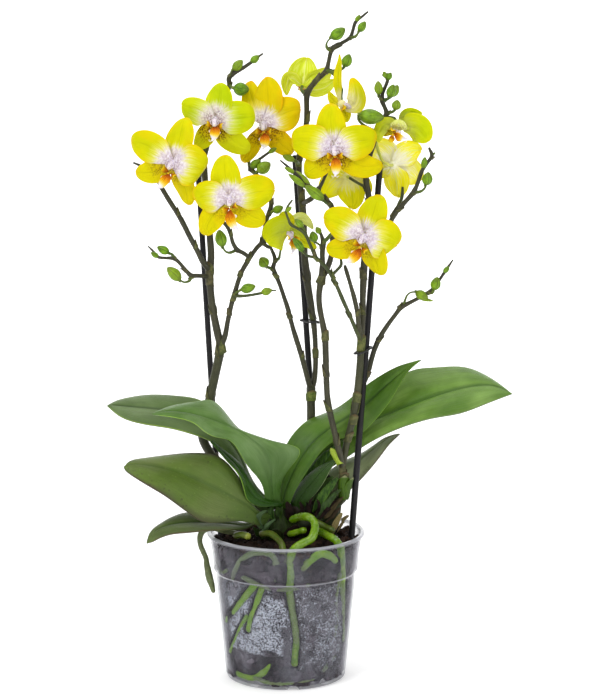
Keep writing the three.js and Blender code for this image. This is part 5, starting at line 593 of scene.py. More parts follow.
def bark_material():
    k = Mat("bark_dark"); P = k.obj(); c = k.attr("tone"); depth = k.attr("wall"); 
    grain = k.noise(k.scaled(P, (1.0, 1.0, 0.35)), 900.0, 5.0, 0.7); n = k.noise(P, 150.0, 4.0)
    top = k.ramp(c, [(0.0, lin(16, 10, 8)), (0.35, lin(30, 19, 14)), (0.62, lin(46, 29, 19)), (0.85, lin(66, 42, 27)), (1.0, lin(92, 62, 40))])
    cc = k.math("ADD", c, k.math("MULTIPLY", k.math("SUBTRACT", k.noise(P, 48.0, 2.0), 0.5), 0.9), clamp=True)
    side = k.ramp(cc, [(0.0, lin(14, 11, 12)), (0.25, lin(38, 32, 35)), (0.5, lin(66, 58, 64)), (0.75, lin(104, 96, 104)), (1.0, lin(150, 142, 150))])
    side = k.mix(k.math("MULTIPLY", k.step(n, 0.36, 0.6), 0.4), side, lin(58, 48, 50))
    col = k.mix(k.math("MULTIPLY", k.step(grain, 0.42, 0.66), 0.6), top, lin(14, 10, 8))
    col = k.mix(k.math("MULTIPLY", k.step(n, 0.58, 0.72), 0.25), col, lin(92, 66, 44))
    col = k.mix(depth, col, k.mix(k.math("MULTIPLY", k.step(grain, 0.45, 0.65), 0.25), side, lin(34, 30, 32)))
    k.surface(col, 0.85, k.bump(k.math("ADD", grain, k.math("MULTIPLY", n, 0.8)), 0.6, 0.001), Specular_IOR_Level=0.2)
    return k.m

def bloom_material():
    k = Mat("mineral_bloom"); P = k.obj()
    n = k.noise(P, 700.0, 5.0, 0.75); c = k.attr("tone")
    col = k.mix(k.step(n, 0.35, 0.65), lin(150, 152, 150), lin(214, 216, 218))
    k.surface(col, 0.9, k.bump(n, 0.6, 0.0005), Specular_IOR_Level=0.2)
    return k.m

def crown_material():
    k = Mat("crown_sheaths"); P = k.obj(); n = k.noise(P, 130.0, 4.0)
    vein = k.noise(k.scaled(P, (1.0, 1.0, 0.22)), 520.0, 5.0, 0.7)
    # near-black browns and darker veins: partly the old tissue's own colour, partly painted shade of the crown's
    # crevices
    col = k.mix(k.step(n, 0.34, 0.66), lin(24, 26, 10), lin(36, 22, 18))
    col = k.mix(k.math("MULTIPLY", k.step(vein, 0.44, 0.66), 0.6), col, lin(14, 9, 8))
    col = k.mix(k.attr("green"), col, k.mix(k.step(vein, 0.38, 0.62), lin(30, 62, 8), lin(70, 104, 30)))
    col = k.mix(k.math("MULTIPLY", k.attr("grey"), 1.0), col, lin(70, 92, 62))
    k.surface(col, 0.5, k.bump(k.math("ADD", vein, n), 0.6, 0.001), Specular_IOR_Level=0.2)
    return k.m

def dry_material():
    k = Mat("dry_sheath"); P = k.obj(); t = k.attr("along01"); s_ = k.attr("cross")
    vein = k.noise(k.vec(k.math("MULTIPLY", s_, 9.0), k.math("MULTIPLY", t, 1.2), 0.7), 3.0, 5.0, 0.7); n = k.noise(P, 260.0, 4.0)
    col = k.mix(k.step(vein, 0.35, 0.65), lin(18, 10, 9), lin(44, 28, 24))
    col = k.mix(k.math("MULTIPLY", k.step(n, 0.46, 0.62), 0.75), col, lin(10, 5, 5))
    col = k.mix(k.attr("green"), col, k.mix(k.step(vein, 0.35, 0.65), lin(104, 92, 56), lin(140, 128, 84)))
    k.surface(col, 0.7, k.bump(vein, 0.6, 0.0008), Specular_IOR_Level=0.12)
    return k.m

def wire_material():
    k = Mat("clip_black"); n = k.noise(k.obj(), 1500.0, 3.0)
    k.surface(k.mix(k.step(n, 0.4, 0.7), lin(18, 18, 20), lin(34, 34, 36)), k.lin(n, 0.3, 0.7, 0.35, 0.5), k.bump(n, 0.2, 0.0002), Specular_IOR_Level=0.5)
    return k.m

def pot_material():
    """Thin clear plastic: light goes straight through, with a grey haze that thickens at the edges and a chalky bloom on the inner wall."""
    k = Mat("pot_clear"); P = k.obj(); x, y, z = k.xyz(P)
    n = k.noise(P, 26.0, 3.0); sc = k.noise(k.scaled(P, (1.0, 1.0, 0.12)), 190.0, 4.0, 0.6)
    lw = k.node("ShaderNodeLayerWeight", {"Blend": 0.5}).outputs["Facing"]
    # painted highlight: the rim attribute adds pale haze lines on the top lip and the outer step ring, and a fainter
    # pale band at the bottom edge
    rim = k.attr("rim")
    haze = k.math("ADD", k.math("MULTIPLY", k.step(lw, 0.55, 1.0), 0.62), k.math("ADD", 0.055, k.math("MULTIPLY", rim, 0.62)), clamp=True)
    haze = k.math("ADD", haze, k.math("MULTIPLY", k.step(sc, 0.46, 0.70), 0.05), clamp=True)
    # damp film: soft grey patches low and at the right
    az = k.math("MULTIPLY", k.math("ARCTAN2", y, x), 57.2958)
    wob = k.math("MULTIPLY", k.math("SUBTRACT", k.noise(P, 75.0, 3.0), 0.5), 34.0)
    a2 = k.math("ADD", az, wob); z2 = k.math("ADD", z, k.math("MULTIPLY", wob, 0.0009))
    def patch(a0, a1, z0, z1, soft=5.0, sz=0.004):
        h = k.math("MULTIPLY", k.step(a2, a0 - soft, a0 + soft), k.step(a2, a1 + soft, a1 - soft))
        v = k.math("MULTIPLY", k.step(z2, z0 - sz, z0 + sz), k.step(z2, z1 + sz, z1 - sz))
        return k.math("MULTIPLY", h, v)
    damp = k.math("MULTIPLY", k.step(k.noise(k.scaled(P, (1.0, 1.0, 0.6)), 52.0, 3.0, 0.6), 0.40, 0.66), 0.24)
    damp = k.math("ADD", damp, k.math("MULTIPLY", patch(-90, -25, 0.012, 0.086, 12.0, 0.010), k.math("MULTIPLY", k.step(k.noise(P, 90.0, 2.0, 0.5), 0.42, 0.66), 0.14)))
    damp = k.math("MULTIPLY", damp, k.step(z, 0.086, 0.080))
    # chalky bloom: patches by bearing round the pot and by height, broken up into grains and short worms
    g = k.noise(P, 830.0, 4.0, 0.62); g2 = k.noise(P, 1430.0, 3.0, 0.6)
    grain = k.math("ADD", k.math("MULTIPLY", g, 0.6), k.math("MULTIPLY", g2, 0.4))
    grain = k.math("ADD", grain, k.math("MULTIPLY", k.math("SUBTRACT", k.noise(P, 150.0, 3.0, 0.6), 0.5), 0.22))
    dense = patch(-150, -90, 0.028, 0.074, 4.0, 0.003); left = patch(-188, -100, 0.030, 0.088, 6.0, 0.005)
    low = patch(-66, -26, 0.020, 0.056, 8.0, 0.006); faint = patch(-86, -22, 0.014, 0.084, 8.0, 0.006)
    rear = patch(15, 80, 0.020, 0.070, 10.0, 0.008); rear2 = patch(100, 168, 0.016, 0.060, 10.0, 0.008)
    def grains(mask, lo, hi, amount): return k.math("MULTIPLY", k.math("MULTIPLY", k.step(grain, lo, hi), mask), amount)
    f = grains(dense, 0.474, 0.508, 0.92)
    for m_, lo, hi, am in ((left, 0.494, 0.532, 0.58), (low, 0.512, 0.550, 0.84), (faint, 0.560, 0.592, 0.80), (rear, 0.47, 0.56, 0.6), (rear2, 0.45, 0.55, 0.65)):
        f = k.math("MAXIMUM", f, grains(m_, lo, hi, am))
    f = k.math("MULTIPLY", f, k.attr("inner"), clamp=True)
    haze = k.math("ADD", haze, k.math("MULTIPLY", damp, k.attr("inner")), clamp=True)
    high = k.math("MULTIPLY", k.math("MULTIPLY", k.step(z, 0.086, 0.088), k.step(z, 0.110, 0.107)), k.math("ADD", 0.015, k.math("MULTIPLY", k.step(k.noise(k.scaled(P, (1.0, 1.0, 0.25)), 60.0, 3.0), 0.4, 0.65), 0.08)))
    haze = k.math("ADD", haze, high, clamp=True)
    body = k.node("ShaderNodeBsdfPrincipled")
    # the rim lines also get a paler base colour: painted highlight
    k.put(body.inputs["Base Color"], k.mix(f, k.mix(rim, lin(150, 150, 160), lin(176, 177, 184)), k.mix(k.step(g2, 0.4, 0.6), lin(146, 154, 168), lin(196, 202, 212)))); k.put(body.inputs["Roughness"], k.math("ADD", 0.07, k.math("MULTIPLY", f, 0.7))); k.put(body.inputs["Specular IOR Level"], 0.5)
    k.put(body.inputs["Normal"], k.bump(n, 0.10, 0.0015))
    clear = k.node("ShaderNodeBsdfTransparent"); k.put(clear.inputs[0], (0.95, 0.95, 0.96))
    mx = k.node("ShaderNodeMixShader", {0: k.math("MAXIMUM", haze, f)}); k.t.links.new(clear.outputs[0], mx.inputs[1]); k.t.links.new(body.outputs[0], mx.inputs[2])
    k.t.links.new(mx.outputs[0], k.out.inputs[0])
    return k.m

def floor_material():
    k = Mat("floor_pale"); n = k.noise(k.obj(), 3.0, 2.0)
    k.surface(k.mix(n, (0.90, 0.90, 0.90), (0.92, 0.92, 0.92)), 0.7, Specular_IOR_Level=0.2, Emission_Color=(1, 1, 1, 1), Emission_Strength=0.30)
    return k.m

# ------------------------------------------------------------------ flowers
def tepal(sh, kind, R, M, T, width, F, C, seed, mat=0, grow=1.0, spots=0.5, pale=1.0):
    """One petal or sepal as a thin closed body. kind P petal, D dorsal sepal, S lateral sepal. F faces out of the flower, C is its middle."""
    R, M, T, C, F = A(R), A(M), A(T), A(C), unit(A(F))
    rs = np.random.RandomState(seed)
    R = C + (R - C) * 0.35 - F * 0.6
    ctrl = 2 * M - 0.5 * (R + T)
    u = np.linspace(0, 1, 34); t = 0.5 - 0.5 * np.cos(math.pi * u); t = 0.35 * u + 0.65 * t
    cen = ((1 - t) ** 2)[:, None] * R + (2 * t * (1 - t))[:, None] * ctrl + (t ** 2)[:, None] * T
    tan = np.gradient(cen, axis=0); tan /= np.linalg.norm(tan, axis=1)[:, None]
    side = np.cross(tan, F); side /= np.linalg.norm(side, axis=1)[:, None] + 1e-9
    nor = np.cross(side, tan)
    L = np.linalg.norm(np.diff(cen, axis=0), axis=1).sum()
    body = np.clip(np.sin(math.pi * (0.04 + 0.96 * t) ** {"P": 0.84, "D": 0.82}.get(kind, 0.80)), 0, 1)
    if kind == "P":
        h = body ** 0.45 * (0.55 + 0.45 * smoothstep(0.0, 0.3, t)); h /= h.max()
        h = h * (1 + 0.03 * np.sin(5.2 * t + seed))
    elif kind == "D":
        h = body ** 0.5 * (0.62 + 0.38 * smoothstep(0.0, 0.32, t)); h /= h.max()
    else:
        h = body ** 0.5 * (0.7 + 0.3 * smoothstep(0.0, 0.25, t)); h /= h.max()
    h = np.maximum(h * width * 0.5 * grow, 0.18)
    s = np.sin(np.linspace(-math.pi / 2, math.pi / 2, 21)) * 0.55 + np.linspace(-1, 1, 21) * 0.45
    skew = rs.uniform(-0.07, 0.07)
    curl = (-0.10 if kind == "P" else -0.09) * width * rs.uniform(0.6, 1.4)
    ph = rs.uniform(0, 6.28, 4); amp = (0.75 if kind == "P" else 0.5) * rs.uniform(0.7, 1.3)
    G = np.zeros((len(t), len(s), 3))
    for j, sj in enumerate(s):
        w = h * (1 + skew * sj)
        z = curl * sj * sj * smoothstep(0.3, 0.9, t) * (h / h.max())
        z = z + amp * abs(sj) ** 1.5 * np.sin(7.5 * t + ph[0] + (1.3 if sj > 0 else 0)) * smoothstep(0.15, 0.55, t)
        z = z - 0.6 * math.exp(-(sj / 0.11) ** 2) * smoothstep(0.98, 0.6, t) + 0.32 * math.exp(-((abs(sj) - 0.3) / 0.16) ** 2)
        tipcurl = -0.07 * L * np.clip((t - 0.8) / 0.2, 0, 1) ** 2
        notch = 0.0
        pos = cen + side * (w * sj)[:, None] + nor * (z + tipcurl)[:, None]
        # blunt end
        pos = pos + tan * (0.035 * width * sj * sj * smoothstep(0.6, 1.0, t) * (1 if kind == "P" else 0.5))[:, None]
        G[:, j] = pos
    G += (bumps(G.reshape(-1, 3), 16.0, seed % 5) * 0.28).reshape(len(t), len(s), 1) * F
    thick = np.outer(0.42 - 0.2 * t, np.ones(len(s))) * (1 - 0.62 * np.abs(s) ** 4)[None, :]
    thick[0] *= 0.6; thick[-1] *= 0.35
    reach = np.linalg.norm((G - C) - ((G - C) @ F)[..., None] * F, axis=2)
    code = {"P": 0.0, "D": 1.0, "S": 2.0, "L": 3.0}[kind]
    shell(sh, G, thick, mat, front=F, along01=np.outer(t, np.ones(len(s))), cross=np.outer(np.ones(len(t)), s), reach=reach, kind=code, seed=(seed * 0.137) % 1.0, spots=spots, pale=pale)

def blade_small(sh, P0, P1, P2, side, width, cup, mat=0, kind=0.0, n=14, m=9, tip=0.55, base=0.4, th=0.3, seed=0):
    """A small curved lobe: middle line P0 P1 P2, its half width across side, edges lifted by cup."""
    P0, P1, P2 = A(P0), A(P1), A(P2); c = 2 * P1 - 0.5 * (P0 + P2); t = np.linspace(0, 1, n)
    cen = ((1 - t) ** 2)[:, None] * P0 + (2 * t * (1 - t))[:, None] * c + (t ** 2)[:, None] * P2
    tan = np.gradient(cen, axis=0); tan /= np.linalg.norm(tan, axis=1)[:, None]
    S = unit(A(side)); S = S - tan * (tan @ S)[:, None]; S /= np.linalg.norm(S, axis=1)[:, None]
    N = np.cross(S, tan)
    h = width * 0.5 * np.maximum(np.sin(math.pi * (t ** 0.9) * 0.97 + 0.05) ** tip, 0.06) * (base + (1 - base) * smoothstep(0, 0.4, t))
    s = np.linspace(-1, 1, m)
    G = cen[:, None, :] + S[:, None, :] * (h[:, None] * s[None, :])[..., None] + N[:, None, :] * (cup * h[:, None] * (s[None, :] ** 2))[..., None]
    shell(sh, G, np.full((n, m), th) * (1 - 0.55 * s ** 4)[None, :], mat, along01=np.outer(t, np.ones(m)), cross=np.outer(np.ones(n), s), kind=kind, reach=0.0, seed=(seed * 0.31) % 1.0)

def ball(sh, c, r, mat=0, squash=(1, 1, 1), axis=None, n=12, m=8, **att):
    c = A(c); V = [c + A((0, 0, r * squash[2]))]
    rows = []
    for i in range(1, m):
        a = math.pi * i / m
        for j in range(n):
            b = 2 * math.pi * j / n
            V.append(c + A((r * squash[0] * math.sin(a) * math.cos(b), r * squash[1] * math.sin(a) * math.sin(b), r * squash[2] * math.cos(a))))
    V.append(c - A((0, 0, r * squash[2])))
    F = [(0, 1 + j, 1 + (j + 1) % n) for j in range(n)]
    for i in range(m - 2):
        for j in range(n): a = 1 + i * n; F.append((a + j, a + n + j, a + n + (j + 1) % n, a + (j + 1) % n))
    l = len(V) - 1; a = 1 + (m - 2) * n
    F += [(l, a + (j + 1) % n, a + j) for j in range(n)]
    sh.add(V, F, mat, **att)

def flower(name, node, lipnode, d, seed, mats):
    C = A(d["c"]); yaw, tilt = math.radians(d["yaw"]), math.radians(d["tilt"])
    F = A((math.sin(yaw) * math.cos(tilt), -math.cos(yaw) * math.cos(tilt), math.sin(tilt)))
    D = [t for t in d["T"] if t[0] == "D"][0]
    lip = [A(p) for p in d["lip"]]
    U = unit(A(D[3]) - C); U = unit(U - F * np.dot(U, F)); W = np.cross(U, F)
    sh = Shape()
    order = {"S": 0, "D": 0, "P": 1}
    for i, (k, R, M, T, w, dy, dt) in enumerate(d["T"]):
        lift = F * {"P": 1.3, "L": 1.6}.get(k, -0.8)
        y_, t_ = yaw + math.radians(dy), tilt + math.radians(dt)
        own = A((math.sin(y_) * math.cos(t_), -math.cos(y_) * math.cos(t_), math.sin(t_)))
        tepal(sh, k, A(R) + lift, A(M) + lift, A(T) + lift, w, own, C + lift, seed * 10 + i, spots=d["spots"], pale=d["pale"])
    ball(sh, C - F * 0.9, 3.2 if d["pale"] > 0.3 else 2.1, 0, squash=(1, 1, 1), n=18, m=12, reach=6.0, kind=0.0, along01=0.1, cross=0.3, spots=0.3 * d["spots"], pale=d["pale"], under=0.0 if d["pale"] > 0.3 else 1.0)
    # column: short arched post with a rounded cap, wings at its sides
    down = unit(lip[0] - C - F * np.dot(lip[0] - C, F)) if np.linalg.norm(lip[0] - C) > 1 else -U
    c0, c1, c2 = C + F * (0.8 if d["yaw"] > 90 else -1.0), C + F * 2.4 + down * 1.1, C + F * 4.2 + down * 3.0
    col = spline([np.r_[c0, 2.2], np.r_[c1, 1.95], np.r_[c2, 1.9]], 7)
    tube(sh, col, 14, 1, along01=np.r_[np.zeros(1)][0])
    ball(sh, c2 + F * 0.7 + down * 0.4, 1.25, 1, n=14, m=9, along01=1.0)
    for sg in (-1, 1):
        blade_small(sh, C + F * 1.4 + W * sg * 1.6, C + F * 3.6 + W * sg * 2.9 + down * 1.4, c2 + W * sg * 2.2 + F * 0.4 + down * 0.6, F, 2.2, 0.2, 1, th=0.25, n=9, m=5)
    ob = sh.object(name, [mats[d["tint"]], mats["column"]], node, d["slot"])
    # lip: middle lobe with a fringe of two curled tails, two upright side lobes, callus
    l = Shape(); b0, b1, b2 = lip
    ax = unit(b2 - b0); S = unit(np.cross(ax, F)); ln = np.linalg.norm(b2 - b0)
    b0 = b0 + F * 0.8; up = F
    wl = 7.6
    blade_small(l, b0, b1, b1 + (b2 - b1) * 0.82, S, wl, 0.42, 0, 0.0, n=22, m=13, tip=0.75, base=0.45, th=0.42, seed=seed)
    # shoulders of the middle lobe
    for sg in (-1, 1):
        q = b0 + (b1 - b0) * 0.72
        blade_small(l, q, q + S * sg * 2.2 + ax * 0.6 + up * 0.3, q + S * sg * 4.4 + ax * 1.0 - up * 0.3, ax, 3.6, -0.25, 0, 0.35, n=10, m=7, tip=0.6, base=0.8, th=0.35, seed=seed)
    for sg in (-1, 1):
        q0 = b0 + S * sg * 1.2 - ax * 0.4
        blade_small(l, q0, q0 + S * sg * 3.2 + up * 1.6 - ax * 0.1, q0 + S * sg * 4.0 + up * 4.2 - ax * 0.8, ax, 4.6, 0.5 * sg, 0, 1.0, n=14, m=9, tip=0.6, base=0.55, th=0.35, seed=seed)
        # tails
        e = b1 + (b2 - b1) * 0.78
        tail = [e + S * sg * 0.3, e + ax * 1.3 + S * sg * 0.6, e + ax * 1.9 + S * sg * 1.5 + up * 0.5, e + ax * 1.3 + S * sg * 2.3 + up * 1.1, e + ax * 0.4 + S * sg * 2.4 + up * 1.4]
        tube(l, spline([np.r_[p, r] for p, r in zip(tail, (0.5, 0.36, 0.26, 0.2, 0.12))], 6), 8, 0, kind=2.0, along01=0.35)
    ball(l, b0 + up * 1.5 + ax * 0.3, 1.15, 0, squash=(1, 1, 0.8), kind=3.0, along01=0.3)
    ball(l, e + ax * 0.5, 0.95, 0, kind=2.0, along01=0.9)
    l.object(name.replace("flower", "lip"), [mats["lip"]], lipnode, "lip")
    return F

# ------------------------------------------------------------------ stems, buds, bracts
def bud_shape(sh, base, tip, dia, seed):
    base, tip = A(base), A(tip); ax = tip - base; L = np.linalg.norm(ax); z = ax / L
    x = unit(np.cross(z, (0.3, 0.9, 0.2))); y = np.cross(z, x)
    rs = np.random.RandomState(seed); ph = rs.uniform(0, 6.28)
    n, m = 20, 18; r = dia / 2
    V, al, ro = [], [], []
    for i in range(1, m):
        t = 0.5 - 0.5 * math.cos(math.pi * i / m)
        k = math.sin(math.pi * t ** 0.86) ** 0.5 * (0.9 + 0.1 * math.sin(math.pi * min(1, t * 1.15)))
        for j in range(n):
            b = 2 * math.pi * j / n
            groove = 1 - 0.055 * math.exp(-((math.sin(1.5 * b + ph * 0)) / 0.16) ** 2) * smoothstep(0.1, 0.5, t)
            V.append(base + z * (L * t) + (x * math.cos(b) + y * math.sin(b)) * r * k * groove * (1 + 0.04 * math.cos(b + ph)))
            al.append(t); ro.append(j / n)
    a, b_ = len(V), len(V) + 1
    V += [base, tip + z * 0.15]; al += [0, 1]; ro += [0, 0]
    F = [(i * n + j, i * n + (j + 1) % n, (i + 1) * n + (j + 1) % n, (i + 1) * n + j) for i in range(m - 2) for j in range(n)]
    F += [(a, (j + 1) % n, j) for j in range(n)] + [(b_, (m - 2) * n + j, (m - 2) * n + (j + 1) % n) for j in range(n)]
    sh.add(V, F, 1, along01=al, round=ro, seed=rs.uniform(0, 0.5), green=1.0)

def bract(sh, p, tangent, r, L, toward, wrap=1.9, flare=1.0, green=0.6, th=0.22, mat=2, grass=0.0):
    """A scale that clasps a stem: p on the stem's middle, toward is the side it opens to."""
    p, z = A(p), unit(A(tangent)); x = A(toward) - z * np.dot(toward, z); x = unit(x) if np.linalg.norm(x) > 1e-6 else unit(np.cross(z, (1, 0.3, 0.2)))
    y = np.cross(z, x); nt, ns = 9, 11
    G = np.zeros((nt, ns, 3)); t = np.linspace(0, 1, nt); s = np.linspace(-1, 1, ns)
    for i, ti in enumerate(t):
        wr = wrap * (1 - ti) ** 0.62 + 0.05
        rad = r + 0.28 + flare * (0.25 * ti + 1.0 * ti ** 2.2)
        for j, sj in enumerate(s):
            a = sj * wr
            G[i, j] = p + z * (L * ti - 0.12 * L * sj * sj * (1 - ti)) + (x * math.cos(a) + y * math.sin(a)) * rad
    shell(sh, G, np.full((nt, ns), th) * (1 - 0.4 * np.abs(s)[None, :] ** 3), mat, along01=np.outer(t, np.ones(ns)), cross=np.outer(np.ones(nt), s), green=green, grass=grass)

def spike(name, node, branches, buds, seed, mats):
    sh = Shape(); rs = np.random.RandomState(seed)
    dense = {}
    for nm, pts in branches:
        P = spline(pts, 8); P[:, 3] = np.maximum(P[:, 3], 0.35)
        P, d = even(P, 0.9 if len(pts) > 4 else 0.6)
        P[:, :3] = relax(P[:, :3], 2)
        # slow swelling and small knuckles where the stem turns
        T, _, _ = frames_of(P[:, :3]); turn = np.r_[0, np.linalg.norm(np.diff(T, axis=0), axis=1)]
        k = np.convolve(turn, np.ones(5) / 5, "same"); P[:, 3] *= 1 + np.clip(k * 0.9, 0, 0.16)
        P[:, 3] *= 1 + 0.03 * bumps(P[:, :3], 9.0, seed)
        dense[nm] = P
        big = P[:, 3].mean() > 1.4
        green = 0.0 if big else (0.55 if nm.startswith(("ped", "p_")) else 0.2)
        if nm == "main": green = 0.05
        pale = np.zeros(len(P)) + (1.0 if nm in ("ped_f9", "ped_f12") else 0.0)
        before = sh.n; tube(sh, P, 16 if big else 12, 0, green=green * np.ones(1)[0], lime=float(pale.max()))
    names = [n for n, _ in branches]
    # bracts where a side branch leaves, and at the ends of the joints of the main stems
    for nm, pts in branches:
        if nm == "main": continue
        p = A(pts[0][:3]); best = None
        for o, P in dense.items():
            if o == nm: continue
            dd = np.linalg.norm(P[:, :3] - p, axis=1); i = int(dd.argmin())
            if best is None or dd[i] < best[0]: best = (dd[i], o, i)
        if best is None or best[0] > 6: continue
        _, o, i = best; P = dense[o]; j = min(max(i, 1), len(P) - 2)
        tg = unit(P[j + 1, :3] - P[j - 1, :3]); away = A(pts[min(2, len(pts) - 1)][:3]) - A(pts[0][:3])
        r = P[j, 3]; small = nm.startswith(("p_", "ped", "br", "tip", "node"))
        L = (3.4 if small else 8.5) * min(1.6, max(0.7, r / 1.7))
        bract(sh, P[j, :3] - tg * L * 0.42, tg, r, L, away, wrap=1.5 if small else 2.2, flare=0.9 if small else 0.7, green=rs.uniform(0.05, 0.3))
    for o, P in dense.items():
        r = P[:, 3].mean()
        if r < 1.35 or len(P) < 60: continue
        step = int(rs.uniform(30, 38))
        for i in range(step, len(P) - 25, step):
            tg = unit(P[i + 1, :3] - P[i - 1, :3]); a = rs.uniform(0, 6.28)
            side = unit(np.cross(tg, (math.cos(a), math.sin(a), 0.1)))
            bract(sh, P[i, :3] - tg * 4, tg, P[i, 3], 9.0 if r > 2 else 5.5, side, wrap=2.6, flare=0.55, green=rs.uniform(0.03, 0.2), th=0.2)
    for i, (b, t, d) in enumerate(buds):
        bud_shape(sh, b, t, d, seed * 50 + i)
        b, t = A(b), A(t); z = unit(t - b)
        bract(sh, b - z * 1.0, z, max(0.5, d * 0.13), min(3.2, 0.42 * np.linalg.norm(t - b) + 0.6), np.cross(z, (0.2, 0.9, 0.3)), wrap=1.4, flare=0.9, green=0.7, th=0.16)
    return sh, dense

# ------------------------------------------------------------------ leaves
def leaf(name, node, slot, d, mat, seed, bulge=1.0, wave=0.6, extra=None):
    a, m, b = A(d["a"]), A(d["m"]), A(d["b"]); th = d["th"]
    per = 9
    Aa, Mm, Bb = (relax(spline(x, per), 6) for x in (a, m, b))
    n = len(Mm); s = np.r_[-np.sin(np.linspace(math.pi / 2, 0, 15))[:-1] * 1.0, 0, np.sin(np.linspace(0, math.pi / 2, 15))[1:]]
    t = np.linspace(0, 1, n)
    tan = np.gradient(Mm, axis=0); tan /= np.linalg.norm(tan, axis=1)[:, None] + 1e-9
    across = Bb - Aa; N = np.cross(across, tan); N /= np.linalg.norm(N, axis=1)[:, None] + 1e-9
    N = relax(N, 4); N /= np.linalg.norm(N, axis=1)[:, None] + 1e-9
    if N[:, 2].mean() < 0: N = -N
    wid = np.linalg.norm(across, axis=1)
    G = np.zeros((n, len(s), 3))
    for j, sj in enumerate(s):
        e = Aa if sj < 0 else Bb; q = abs(sj)
        base = Mm + (e - Mm) * q
        lift = bulge * 0.085 * wid * 0.5 * (4 * q * (1 - q)) * smoothstep(0.0, 0.15, t)
        groove = -0.55 * math.exp(-(sj / 0.07) ** 2) * smoothstep(0, 0.1, t) * smoothstep(1.0, 0.85, t)
        w = wave * q ** 2 * np.sin(9 * t + seed + (2.1 if sj > 0 else 0)) * smoothstep(0.15, 0.4, t)
        G[:, j] = base + N * (lift + groove + w)[:, None]
    G += bumps(G.reshape(-1, 3), 26.0, seed % 5).reshape(n, -1, 1) * 0.25 * N[:, None, :]
    half = th / 2
    thick = half * (0.95 - 0.25 * np.abs(s) ** 1.5)[None, :] * np.ones((n, 1)); thick[:, 0] *= 0.55; thick[:, -1] *= 0.55
    thick[0] *= 0.8; thick[-1] *= 0.5; thick[-2] *= 0.8
    sh = Shape()
    shell(sh, G, thick, 0, front=N.mean(axis=0), along01=np.outer(t, np.ones(len(s))), cross=np.outer(np.ones(n), s), seed=(seed * 0.173) % 1.0)
    if extra: extra(sh)
    return sh.object(name, mat if isinstance(mat, list) else [mat], node, slot)

# ------------------------------------------------------------------ roots
def root(name, nodes, slot, runs, mat, seed, tips=None, wob=0.05):
    sh = Shape()
    for i, run in enumerate(runs):
        P, d = even(spline(run, 8), 0.8); P[:, :3] = relax(P[:, :3], 3)
        P[:, 3] *= 1 + wob * bumps(P[:, :3], 7.0, seed + i)
        P[:, :3] += np.column_stack([bumps(P[:, :3], 14.0, seed + 1 + k) for k in range(3)]) * 0.18
        u = d / max(d[-1], 1e-6); tip = (tips or {}).get(i, 0.0)
        n = len(P); sides = 18
        tipv = smoothstep(0.86, 1.0, u) * tip
        k = lambda dd, th: 1 + 0.035 * np.sin(3 * th + dd * 0.5) + 0.02 * np.sin(5 * th - dd * 0.9)
        before = sh.n
        tube(sh, P, sides, 0, swell=k, tip=0.0, dirt=0.0)
        # tip colour: last ring values
        vals = np.r_[np.zeros(3 * sides), np.repeat(tipv, sides), np.full(3 * sides, tip), 0, tip]
        sh.att["tip"][-1] = vals
        sh.att["dirt"][-1] = np.r_[np.full(3 * sides, .6), np.repeat(0.55 * smoothstep(0.25, 0.0, u), sides), np.zeros(3 * sides), .6, 0]
    return sh.object(name, [mat], nodes, slot)

# ------------------------------------------------------------------ materials of the whole plant
MATS = {
    "yellow": petal_material("petal_yellow", lin(207, 203, 0), lin(190, 193, 0), lin(226, 182, 0), lin(228, 224, 116), sep=lin(206, 194, 0)),
    "green": petal_material("petal_green_yellow", lin(192, 202, 4), lin(170, 190, 4), lin(206, 206, 6), lin(214, 220, 120), white=0.9, veins=0.6, back=(lin(204, 218, 40), lin(230, 237, 108), lin(234, 239, 158)), sep=lin(206, 206, 24)),
    "gold": petal_material("petal_golden", lin(214, 190, 0), lin(196, 182, 0), lin(228, 166, 0), lin(228, 214, 110), sep=lin(214, 184, 2)),
    # pale: its back colours are set brighter than the front, painted light that offsets the shade on petals turned away
    # from the lamps
    "pale": petal_material("petal_pale_green", lin(220, 208, 20), lin(212, 206, 20), lin(228, 196, 4), lin(248, 244, 170), white=0.85, veins=0.5, white_r=12.0, ray=2.4, back=(lin(248, 236, 10), lin(250, 246, 110), lin(226, 238, 130)), heart=(lin(252, 250, 238), lin(246, 242, 214), lin(240, 226, 226))),
    "olive": petal_material("petal_olive_yellow", lin(216, 210, 14), lin(198, 198, 12), lin(222, 200, 4), lin(246, 240, 150), white=0.85, veins=0.5, white_r=10.5, ray=1.6, back=(lin(226, 220, 6), lin(242, 234, 28), lin(204, 204, 8)), heart=(lin(250, 248, 234), lin(240, 236, 206), lin(236, 222, 222))),
    # lemon: bright back colours, painted light that offsets the shade on petals turned away from the lamps
    "lemon": petal_material("petal_lemon", lin(226, 218, 6), lin(206, 208, 8), lin(228, 192, 0), lin(236, 230, 130), white_r=9.0, back=(lin(244, 238, 6), lin(248, 244, 60), lin(232, 238, 120)), heart=(lin(252, 246, 240), lin(240, 224, 228), lin(240, 226, 226))),
    "lip": lip_material(), "column": column_material(),
}
BUDM, BRACTM, STEMM = bud_material(), bract_material(), stem_material()

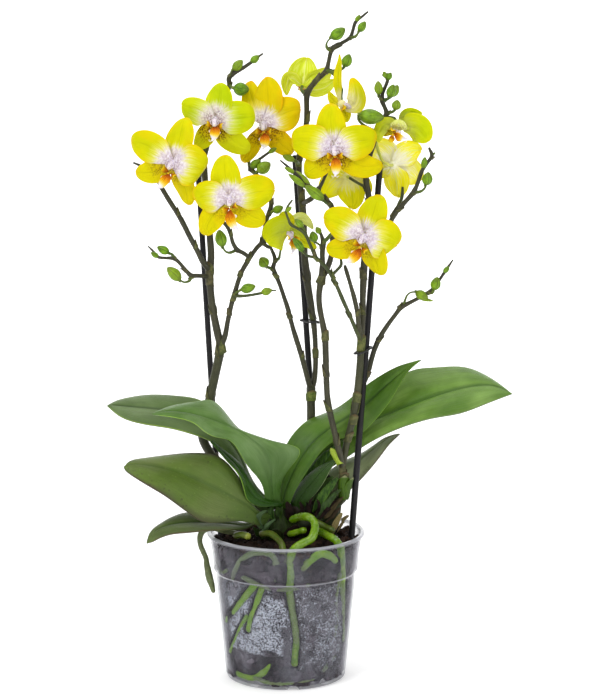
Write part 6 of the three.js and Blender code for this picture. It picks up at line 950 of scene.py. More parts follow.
FLSLOT = {1: "petal_yellow", 2: "petal_green_yellow", 3: "petal_golden", 4: "petal_yellow", 5: "petal_yellow", 6: "petal_yellow", 7: "petal_pale_green", 8: "petal_yellow", 9: "petal_yellow", 10: "petal_green_yellow", 11: "petal_green_yellow", 12: "petal_pale_green"}
SPOTS = {1: 0.55, 2: 1.0, 3: 0.85, 4: 0.45, 5: 0.95, 6: 0.5, 7: 0.1, 8: 0.2, 9: 0.0, 10: 0.7, 11: 0.3, 12: 0.0}
PALE = {1: 1.0, 2: 0.95, 3: 1.0, 4: 1.0, 5: 1.0, 6: 1.0, 7: 0.0, 8: 0.42, 9: 1.0, 10: 0.08, 11: 0.05, 12: 0.4}
FACES = {}
for n, d in FLOWERS.items():
    i = int(n.split("_")[1]); d["slot"] = FLSLOT[i]; d["spots"] = SPOTS[i]; d["pale"] = PALE[i]
    if i == 12: d["tint"] = "olive"
    if i == 8: d["tint"] = "lemon"
    FACES[n] = flower("orchid_" + n, n, n.replace("flower", "lip"), d, i, MATS)

# ------------------------------------------------------------------ spikes with their buds, bracts and stalks
bud_of = {}
for bn, (b, t, dia) in BUDS.items():
    best = min((min(np.linalg.norm(A(q[:3]) - A(b)) for q in spline(pts, 6)), sp) for sp, brs in SPIKES.items() for nm, pts in brs)
    bud_of.setdefault(best[1], []).append((b, t, dia))
# sheaths that stand out: spike, foot, tip, radius of the stem, side it opens to, wrap, flare, green
SHEATHS = [("spike_middle", (19.5, 24.3, 211.9), (19.5, 24.3, 220.6), 3.5, (0.3, -1, 0), 2.7, 0.9, 0.45),
    ("spike_right", (51.2, -4.5, 199), (52.5, -4.5, 207.6), 2.7, (0.2, -1, 0), 2.4, 0.9, 0.15),
    ("spike_right", (41.6, -6.5, 169), (35.1, -7.5, 182.5), 2.5, (-0.4, -1, 0.3), 1.7, 1.0, 2.0),
    ("spike_right", (44.5, -3.5, 140), (44.1, -3.5, 159.7), 3.4, (0.2, -1, 0), 2.9, 1.7, 1.5),
    ("spike_right", (45.2, -3.5, 141.6), (47, -4, 158.2), 3.2, (1, -0.6, 0), 2.4, 1.7, 1.5),
    ("spike_right", (44.5, -3.5, 154.2), (45, -3.5, 162), 2.9, (0.2, -1, 0), 2.9, 1.2, 0.1)]
for si, (sp, brs) in enumerate(SPIKES.items()):
    sh, dense = spike("orchid_" + sp, sp, brs, bud_of.get(sp, []), 11 + si, MATS)
    # the stalk behind each flower of this spike meets the flower's back
    for n, d in FLOWERS.items():
        if d.get("spike") == sp:
            e = A(d["back"]); c = A(d["c"]); f = FACES[n]
            end = c - f * 0.9
            run = spline([np.r_[e, d["back_r"]], np.r_[(e + end) / 2 - f * 0.6, d["back_r"] * 1.05], np.r_[end, 1.7]], 6)
            tube(sh, run, 12, 0, green=0.6, lime=1.0 if n in ("flower_9", "flower_12") else 0.0)
    for q in SHEATHS:
        if q[0] == sp: bract(sh, A(q[1]), A(q[2]) - A(q[1]), q[3], float(np.linalg.norm(A(q[2]) - A(q[1]))), A(q[4]), wrap=q[5], flare=q[6], green=min(q[7], 1.0), grass=0.0 if q[7] <= 1 else (1.0 if q[7] < 1.8 else 2.0), th=0.3)
    sh.object("orchid_" + sp, [STEMM, BUDM, BRACTM], sp, "stem_and_buds")

# ------------------------------------------------------------------ leaves
L_A = leaf_material("leaf_upper", lin(78, 104, 44), lin(102, 124, 74), lin(130, 156, 62), lin(36, 58, 8), lin(44, 66, 24), gloss=0.34)
L_B = leaf_material("leaf_folded", lin(74, 112, 32), lin(108, 136, 82), lin(146, 182, 70), lin(54, 94, 14), lin(48, 84, 22), gloss=0.30, rib=0.3)
L_C = leaf_material("leaf_large", lin(86, 110, 38), lin(102, 116, 62), lin(70, 52, 44), lin(48, 78, 22), lin(52, 80, 20), speckle=0.8, speckle_col=lin(62, 46, 42), gloss=0.36, edge_dark=0.7, rib=0.4, pins=0.32)
L_D = leaf_material("leaf_small", lin(88, 106, 52), lin(102, 116, 68), lin(92, 72, 54), lin(62, 86, 38), lin(60, 84, 36), speckle=0.3, speckle_col=lin(78, 60, 50), gloss=0.38, edge_dark=0.4)
L_E = leaf_material("leaf_upright", lin(66, 104, 20), lin(96, 128, 48), lin(122, 160, 52), lin(38, 70, 12), lin(36, 66, 12), gloss=0.28)
L_F = leaf_material("leaf_far", lin(78, 116, 22), lin(122, 156, 70), lin(104, 126, 68), lin(52, 84, 20), lin(48, 82, 14), gloss=0.30)
L_G = leaf_material("leaf_lower", lin(136, 148, 104), lin(152, 160, 122), lin(70, 50, 46), lin(112, 126, 88), lin(140, 152, 112), speckle=0.3, speckle_col=lin(70, 56, 50), gloss=0.36, edge_dark=0.5)
# leaf_inner: dark greens, partly the leaf's own colour, partly painted shade of its place low in the crown
L_I = leaf_material("leaf_inner", lin(42, 70, 16), lin(56, 84, 34), lin(126, 142, 96), lin(28, 52, 12), lin(30, 54, 12), gloss=0.30)
L_N = leaf_material("leaf_narrow", lin(36, 72, 6), lin(50, 88, 12), lin(132, 168, 60), lin(18, 58, 10), lin(18, 54, 8), gloss=0.30)
LEAFMAT = {"leaf_upper_left": (L_A, "leaf"), "leaf_folded_left": (L_B, "leaf"), "leaf_large_left": (L_C, "leaf"), "leaf_small_left": (L_D, "leaf"), "leaf_upright_right": (L_E, "leaf"), "leaf_far_right": (L_F, "leaf"), "leaf_lower_right": (L_G, "leaf_speckled"), "leaf_inner_right": (L_I, "leaf_bright"), "leaf_narrow_left": (L_N, "leaf_speckled")}
for i, (n, d) in enumerate(LEAVES.items()):
    leaf("orchid_" + n, n, LEAFMAT[n][1], d, LEAFMAT[n][0], i + 1, bulge=1.0, wave=0.5)

# ------------------------------------------------------------------ roots
R_GREEN = root_material("root_bright", lin(82, 122, 2), lin(112, 148, 10), lin(118, 152, 22), lin(160, 190, 74), gloss=0.24, low=lin(104, 124, 66), coat=0.45)
# darker olive root colours: partly the roots' own tone, partly painted shade for roots that lie low and behind others
R_SHADE = root_material("root_olive_shaded", lin(58, 78, 14), lin(84, 100, 28), lin(132, 142, 50), lin(84, 46, 22), gloss=0.36)
R_AIR = root_material("root_hanging", lin(84, 94, 56), lin(112, 120, 80), lin(96, 108, 62), lin(44, 44, 26), gloss=0.5)
R_WALL = root_material("root_wall_green", lin(98, 142, 10), lin(124, 162, 34), lin(118, 142, 50), lin(132, 152, 88), gloss=0.5)
R_PALE = root_material("root_wall_pale", lin(94, 114, 66), lin(110, 128, 82), lin(112, 132, 72), lin(128, 140, 108), gloss=0.55)
R = ROOTS
root("orchid_root_hook", "root_hook", "root_green", [R["root_hook"]], R_GREEN, 3, wob=0.07)
root("orchid_root_surface_right", "root_surface_right", "root_green", [R["root_surface_right"]], R_GREEN, 4)
root("orchid_root_surface_left", "root_surface_left", "root_green", [R["root_surface_left"]], R_SHADE, 5)
root("orchid_root_stub", "root_stub", "root_green", [R["root_stub"]], R_SHADE, 6, tips={0: 1.0})
root("orchid_root_hanging", "root_hanging", "root_green", [R["root_hanging"]], R_AIR, 7, tips={0: 0.3}, wob=0.09)
root("orchid_root_inner", "root_inner", "root_green", [R["root_inner"]], R_GREEN, 13)
root("orchid_root_back", "root_back", "root_green", [R["root_back"]], R_SHADE, 14)
root("orchid_root_wall_left_c", "root_wall_left_c", "root_pale", [R["root_wall_left_c"]], R_WALL, 15)
root("orchid_root_wall_arch", "root_wall_arch", "root_pale", [R["root_wall_arch"]], R_WALL, 8)
root("orchid_root_wall_left_a", "root_wall_left_a", "root_pale", [R["root_wall_left_a"]], R_WALL, 9)
root("orchid_root_wall_left_b", "root_wall_left_b", "root_pale", [R["root_wall_left_b"]], R_WALL, 10)
root("orchid_root_wall_loop", "root_wall_loop", "root_pale", [R["root_wall_loop"]], R_PALE, 11)
root("orchid_root_wall_base", "root_wall_base", "root_pale", [R["root_wall_base"]], R_WALL, 12)

# ------------------------------------------------------------------ crown: overlapping leaf bases, old dry sheaths
sh = Shape()
for i, run in enumerate(CROWN):
    P, d = even(spline(run, 10), 1.0)
    P[:, 3] *= 1 + 0.06 * bumps(P[:, :3], 8.0, 20 + i)
    k = lambda dd, th, i=i: 1 + 0.09 * np.abs(np.sin(2 * th + dd * 0.22 + i)) + 0.04 * np.sin(7 * th)
    tube(sh, P, 36, 0, swell=k, green=0.35 if i == 0 else 0.2)
rs = np.random.RandomState(5)
def scale(at, up, out, w, h, mat, wrap, g=0.0, flare=1.0):
    bract(sh, A(at), A(up), w, h, A(out), wrap=wrap, flare=flare, green=g, th=0.35, mat=mat)
CROWN_OB_SCALES = [
    ((-15, -6, 112), (-0.3, -0.1, 1), (-0.8, -0.6, 0), 7.0, 11, 0, 1.5, 0.5, 1.1), ((-9, -9, 112), (0.0, -0.2, 1), (0.1, -1, 0), 7.0, 10, 0, 1.4, 0.3, 1.0),
    ((3, -6, 113), (0.3, -0.1, 1), (0.4, -1, 0), 6.0, 11, 1, 1.3, 0.0, 1.2), ((14, -4, 113), (0.5, 0, 1), (0.5, -1, 0), 6.0, 11, 1, 1.2, 0.0, 1.3),
    ((26, -3, 112), (0.5, 0.0, 1), (0.6, -1, 0), 5.0, 10, 1, 1.3, 0.0, 1.3),
    ((8, 6, 112), (0.2, 0.4, 1), (0.1, 1, 0), 8.0, 15, 1, 1.5, 0.0, 1.1), ((-10, 5, 112), (-0.3, 0.3, 1), (-0.5, 1, 0), 8.0, 14, 0, 1.5, 0.4, 1.1),
    ((22, 6, 113), (0.5, 0.4, 1), (0.3, 1, 0), 7.0, 13, 1, 1.4, 0.0, 1.2),
]
for q in CROWN_OB_SCALES: scale(q[0], q[1], q[2], q[3], q[4], q[5], q[6], q[7], q[8])
# old leaf bases and young blades between the big leaves: base, middle, tip, width, side, cup, material, green, grey
BLADES = [
    ((-1.3, 4, 137.4), (17.9, 4, 159.5), (37.9, 1, 180.6), 9.0, (0.5, 0.2, 1), 0.25, 0, 0.95, 0.0),
    ((0.2, 1, 133.4), (13.3, 0, 151), (36.3, -2, 169.5), 5.0, (0.6, 0.1, 1), 0.35, 0, 0.7, 0.25),
    ((4.1, 0, 130.5), (17.1, -1, 148.1), (33.2, -3, 162.7), 6.5, (0.6, 0.1, 1), 0.25, 0, 0.35, 0.0),
    ((10.2, -2, 128.6), (22.5, -4, 144.8), (36.3, -5, 157.7), 7.0, (0.6, 0, 1), 0.25, 0, 0.6, 0.0),
    ((21, -7, 130.6), (29.4, -9, 145.2), (40.1, -8, 157.6), 7.5, (1, -0.1, 0.6), 0.2, 0, 0.9, 0.0),
    ((25.6, -9, 128.7), (33.2, -10, 139.9), (42.4, -9, 149.1), 6.5, (1, -0.2, 0.7), 0.2, 0, 0.55, 0.2),
    ((29.4, -11, 126), (37, -12, 135.7), (43.9, -10, 143.1), 6.0, (0.8, -0.2, 0.7), 0.2, 1, 0.25, 0.0),
    ((15.6, -7, 127.4), (17.9, -9, 133.4), (15.6, -9, 138.9), 3.0, (1, 0, 0), 0.3, 1, 0.0, 0.0),
    ((19.4, -8, 126.1), (17.9, -10, 134.4), (20.9, -10, 143.1), 2.6, (1, 0.1, 0), 0.3, 1, 0.0, 0.0),
    ((22.5, -9, 127.9), (25.6, -11, 134.7), (24, -11, 141.8), 3.0, (1, 0.2, 0), -0.3, 1, 0.0, 0.0),
    ((25.6, -10, 125), (29.4, -12, 131), (34.7, -12, 134.1), 3.4, (0.5, 0.1, 1), 0.3, 1, 0.0, 0.0),
    ((30.2, -11, 122.9), (35.5, -13, 128.9), (41.6, -13, 135.2), 3.8, (0.6, 0, 0.8), 0.3, 1, 0.1, 0.0),
    ((27.9, -10, 127.4), (32.4, -11, 135.5), (39.3, -11, 140.2), 3.4, (0.6, 0, 0.8), 0.3, 1, 0.0, 0.0),
    ((11, -7, 127.4), (12.5, -8, 134), (10.2, -8, 138.7), 3.2, (1, 0.1, 0), 0.3, 1, 0.0, 0.0),
    ((35.5, -13, 113.9), (38.6, -14, 123.6), (43.1, -14, 131.5), 4.6, (1, 0, 0.2), 0.4, 1, 0.95, 0.0),
    ((39.4, -12, 115.2), (43.9, -13, 124.9), (48.5, -12, 128.6), 3.4, (0.5, 0, 0.8), 0.4, 1, 0.5, 0.0),
    ((-8.2, -10, 124.2), (-11.2, -12, 131), (-10.4, -11, 136.3), 4.6, (1, 0, 0), 0.4, 0, 0.9, 0.1),
    ((-3.6, -8, 125.3), (-5.1, -9, 132.6), (-2.8, -8, 138.7), 5.5, (1, 0, 0), 0.35, 0, 0.6, 0.0),
    ((1.8, -6, 124), (2.6, -7, 131.4), (1, -6, 138.2), 5.5, (1, 0, 0), 0.35, 1, 0.0, 0.0),
    ((-16.4, -24, 121.4), (-19.8, -26, 129.7), (-13.4, -24, 135.5), 6.0, (0.8, -0.5, 0.3), 0.75, 0, 0.5, 0.55),
    ((-18, -24, 119.8), (-13.3, -27, 123.7), (-8, -24, 129.2), 4.6, (0.2, -0.4, 1), 0.75, 0, 0.5, 0.6),
]
for i, (b0, b1, b2, w, side, cup, mt, gr, gy) in enumerate(BLADES):
    before = len(sh.v); blade_small(sh, b0, b1, b2, side, w, cup, mt, 0.0, n=18, m=11, tip=0.55, base=0.75, th=0.4, seed=i)
    k_ = len(sh.v[-1])
    sh.v[-1] = sh.v[-1] + np.column_stack([bumps(sh.v[-1], 4.0, 40 + i + a) for a in range(3)]) * 0.35
    for nm_, val in (("green", gr), ("grey", gy)):
        if nm_ not in sh.att: sh.att[nm_] = [np.zeros(sh.n - k_), np.zeros(k_)]
        sh.att[nm_][-1] = np.full(k_, val)
# a near-black heart of old tissue behind them, its darkness partly painted shade filling the gaps between the leaf
# bases
for run in ([(*(-9, -2, 125.4), 4.5), (*(-2.1, 1, 126.3), 6.5), (*(9.5, 3, 129.7), 8.0), (*(21.8, 2, 133.1), 8.0), (*(32.5, -3, 133.6), 6.0)], [(*(11, 10, 132), 6.0), (*(20.3, 10, 142.3), 6.0), (*(31.1, 8, 153.9), 4.0)]):
    P_, _ = even(spline(run, 8), 1.0); P_[:, 3] *= 1 + 0.12 * bumps(P_[:, :3], 5.0, 33); tube(sh, P_, 24, 0, green=0.05)
sh.object("orchid_crown", [crown_material(), dry_material()], "crown", "crown_tissue")

# ------------------------------------------------------------------ sticks and clips
STICK = stick_material()
for n, d in STAKES.items():
    a, b, r = A(d["a"]), A(d["b"]), d["r"]
    sh = Shape(); P = np.array([np.r_[a + (b - a) * t, r * (1 - 0.05 * t)] for t in np.linspace(0, 1, 60)])
    P[:, 3] *= 1 + 0.02 * bumps(P[:, :3], 40.0, 2)
    tube(sh, P, 20, 0, cap=0.35)
    sh.object("orchid_" + n, [STICK], n, "dark_stick")
WIRE = wire_material()
for n, (stick, stem, radius, tilt) in CLIPS.items():
    # a loop of wire round stick and stem, its two ends turned out at the side like a spring clip
    sh = Shape(); s0, s1 = A(stick), A(stem); L = np.linalg.norm(s1 - s0); w = 0.78; r = radius + 0.3 + w
    mid = (s0 + s1) / 2; yaw = math.atan2(s1[1] - s0[1], s1[0] - s0[0]); tl = math.radians(-tilt); pts = []
    def place(x, y, z):
        x, y = x * math.cos(yaw) - y * math.sin(yaw), x * math.sin(yaw) + y * math.cos(yaw)
        return mid + A((x * math.cos(tl) + z * math.sin(tl), y, -x * math.sin(tl) + z * math.cos(tl)))
    for i in range(49):
        th = 2 * math.pi * i / 48 + 0.35
        c, s_ = math.cos(th), math.sin(th)
        pts.append(np.r_[place(r * c + (L / 2 if c > 0 else -L / 2), r * s_, 0.9 * (i / 48 - 0.5)), w])
    a0, a1 = pts[0][:3], pts[-1][:3]; out = unit(a0 - mid)
    pts = [np.r_[a0 + out * 1.5, w * 0.8], np.r_[a0 + out * 0.6, w]] + pts[1:-1] + [np.r_[a1 + out * 0.8, w], np.r_[a1 + out * 2.0, w * 0.8]]
    P, _ = even(A(pts), 0.5); P[:, :3] = relax(P[:, :3], 2)
    tube(sh, P, 10, 0)
    sh.object("orchid_" + n, [WIRE], n, "clip_wire")

# ------------------------------------------------------------------ bark: packed chips, a near-black filler behind them as painted shade, bloom on the wall side
def wall_in(z):
    p = POT_IN
    return np.interp(z, [q[1] for q in p], [q[0] for q in p])
def chip(rs, size, flat):
    """An irregular bark flake: a box cut by noise, with chipped corners."""
    n = 3 if size > 4.2 else 2; V, F = [], []; idx = {}
    def vid(i, j, k):
        if (i, j, k) not in idx:
            p = A((i, j, k)) / n * 2 - 1
            idx[(i, j, k)] = len(V); V.append(p)
        return idx[(i, j, k)]
    for a in range(n):
        for b in range(n):
            for (f, g) in ((lambda a, b: (a, b, 0), 1), (lambda a, b: (a, b, n), 0), (lambda a, b: (a, 0, b), 0), (lambda a, b: (a, n, b), 1), (lambda a, b: (0, a, b), 1), (lambda a, b: (n, a, b), 0)):
                q = [vid(*f(a, b)), vid(*f(a + 1, b)), vid(*f(a + 1, b + 1)), vid(*f(a, b + 1))]
                F.append(tuple(q[::-1]) if g else tuple(q))
    V = A(V); V = V / (np.linalg.norm(V, axis=1) ** 0.42)[:, None]
    swell, nick = rs.uniform(-0.16, 0.16, (56, 1)), rs.normal(0, 0.05, (56, 3)); V = V * (1 + swell[:len(V)]) + nick[:len(V)]
    V *= A((size * rs.uniform(0.7, 1.3), size * rs.uniform(0.45, 0.85), flat * rs.uniform(0.7, 1.4)))
    return V, F
def turn(rs, out=None, spread=0.5):
    z = unit(rs.normal(0, 1, 3)) if out is None else unit(A(out) + rs.normal(0, spread, 3))
    x = unit(np.cross(z, rs.normal(0, 1, 3))); return np.column_stack([x, np.cross(z, x), z])
rs = np.random.RandomState(21)
sh = Shape()
# near-black filler body: painted shade in the gaps between and below the chips
prof = [(0.5, 4.2), (38, 4.4), (43.0, 6.0), (44.6, 20), (46.8, 40), (48.6, 60), (49.8, 80), (52.2, 92), (53.6, 101), (48, 104.5), (34, 105.2), (16, 106.8), (0.5, 107.5)]
ns = 96; V, F = [], []
for r, z in prof:
    for j in range(ns):
        a = 2 * math.pi * j / ns; V.append((r * math.cos(a), r * math.sin(a), z))
V = A(V); nrm = V * A((1, 1, 0)); nrm /= np.linalg.norm(nrm, axis=1)[:, None]
V += nrm * (bumps(V, 7.0, 3) * 0.9)[:, None] * (np.hypot(V[:, 0], V[:, 1]) > 30)[:, None] + A((0, 0, 1)) * (bumps(V, 6.0, 5) * 0.8)[:, None] * (V[:, 2] > 103)[:, None]
m = len(prof)
F = [(i * ns + j, i * ns + (j + 1) % ns, (i + 1) * ns + (j + 1) % ns, (i + 1) * ns + j) for i in range(m - 1) for j in range(ns)]
V = np.vstack([V, (0, 0, 4.2), (0, 0, 107.6)]); a, b = m * ns, m * ns + 1
F += [(a, (j + 1) % ns, j) for j in range(ns)] + [(b, (m - 1) * ns + j, (m - 1) * ns + (j + 1) % ns) for j in range(ns)]
sh.add(V, F, 0, tone=0.05, wall=0.0)
AVOID = np.vstack([spline(r, 4) for r in ROOTS.values()])
DENSE = np.vstack([even(spline(r, 8), 1.0)[0] for n_, r in ROOTS.items() if "wall" in n_ or n_ in ("root_hook", "root_surface_right")]); DENSE = DENSE[np.hypot(DENSE[:, 0], DENSE[:, 1]) > 38]
def over_root(V):
    """True where a chip would lie between a root and the wall: tested flat, round the pot and up it."""
    a = np.arctan2(V[:, 1], V[:, 0]); ra = np.arctan2(DENSE[:, 1], DENSE[:, 0])
    da = (a[:, None] - ra[None, :] + math.pi) % (2 * math.pi) - math.pi
    return bool((np.hypot(da * 50, V[:, 2][:, None] - DENSE[None, :, 2]) - DENSE[None, :, 3]).min() < 0.25)
def clear_of_roots(p, d):
    return (np.linalg.norm(AVOID[:, :3] - p, axis=1) - AVOID[:, 3]).min() > d
placed = 0
for i in range(1700):  # against the wall
    z = rs.uniform(4, 106); a = rs.uniform(0, 2 * math.pi); size = rs.uniform(2.6, 7.4) * (1 if rs.rand() > 0.3 else 0.55)
    r = wall_in(z) - rs.uniform(1.6, 3.6); c = A((r * math.cos(a), r * math.sin(a), z))
    if not clear_of_roots(c, 1.2): continue
    V, F = chip(rs, size, rs.uniform(1.3, 2.6)); V = V @ turn(rs, (math.cos(a), math.sin(a), 0), 0.45).T + c
    rr = np.hypot(V[:, 0], V[:, 1]); lim = wall_in(V[:, 2]) - 0.35; k = np.minimum(1, lim / np.maximum(rr, 1e-6)); V[:, :2] *= k[:, None]
    V[:, 2] = np.clip(V[:, 2], 2.6, 108.5)
    if over_root(V): continue
    sh.add(V, F, 0, tone=float(np.clip(rs.beta(2, 3.4), 0, 1)), wall=1.0); placed += 1
for i in range(900):  # on top
    r = 54 * math.sqrt(rs.rand()); a = rs.uniform(0, 2 * math.pi); size = rs.uniform(1.8, 5.6) * (1 if rs.rand() > 0.35 else 0.55)
    z = 106.2 + (1 - r / 54) * 3.0 + rs.uniform(-1.2, 1.4); c = A((r * math.cos(a), r * math.sin(a), z))
    if not clear_of_roots(c, 0.6): continue
    V, F = chip(rs, size, rs.uniform(1.0, 2.2)); V = V @ turn(rs, (0, 0, 1), 0.9).T + c
    rr = np.hypot(V[:, 0], V[:, 1]); lim = wall_in(np.minimum(V[:, 2], 112)) - 0.5; k = np.minimum(1, lim / np.maximum(rr, 1e-6)); V[:, :2] *= k[:, None]
    V[:, 2] = np.clip(V[:, 2], 100, 113.5)
    sh.add(V, F, 0, tone=float(np.clip(rs.beta(2, 3.0), 0, 1)), wall=0.0)
# pale bloom: crusts of tiny grains where the bark presses on the wall
def bloom(count, az0, az1, z0, z1, edge, seed, big=1.0):
    r2 = np.random.RandomState(seed)
    for i in range(count):
        a = math.radians(r2.uniform(az0, az1)); z = r2.uniform(z0, z1)
        u = (math.degrees(a) - (az0 + az1) / 2) / ((az1 - az0) / 2); w = (z - (z0 + z1) / 2) / ((z1 - z0) / 2)
        q = abs(u) ** 2.4 + abs(w) ** 2.4 + 0.45 * float(bumps(A((a * 46, z, seed)), 7.0, seed % 5)[0])
        if q > 1 or r2.rand() > (1 - q) * edge + 0.12: continue
        if float(bumps(A((a * 46, z, 3.0)), 2.0, 2)[0]) > 0.42: continue
        s = r2.uniform(0.22, 0.6) * big; r = wall_in(z) - 0.42
        c = A((r * math.cos(a), r * math.sin(a), z))
        if (np.linalg.norm(AVOID[:, :3] - c, axis=1) - AVOID[:, 3]).min() < 0.9: continue
        tt = A((-math.sin(a), math.cos(a), 0)); up = A((0, 0, 1)); out = A((math.cos(a), math.sin(a), 0))
        m_ = r2.randint(5, 8); ph = r2.uniform(0, 6.28)
        ring = [c + (tt * math.cos(6.2832 * j / m_ + ph) + up * math.sin(6.2832 * j / m_ + ph)) * s * r2.uniform(0.7, 1.35) for j in range(m_)]
        V = [p - out * 0.12 for p in ring] + [c + (p - c) * 0.6 + out * 0.14 for p in ring]
        F = [tuple(range(m_))[::-1], tuple(range(m_, 2 * m_))] + [(j, (j + 1) % m_, m_ + (j + 1) % m_, m_ + j) for j in range(m_)]
        sh.add(V, F, 1, tone=float(r2.rand()), wall=1.0)
bloom(200, 212, 262, 28, 70, 0.9, 31, 0.6)
bloom(120, 292, 330, 14, 48, 0.5, 33, 0.6)
bloom(200, 20, 70, 14, 70, 0.6, 36, 0.7)
bloom(240, 110, 168, 12, 62, 0.7, 37, 0.7)
def wall_run(pts, r0, r1, lift=0.0):
    """A root pressed against the wall: points as bearing in degrees and height."""
    out_ = []
    for i_, (az_, z_) in enumerate(pts):
        rad = r0 + (r1 - r0) * i_ / (len(pts) - 1); q = wall_in(z_) - rad * 0.62 - 0.45 - lift
        out_.append((q * math.cos(math.radians(az_)), q * math.sin(math.radians(az_)), z_, rad))
    P_, _ = even(spline(out_, 8), 1.0); P_[:, 3] *= 1 + 0.10 * bumps(P_[:, :3], 6.0, 9)
    tube(sh, P_, 16, 2, tip=0.0, dirt=0.3)
wall_run([(-128, 88), (-112, 83), (-96, 81.0), (-80, 82), (-70, 84)], 1.9, 2.1, 0.8)
wall_run([(-148, 90), (-154, 87), (-162, 88)], 1.5, 1.2)
wall_run([(-98, 104), (-101, 96), (-100, 88)], 1.8, 1.6, 1.4)
wall_run([(-122, 7.5), (-108, 5.4), (-92, 5.2), (-74, 6.2), (-62, 7.0)], 1.7, 1.5, 0.3)
wall_run([(-60, 10), (-46, 14), (-34, 22)], 2.2, 1.6, 0.6)
wall_run([(-38, 88), (-40, 70), (-36, 50), (-38, 34)], 1.7, 1.3, 0.4)
wall_run([(20, 98), (30, 70), (26, 40), (34, 20)], 2.0, 1.5, 0.4)
wall_run([(120, 96), (112, 76), (118, 52), (108, 30)], 2.2, 1.6, 0.4)
wall_run([(60, 100), (72, 84), (90, 80), (104, 86)], 2.0, 1.6, 0.4)
wall_run([(150, 30), (132, 14), (110, 10), (90, 16)], 2.0, 1.6, 0.4)
sh.object("orchid_bark", [bark_material(), bloom_material(), R_PALE], "bark_substrate", "bark", flat=False)

# ------------------------------------------------------------------ pot
def root_mask(r, z, n):
    """0 where a root presses against the wall, 1 elsewhere, along one ring of the wall."""
    a = 2 * math.pi * np.arange(n) / n; ra = np.arctan2(DENSE[:, 1], DENSE[:, 0])
    da = (a[:, None] - ra[None, :] + math.pi) % (2 * math.pi) - math.pi
    return smoothstep(-0.2, 0.9, (np.hypot(da * r, z - DENSE[None, :, 2]) - DENSE[None, :, 3]).min(axis=1))
def lathe(profile, n, name, mat, rim=None):
    V, F = [], []; m = len(profile)
    for r, z in profile:
        for j in range(n): a = 2 * math.pi * j / n; V.append((r * math.cos(a), r * math.sin(a), z))
    for i in range(m):
        k = (i + 1) % m
        for j in range(n): F.append((i * n + j, i * n + (j + 1) % n, k * n + (j + 1) % n, k * n + j))
    sh = Shape(); sh.add(A(V), F, 0, rim=np.repeat([rim(i, r, z) for i, (r, z) in enumerate(profile)], n) if rim else 0.0, inner=np.concatenate([root_mask(r, z, n) if len(out) <= i < len(out) + len(inn) and 3 < z < 83.5 else np.zeros(n) for i, (r, z) in enumerate(profile)]))
    return sh
def arc(c, r, a0, a1, n):
    return [(c[0] + r * math.cos(math.radians(a)), c[1] + r * math.sin(math.radians(a))) for a in np.linspace(a0, a1, n)]
out = [(44.0, 0.0)] + arc((43.9, 2.5), 2.5, -80, -10, 6) + [(47.0, 8.5), (48.8, 28), (51.9, 59), (53.0, 70), (53.5, 80.0)] + \
      [(53.65, 82.2), (53.95, 83.2), (54.6, 84.1), (55.3, 84.8), (55.6, 85.4), (55.75, 86.2), (56.4, 97), (58.0, 107), (58.35, 110.3)] + \
      [(58.75, 111.2), (59.5, 111.55), (60.1, 111.75)] + arc((59.55, 113.1), 1.25, -65, 90, 9) + arc((58.6, 113.3), 1.05, 95, 178, 5)
inn = [(57.1, 112.0), (57.0, 110.3), (56.7, 107), (55.1, 97), (54.45, 86.8), (54.0, 85.9), (53.2, 85.1), (52.6, 84.2), (52.35, 83.0), (52.2, 80), (51.7, 70), (50.6, 59), (47.5, 28), (45.7, 8.5), (45.0, 3.6), (43.9, 2.3), (42.5, 2.0)]
lo_z = np.array([q[1] for q in inn])[::-1]; lo_r = np.array([q[0] for q in inn])[::-1]
inn = [q for q in inn if q[1] >= 83] + [(float(np.interp(z, lo_z, lo_r)), float(z)) for z in np.arange(81.8, 4.0, -1.2)] + [q for q in inn if q[1] < 3.7]
ring = [(42.5, 2.0), (30, 2.0), (12, 2.0), (0.3, 2.0), (0.3, 0.0), (12, 0.0), (30, 0.0)]
prof_all = out + inn + ring[1:]
# rim values: painted highlight lines on the lip and the outer step ring, and a fainter pale band at the bottom edge
sh = lathe(prof_all, 216, "pot", None, rim=lambda i, r, z: (0.85 if z > 112.6 else 0.3) if z > 111.5 else (0.75 if 84.0 < z < 85.2 and i < len(out) else (0.25 if z < 1.2 else 0.0)))
pot = sh.object("orchid_pot", [pot_material()], None, None)
cut = []
def cutter(verts_box, rot, name):
    me = bpy.data.meshes.new(name); bm = bmesh.new(); bmesh.ops.create_cube(bm, size=1.0)
    bmesh.ops.scale(bm, vec=verts_box[3:], verts=bm.verts); bmesh.ops.translate(bm, vec=verts_box[:3], verts=bm.verts)
    bmesh.ops.bevel(bm, geom=[e for e in bm.edges if abs((e.verts[0].co - e.verts[1].co).normalized().x) > 0.9], offset=0.0012, segments=3, affect="EDGES")
    bmesh.ops.rotate(bm, cent=(0, 0, 0), matrix=Matrix.Rotation(rot, 3, "Z"), verts=bm.verts); bm.to_mesh(me); bm.free()
    o = bpy.data.objects.new(name, me); bpy.context.scene.collection.objects.link(o); return o
for i in range(4):
    rot = math.radians(POT_NOTCH_TURN + i * 90)
    cut.append(cutter((0.0450, 0, 0.0, 0.012, 0.0088, 0.0060), rot, "cut_notch_%d" % i))
    me = bpy.data.meshes.new("cut_hole"); bm = bmesh.new(); bmesh.ops.create_cone(bm, cap_ends=True, segments=24, radius1=0.004, radius2=0.004, depth=0.02)
    a = math.radians(POT_NOTCH_TURN + 45 + i * 90); bmesh.ops.translate(bm, vec=(0.028 * math.cos(a), 0.028 * math.sin(a), 0), verts=bm.verts); bm.to_mesh(me); bm.free()
    o = bpy.data.objects.new("cut_hole_%d" % i, me); bpy.context.scene.collection.objects.link(o); cut.append(o)
for o in cut:
    md = pot.modifiers.new("cut", "BOOLEAN"); md.operation = "DIFFERENCE"; md.solver = "EXACT"; md.object = o
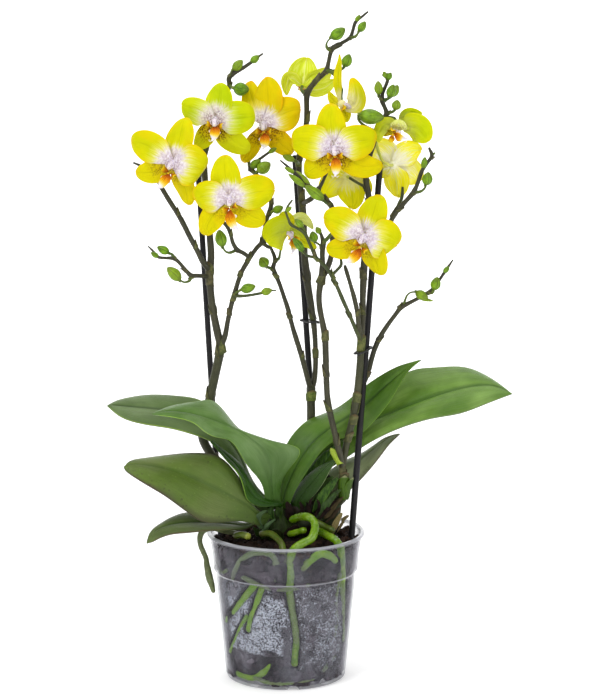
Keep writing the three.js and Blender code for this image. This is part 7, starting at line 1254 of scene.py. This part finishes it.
bpy.context.view_layer.update()
dg = bpy.context.evaluated_depsgraph_get(); new = bpy.data.meshes.new_from_object(pot.evaluated_get(dg), preserve_all_data_layers=True, depsgraph=dg)
pot.modifiers.clear(); pot.data = new
for o in cut: bpy.data.objects.remove(o, do_unlink=True)
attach(pot, "root"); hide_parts("pot")

# ------------------------------------------------------------------ floor, lights, camera
me = bpy.data.meshes.new("floor"); bm = bmesh.new(); W = 6.0
prof = [(-6.0, 0.0), (2.2, 0.0), (2.8, 0.06), (3.3, 0.28), (3.65, 0.75), (3.8, 1.6), (3.85, 6.0)]
rows = [[bm.verts.new((x, y, z - 0.0002)) for x in (-W, W)] for y, z in prof]
for p, q in zip(rows, rows[1:]): bm.faces.new((p[0], p[1], q[1], q[0]))
bm.normal_update(); bm.to_mesh(me); bm.free()
for f in me.polygons: f.use_smooth = True
floor = bpy.data.objects.new("floor_sweep", me); bpy.context.scene.collection.objects.link(floor); me.materials.append(floor_material())

def area(name, loc, look, size, power, colour=(1, 1, 1)):
    l = bpy.data.lights.new(name, "AREA"); l.shape = "RECTANGLE"; l.size, l.size_y = size; l.energy = power; l.color = colour
    o = bpy.data.objects.new(name, l); o.location = loc; o.rotation_euler = (Vector(look) - Vector(loc)).to_track_quat("-Z", "Y").to_euler(); bpy.context.scene.collection.objects.link(o); return o
area("key_left", (-1.3, -1.5, 2.1), (0, 0, 0.28), (1.0, 1.0), 34)
area("fill_right", (1.9, -1.2, 1.2), (0, 0, 0.28), (1.2, 1.2), 13)
area("front", (0.2, -2.6, 0.9), (0, 0, 0.25), (1.2, 0.8), 8)
area("top", (0.1, 0.3, 2.2), (0, 0, 0.3), (1.4, 1.4), 20)
area("back_wash", (0.0, 1.6, 1.8), (0, 3.7, 0.6), (3.0, 1.2), 60)
w = bpy.data.worlds.new("studio"); bpy.context.scene.world = w; w.use_nodes = True
w.node_tree.nodes["Background"].inputs[0].default_value = (1, 1, 1, 1); w.node_tree.nodes["Background"].inputs[1].default_value = 0.36
cam = bpy.data.cameras.new("camera"); cam.sensor_fit = "VERTICAL"; cam.sensor_height = 36.0; cam.sensor_width = 36.0; cam.lens = 36.0 * 2848.0 / 700.0; cam.clip_start = 0.05; cam.clip_end = 30
co = bpy.data.objects.new("camera", cam); co.location = (0.011, -2.135, 0.646); co.rotation_euler = (math.radians(90 - 10.36), 0, 0)
bpy.context.scene.collection.objects.link(co); bpy.context.scene.camera = co
vs = bpy.context.scene.view_settings; vs.view_transform = "Standard"; vs.look = "None"; vs.exposure = 0.0; vs.gamma = 1.0

bpy.context.view_layer.update()
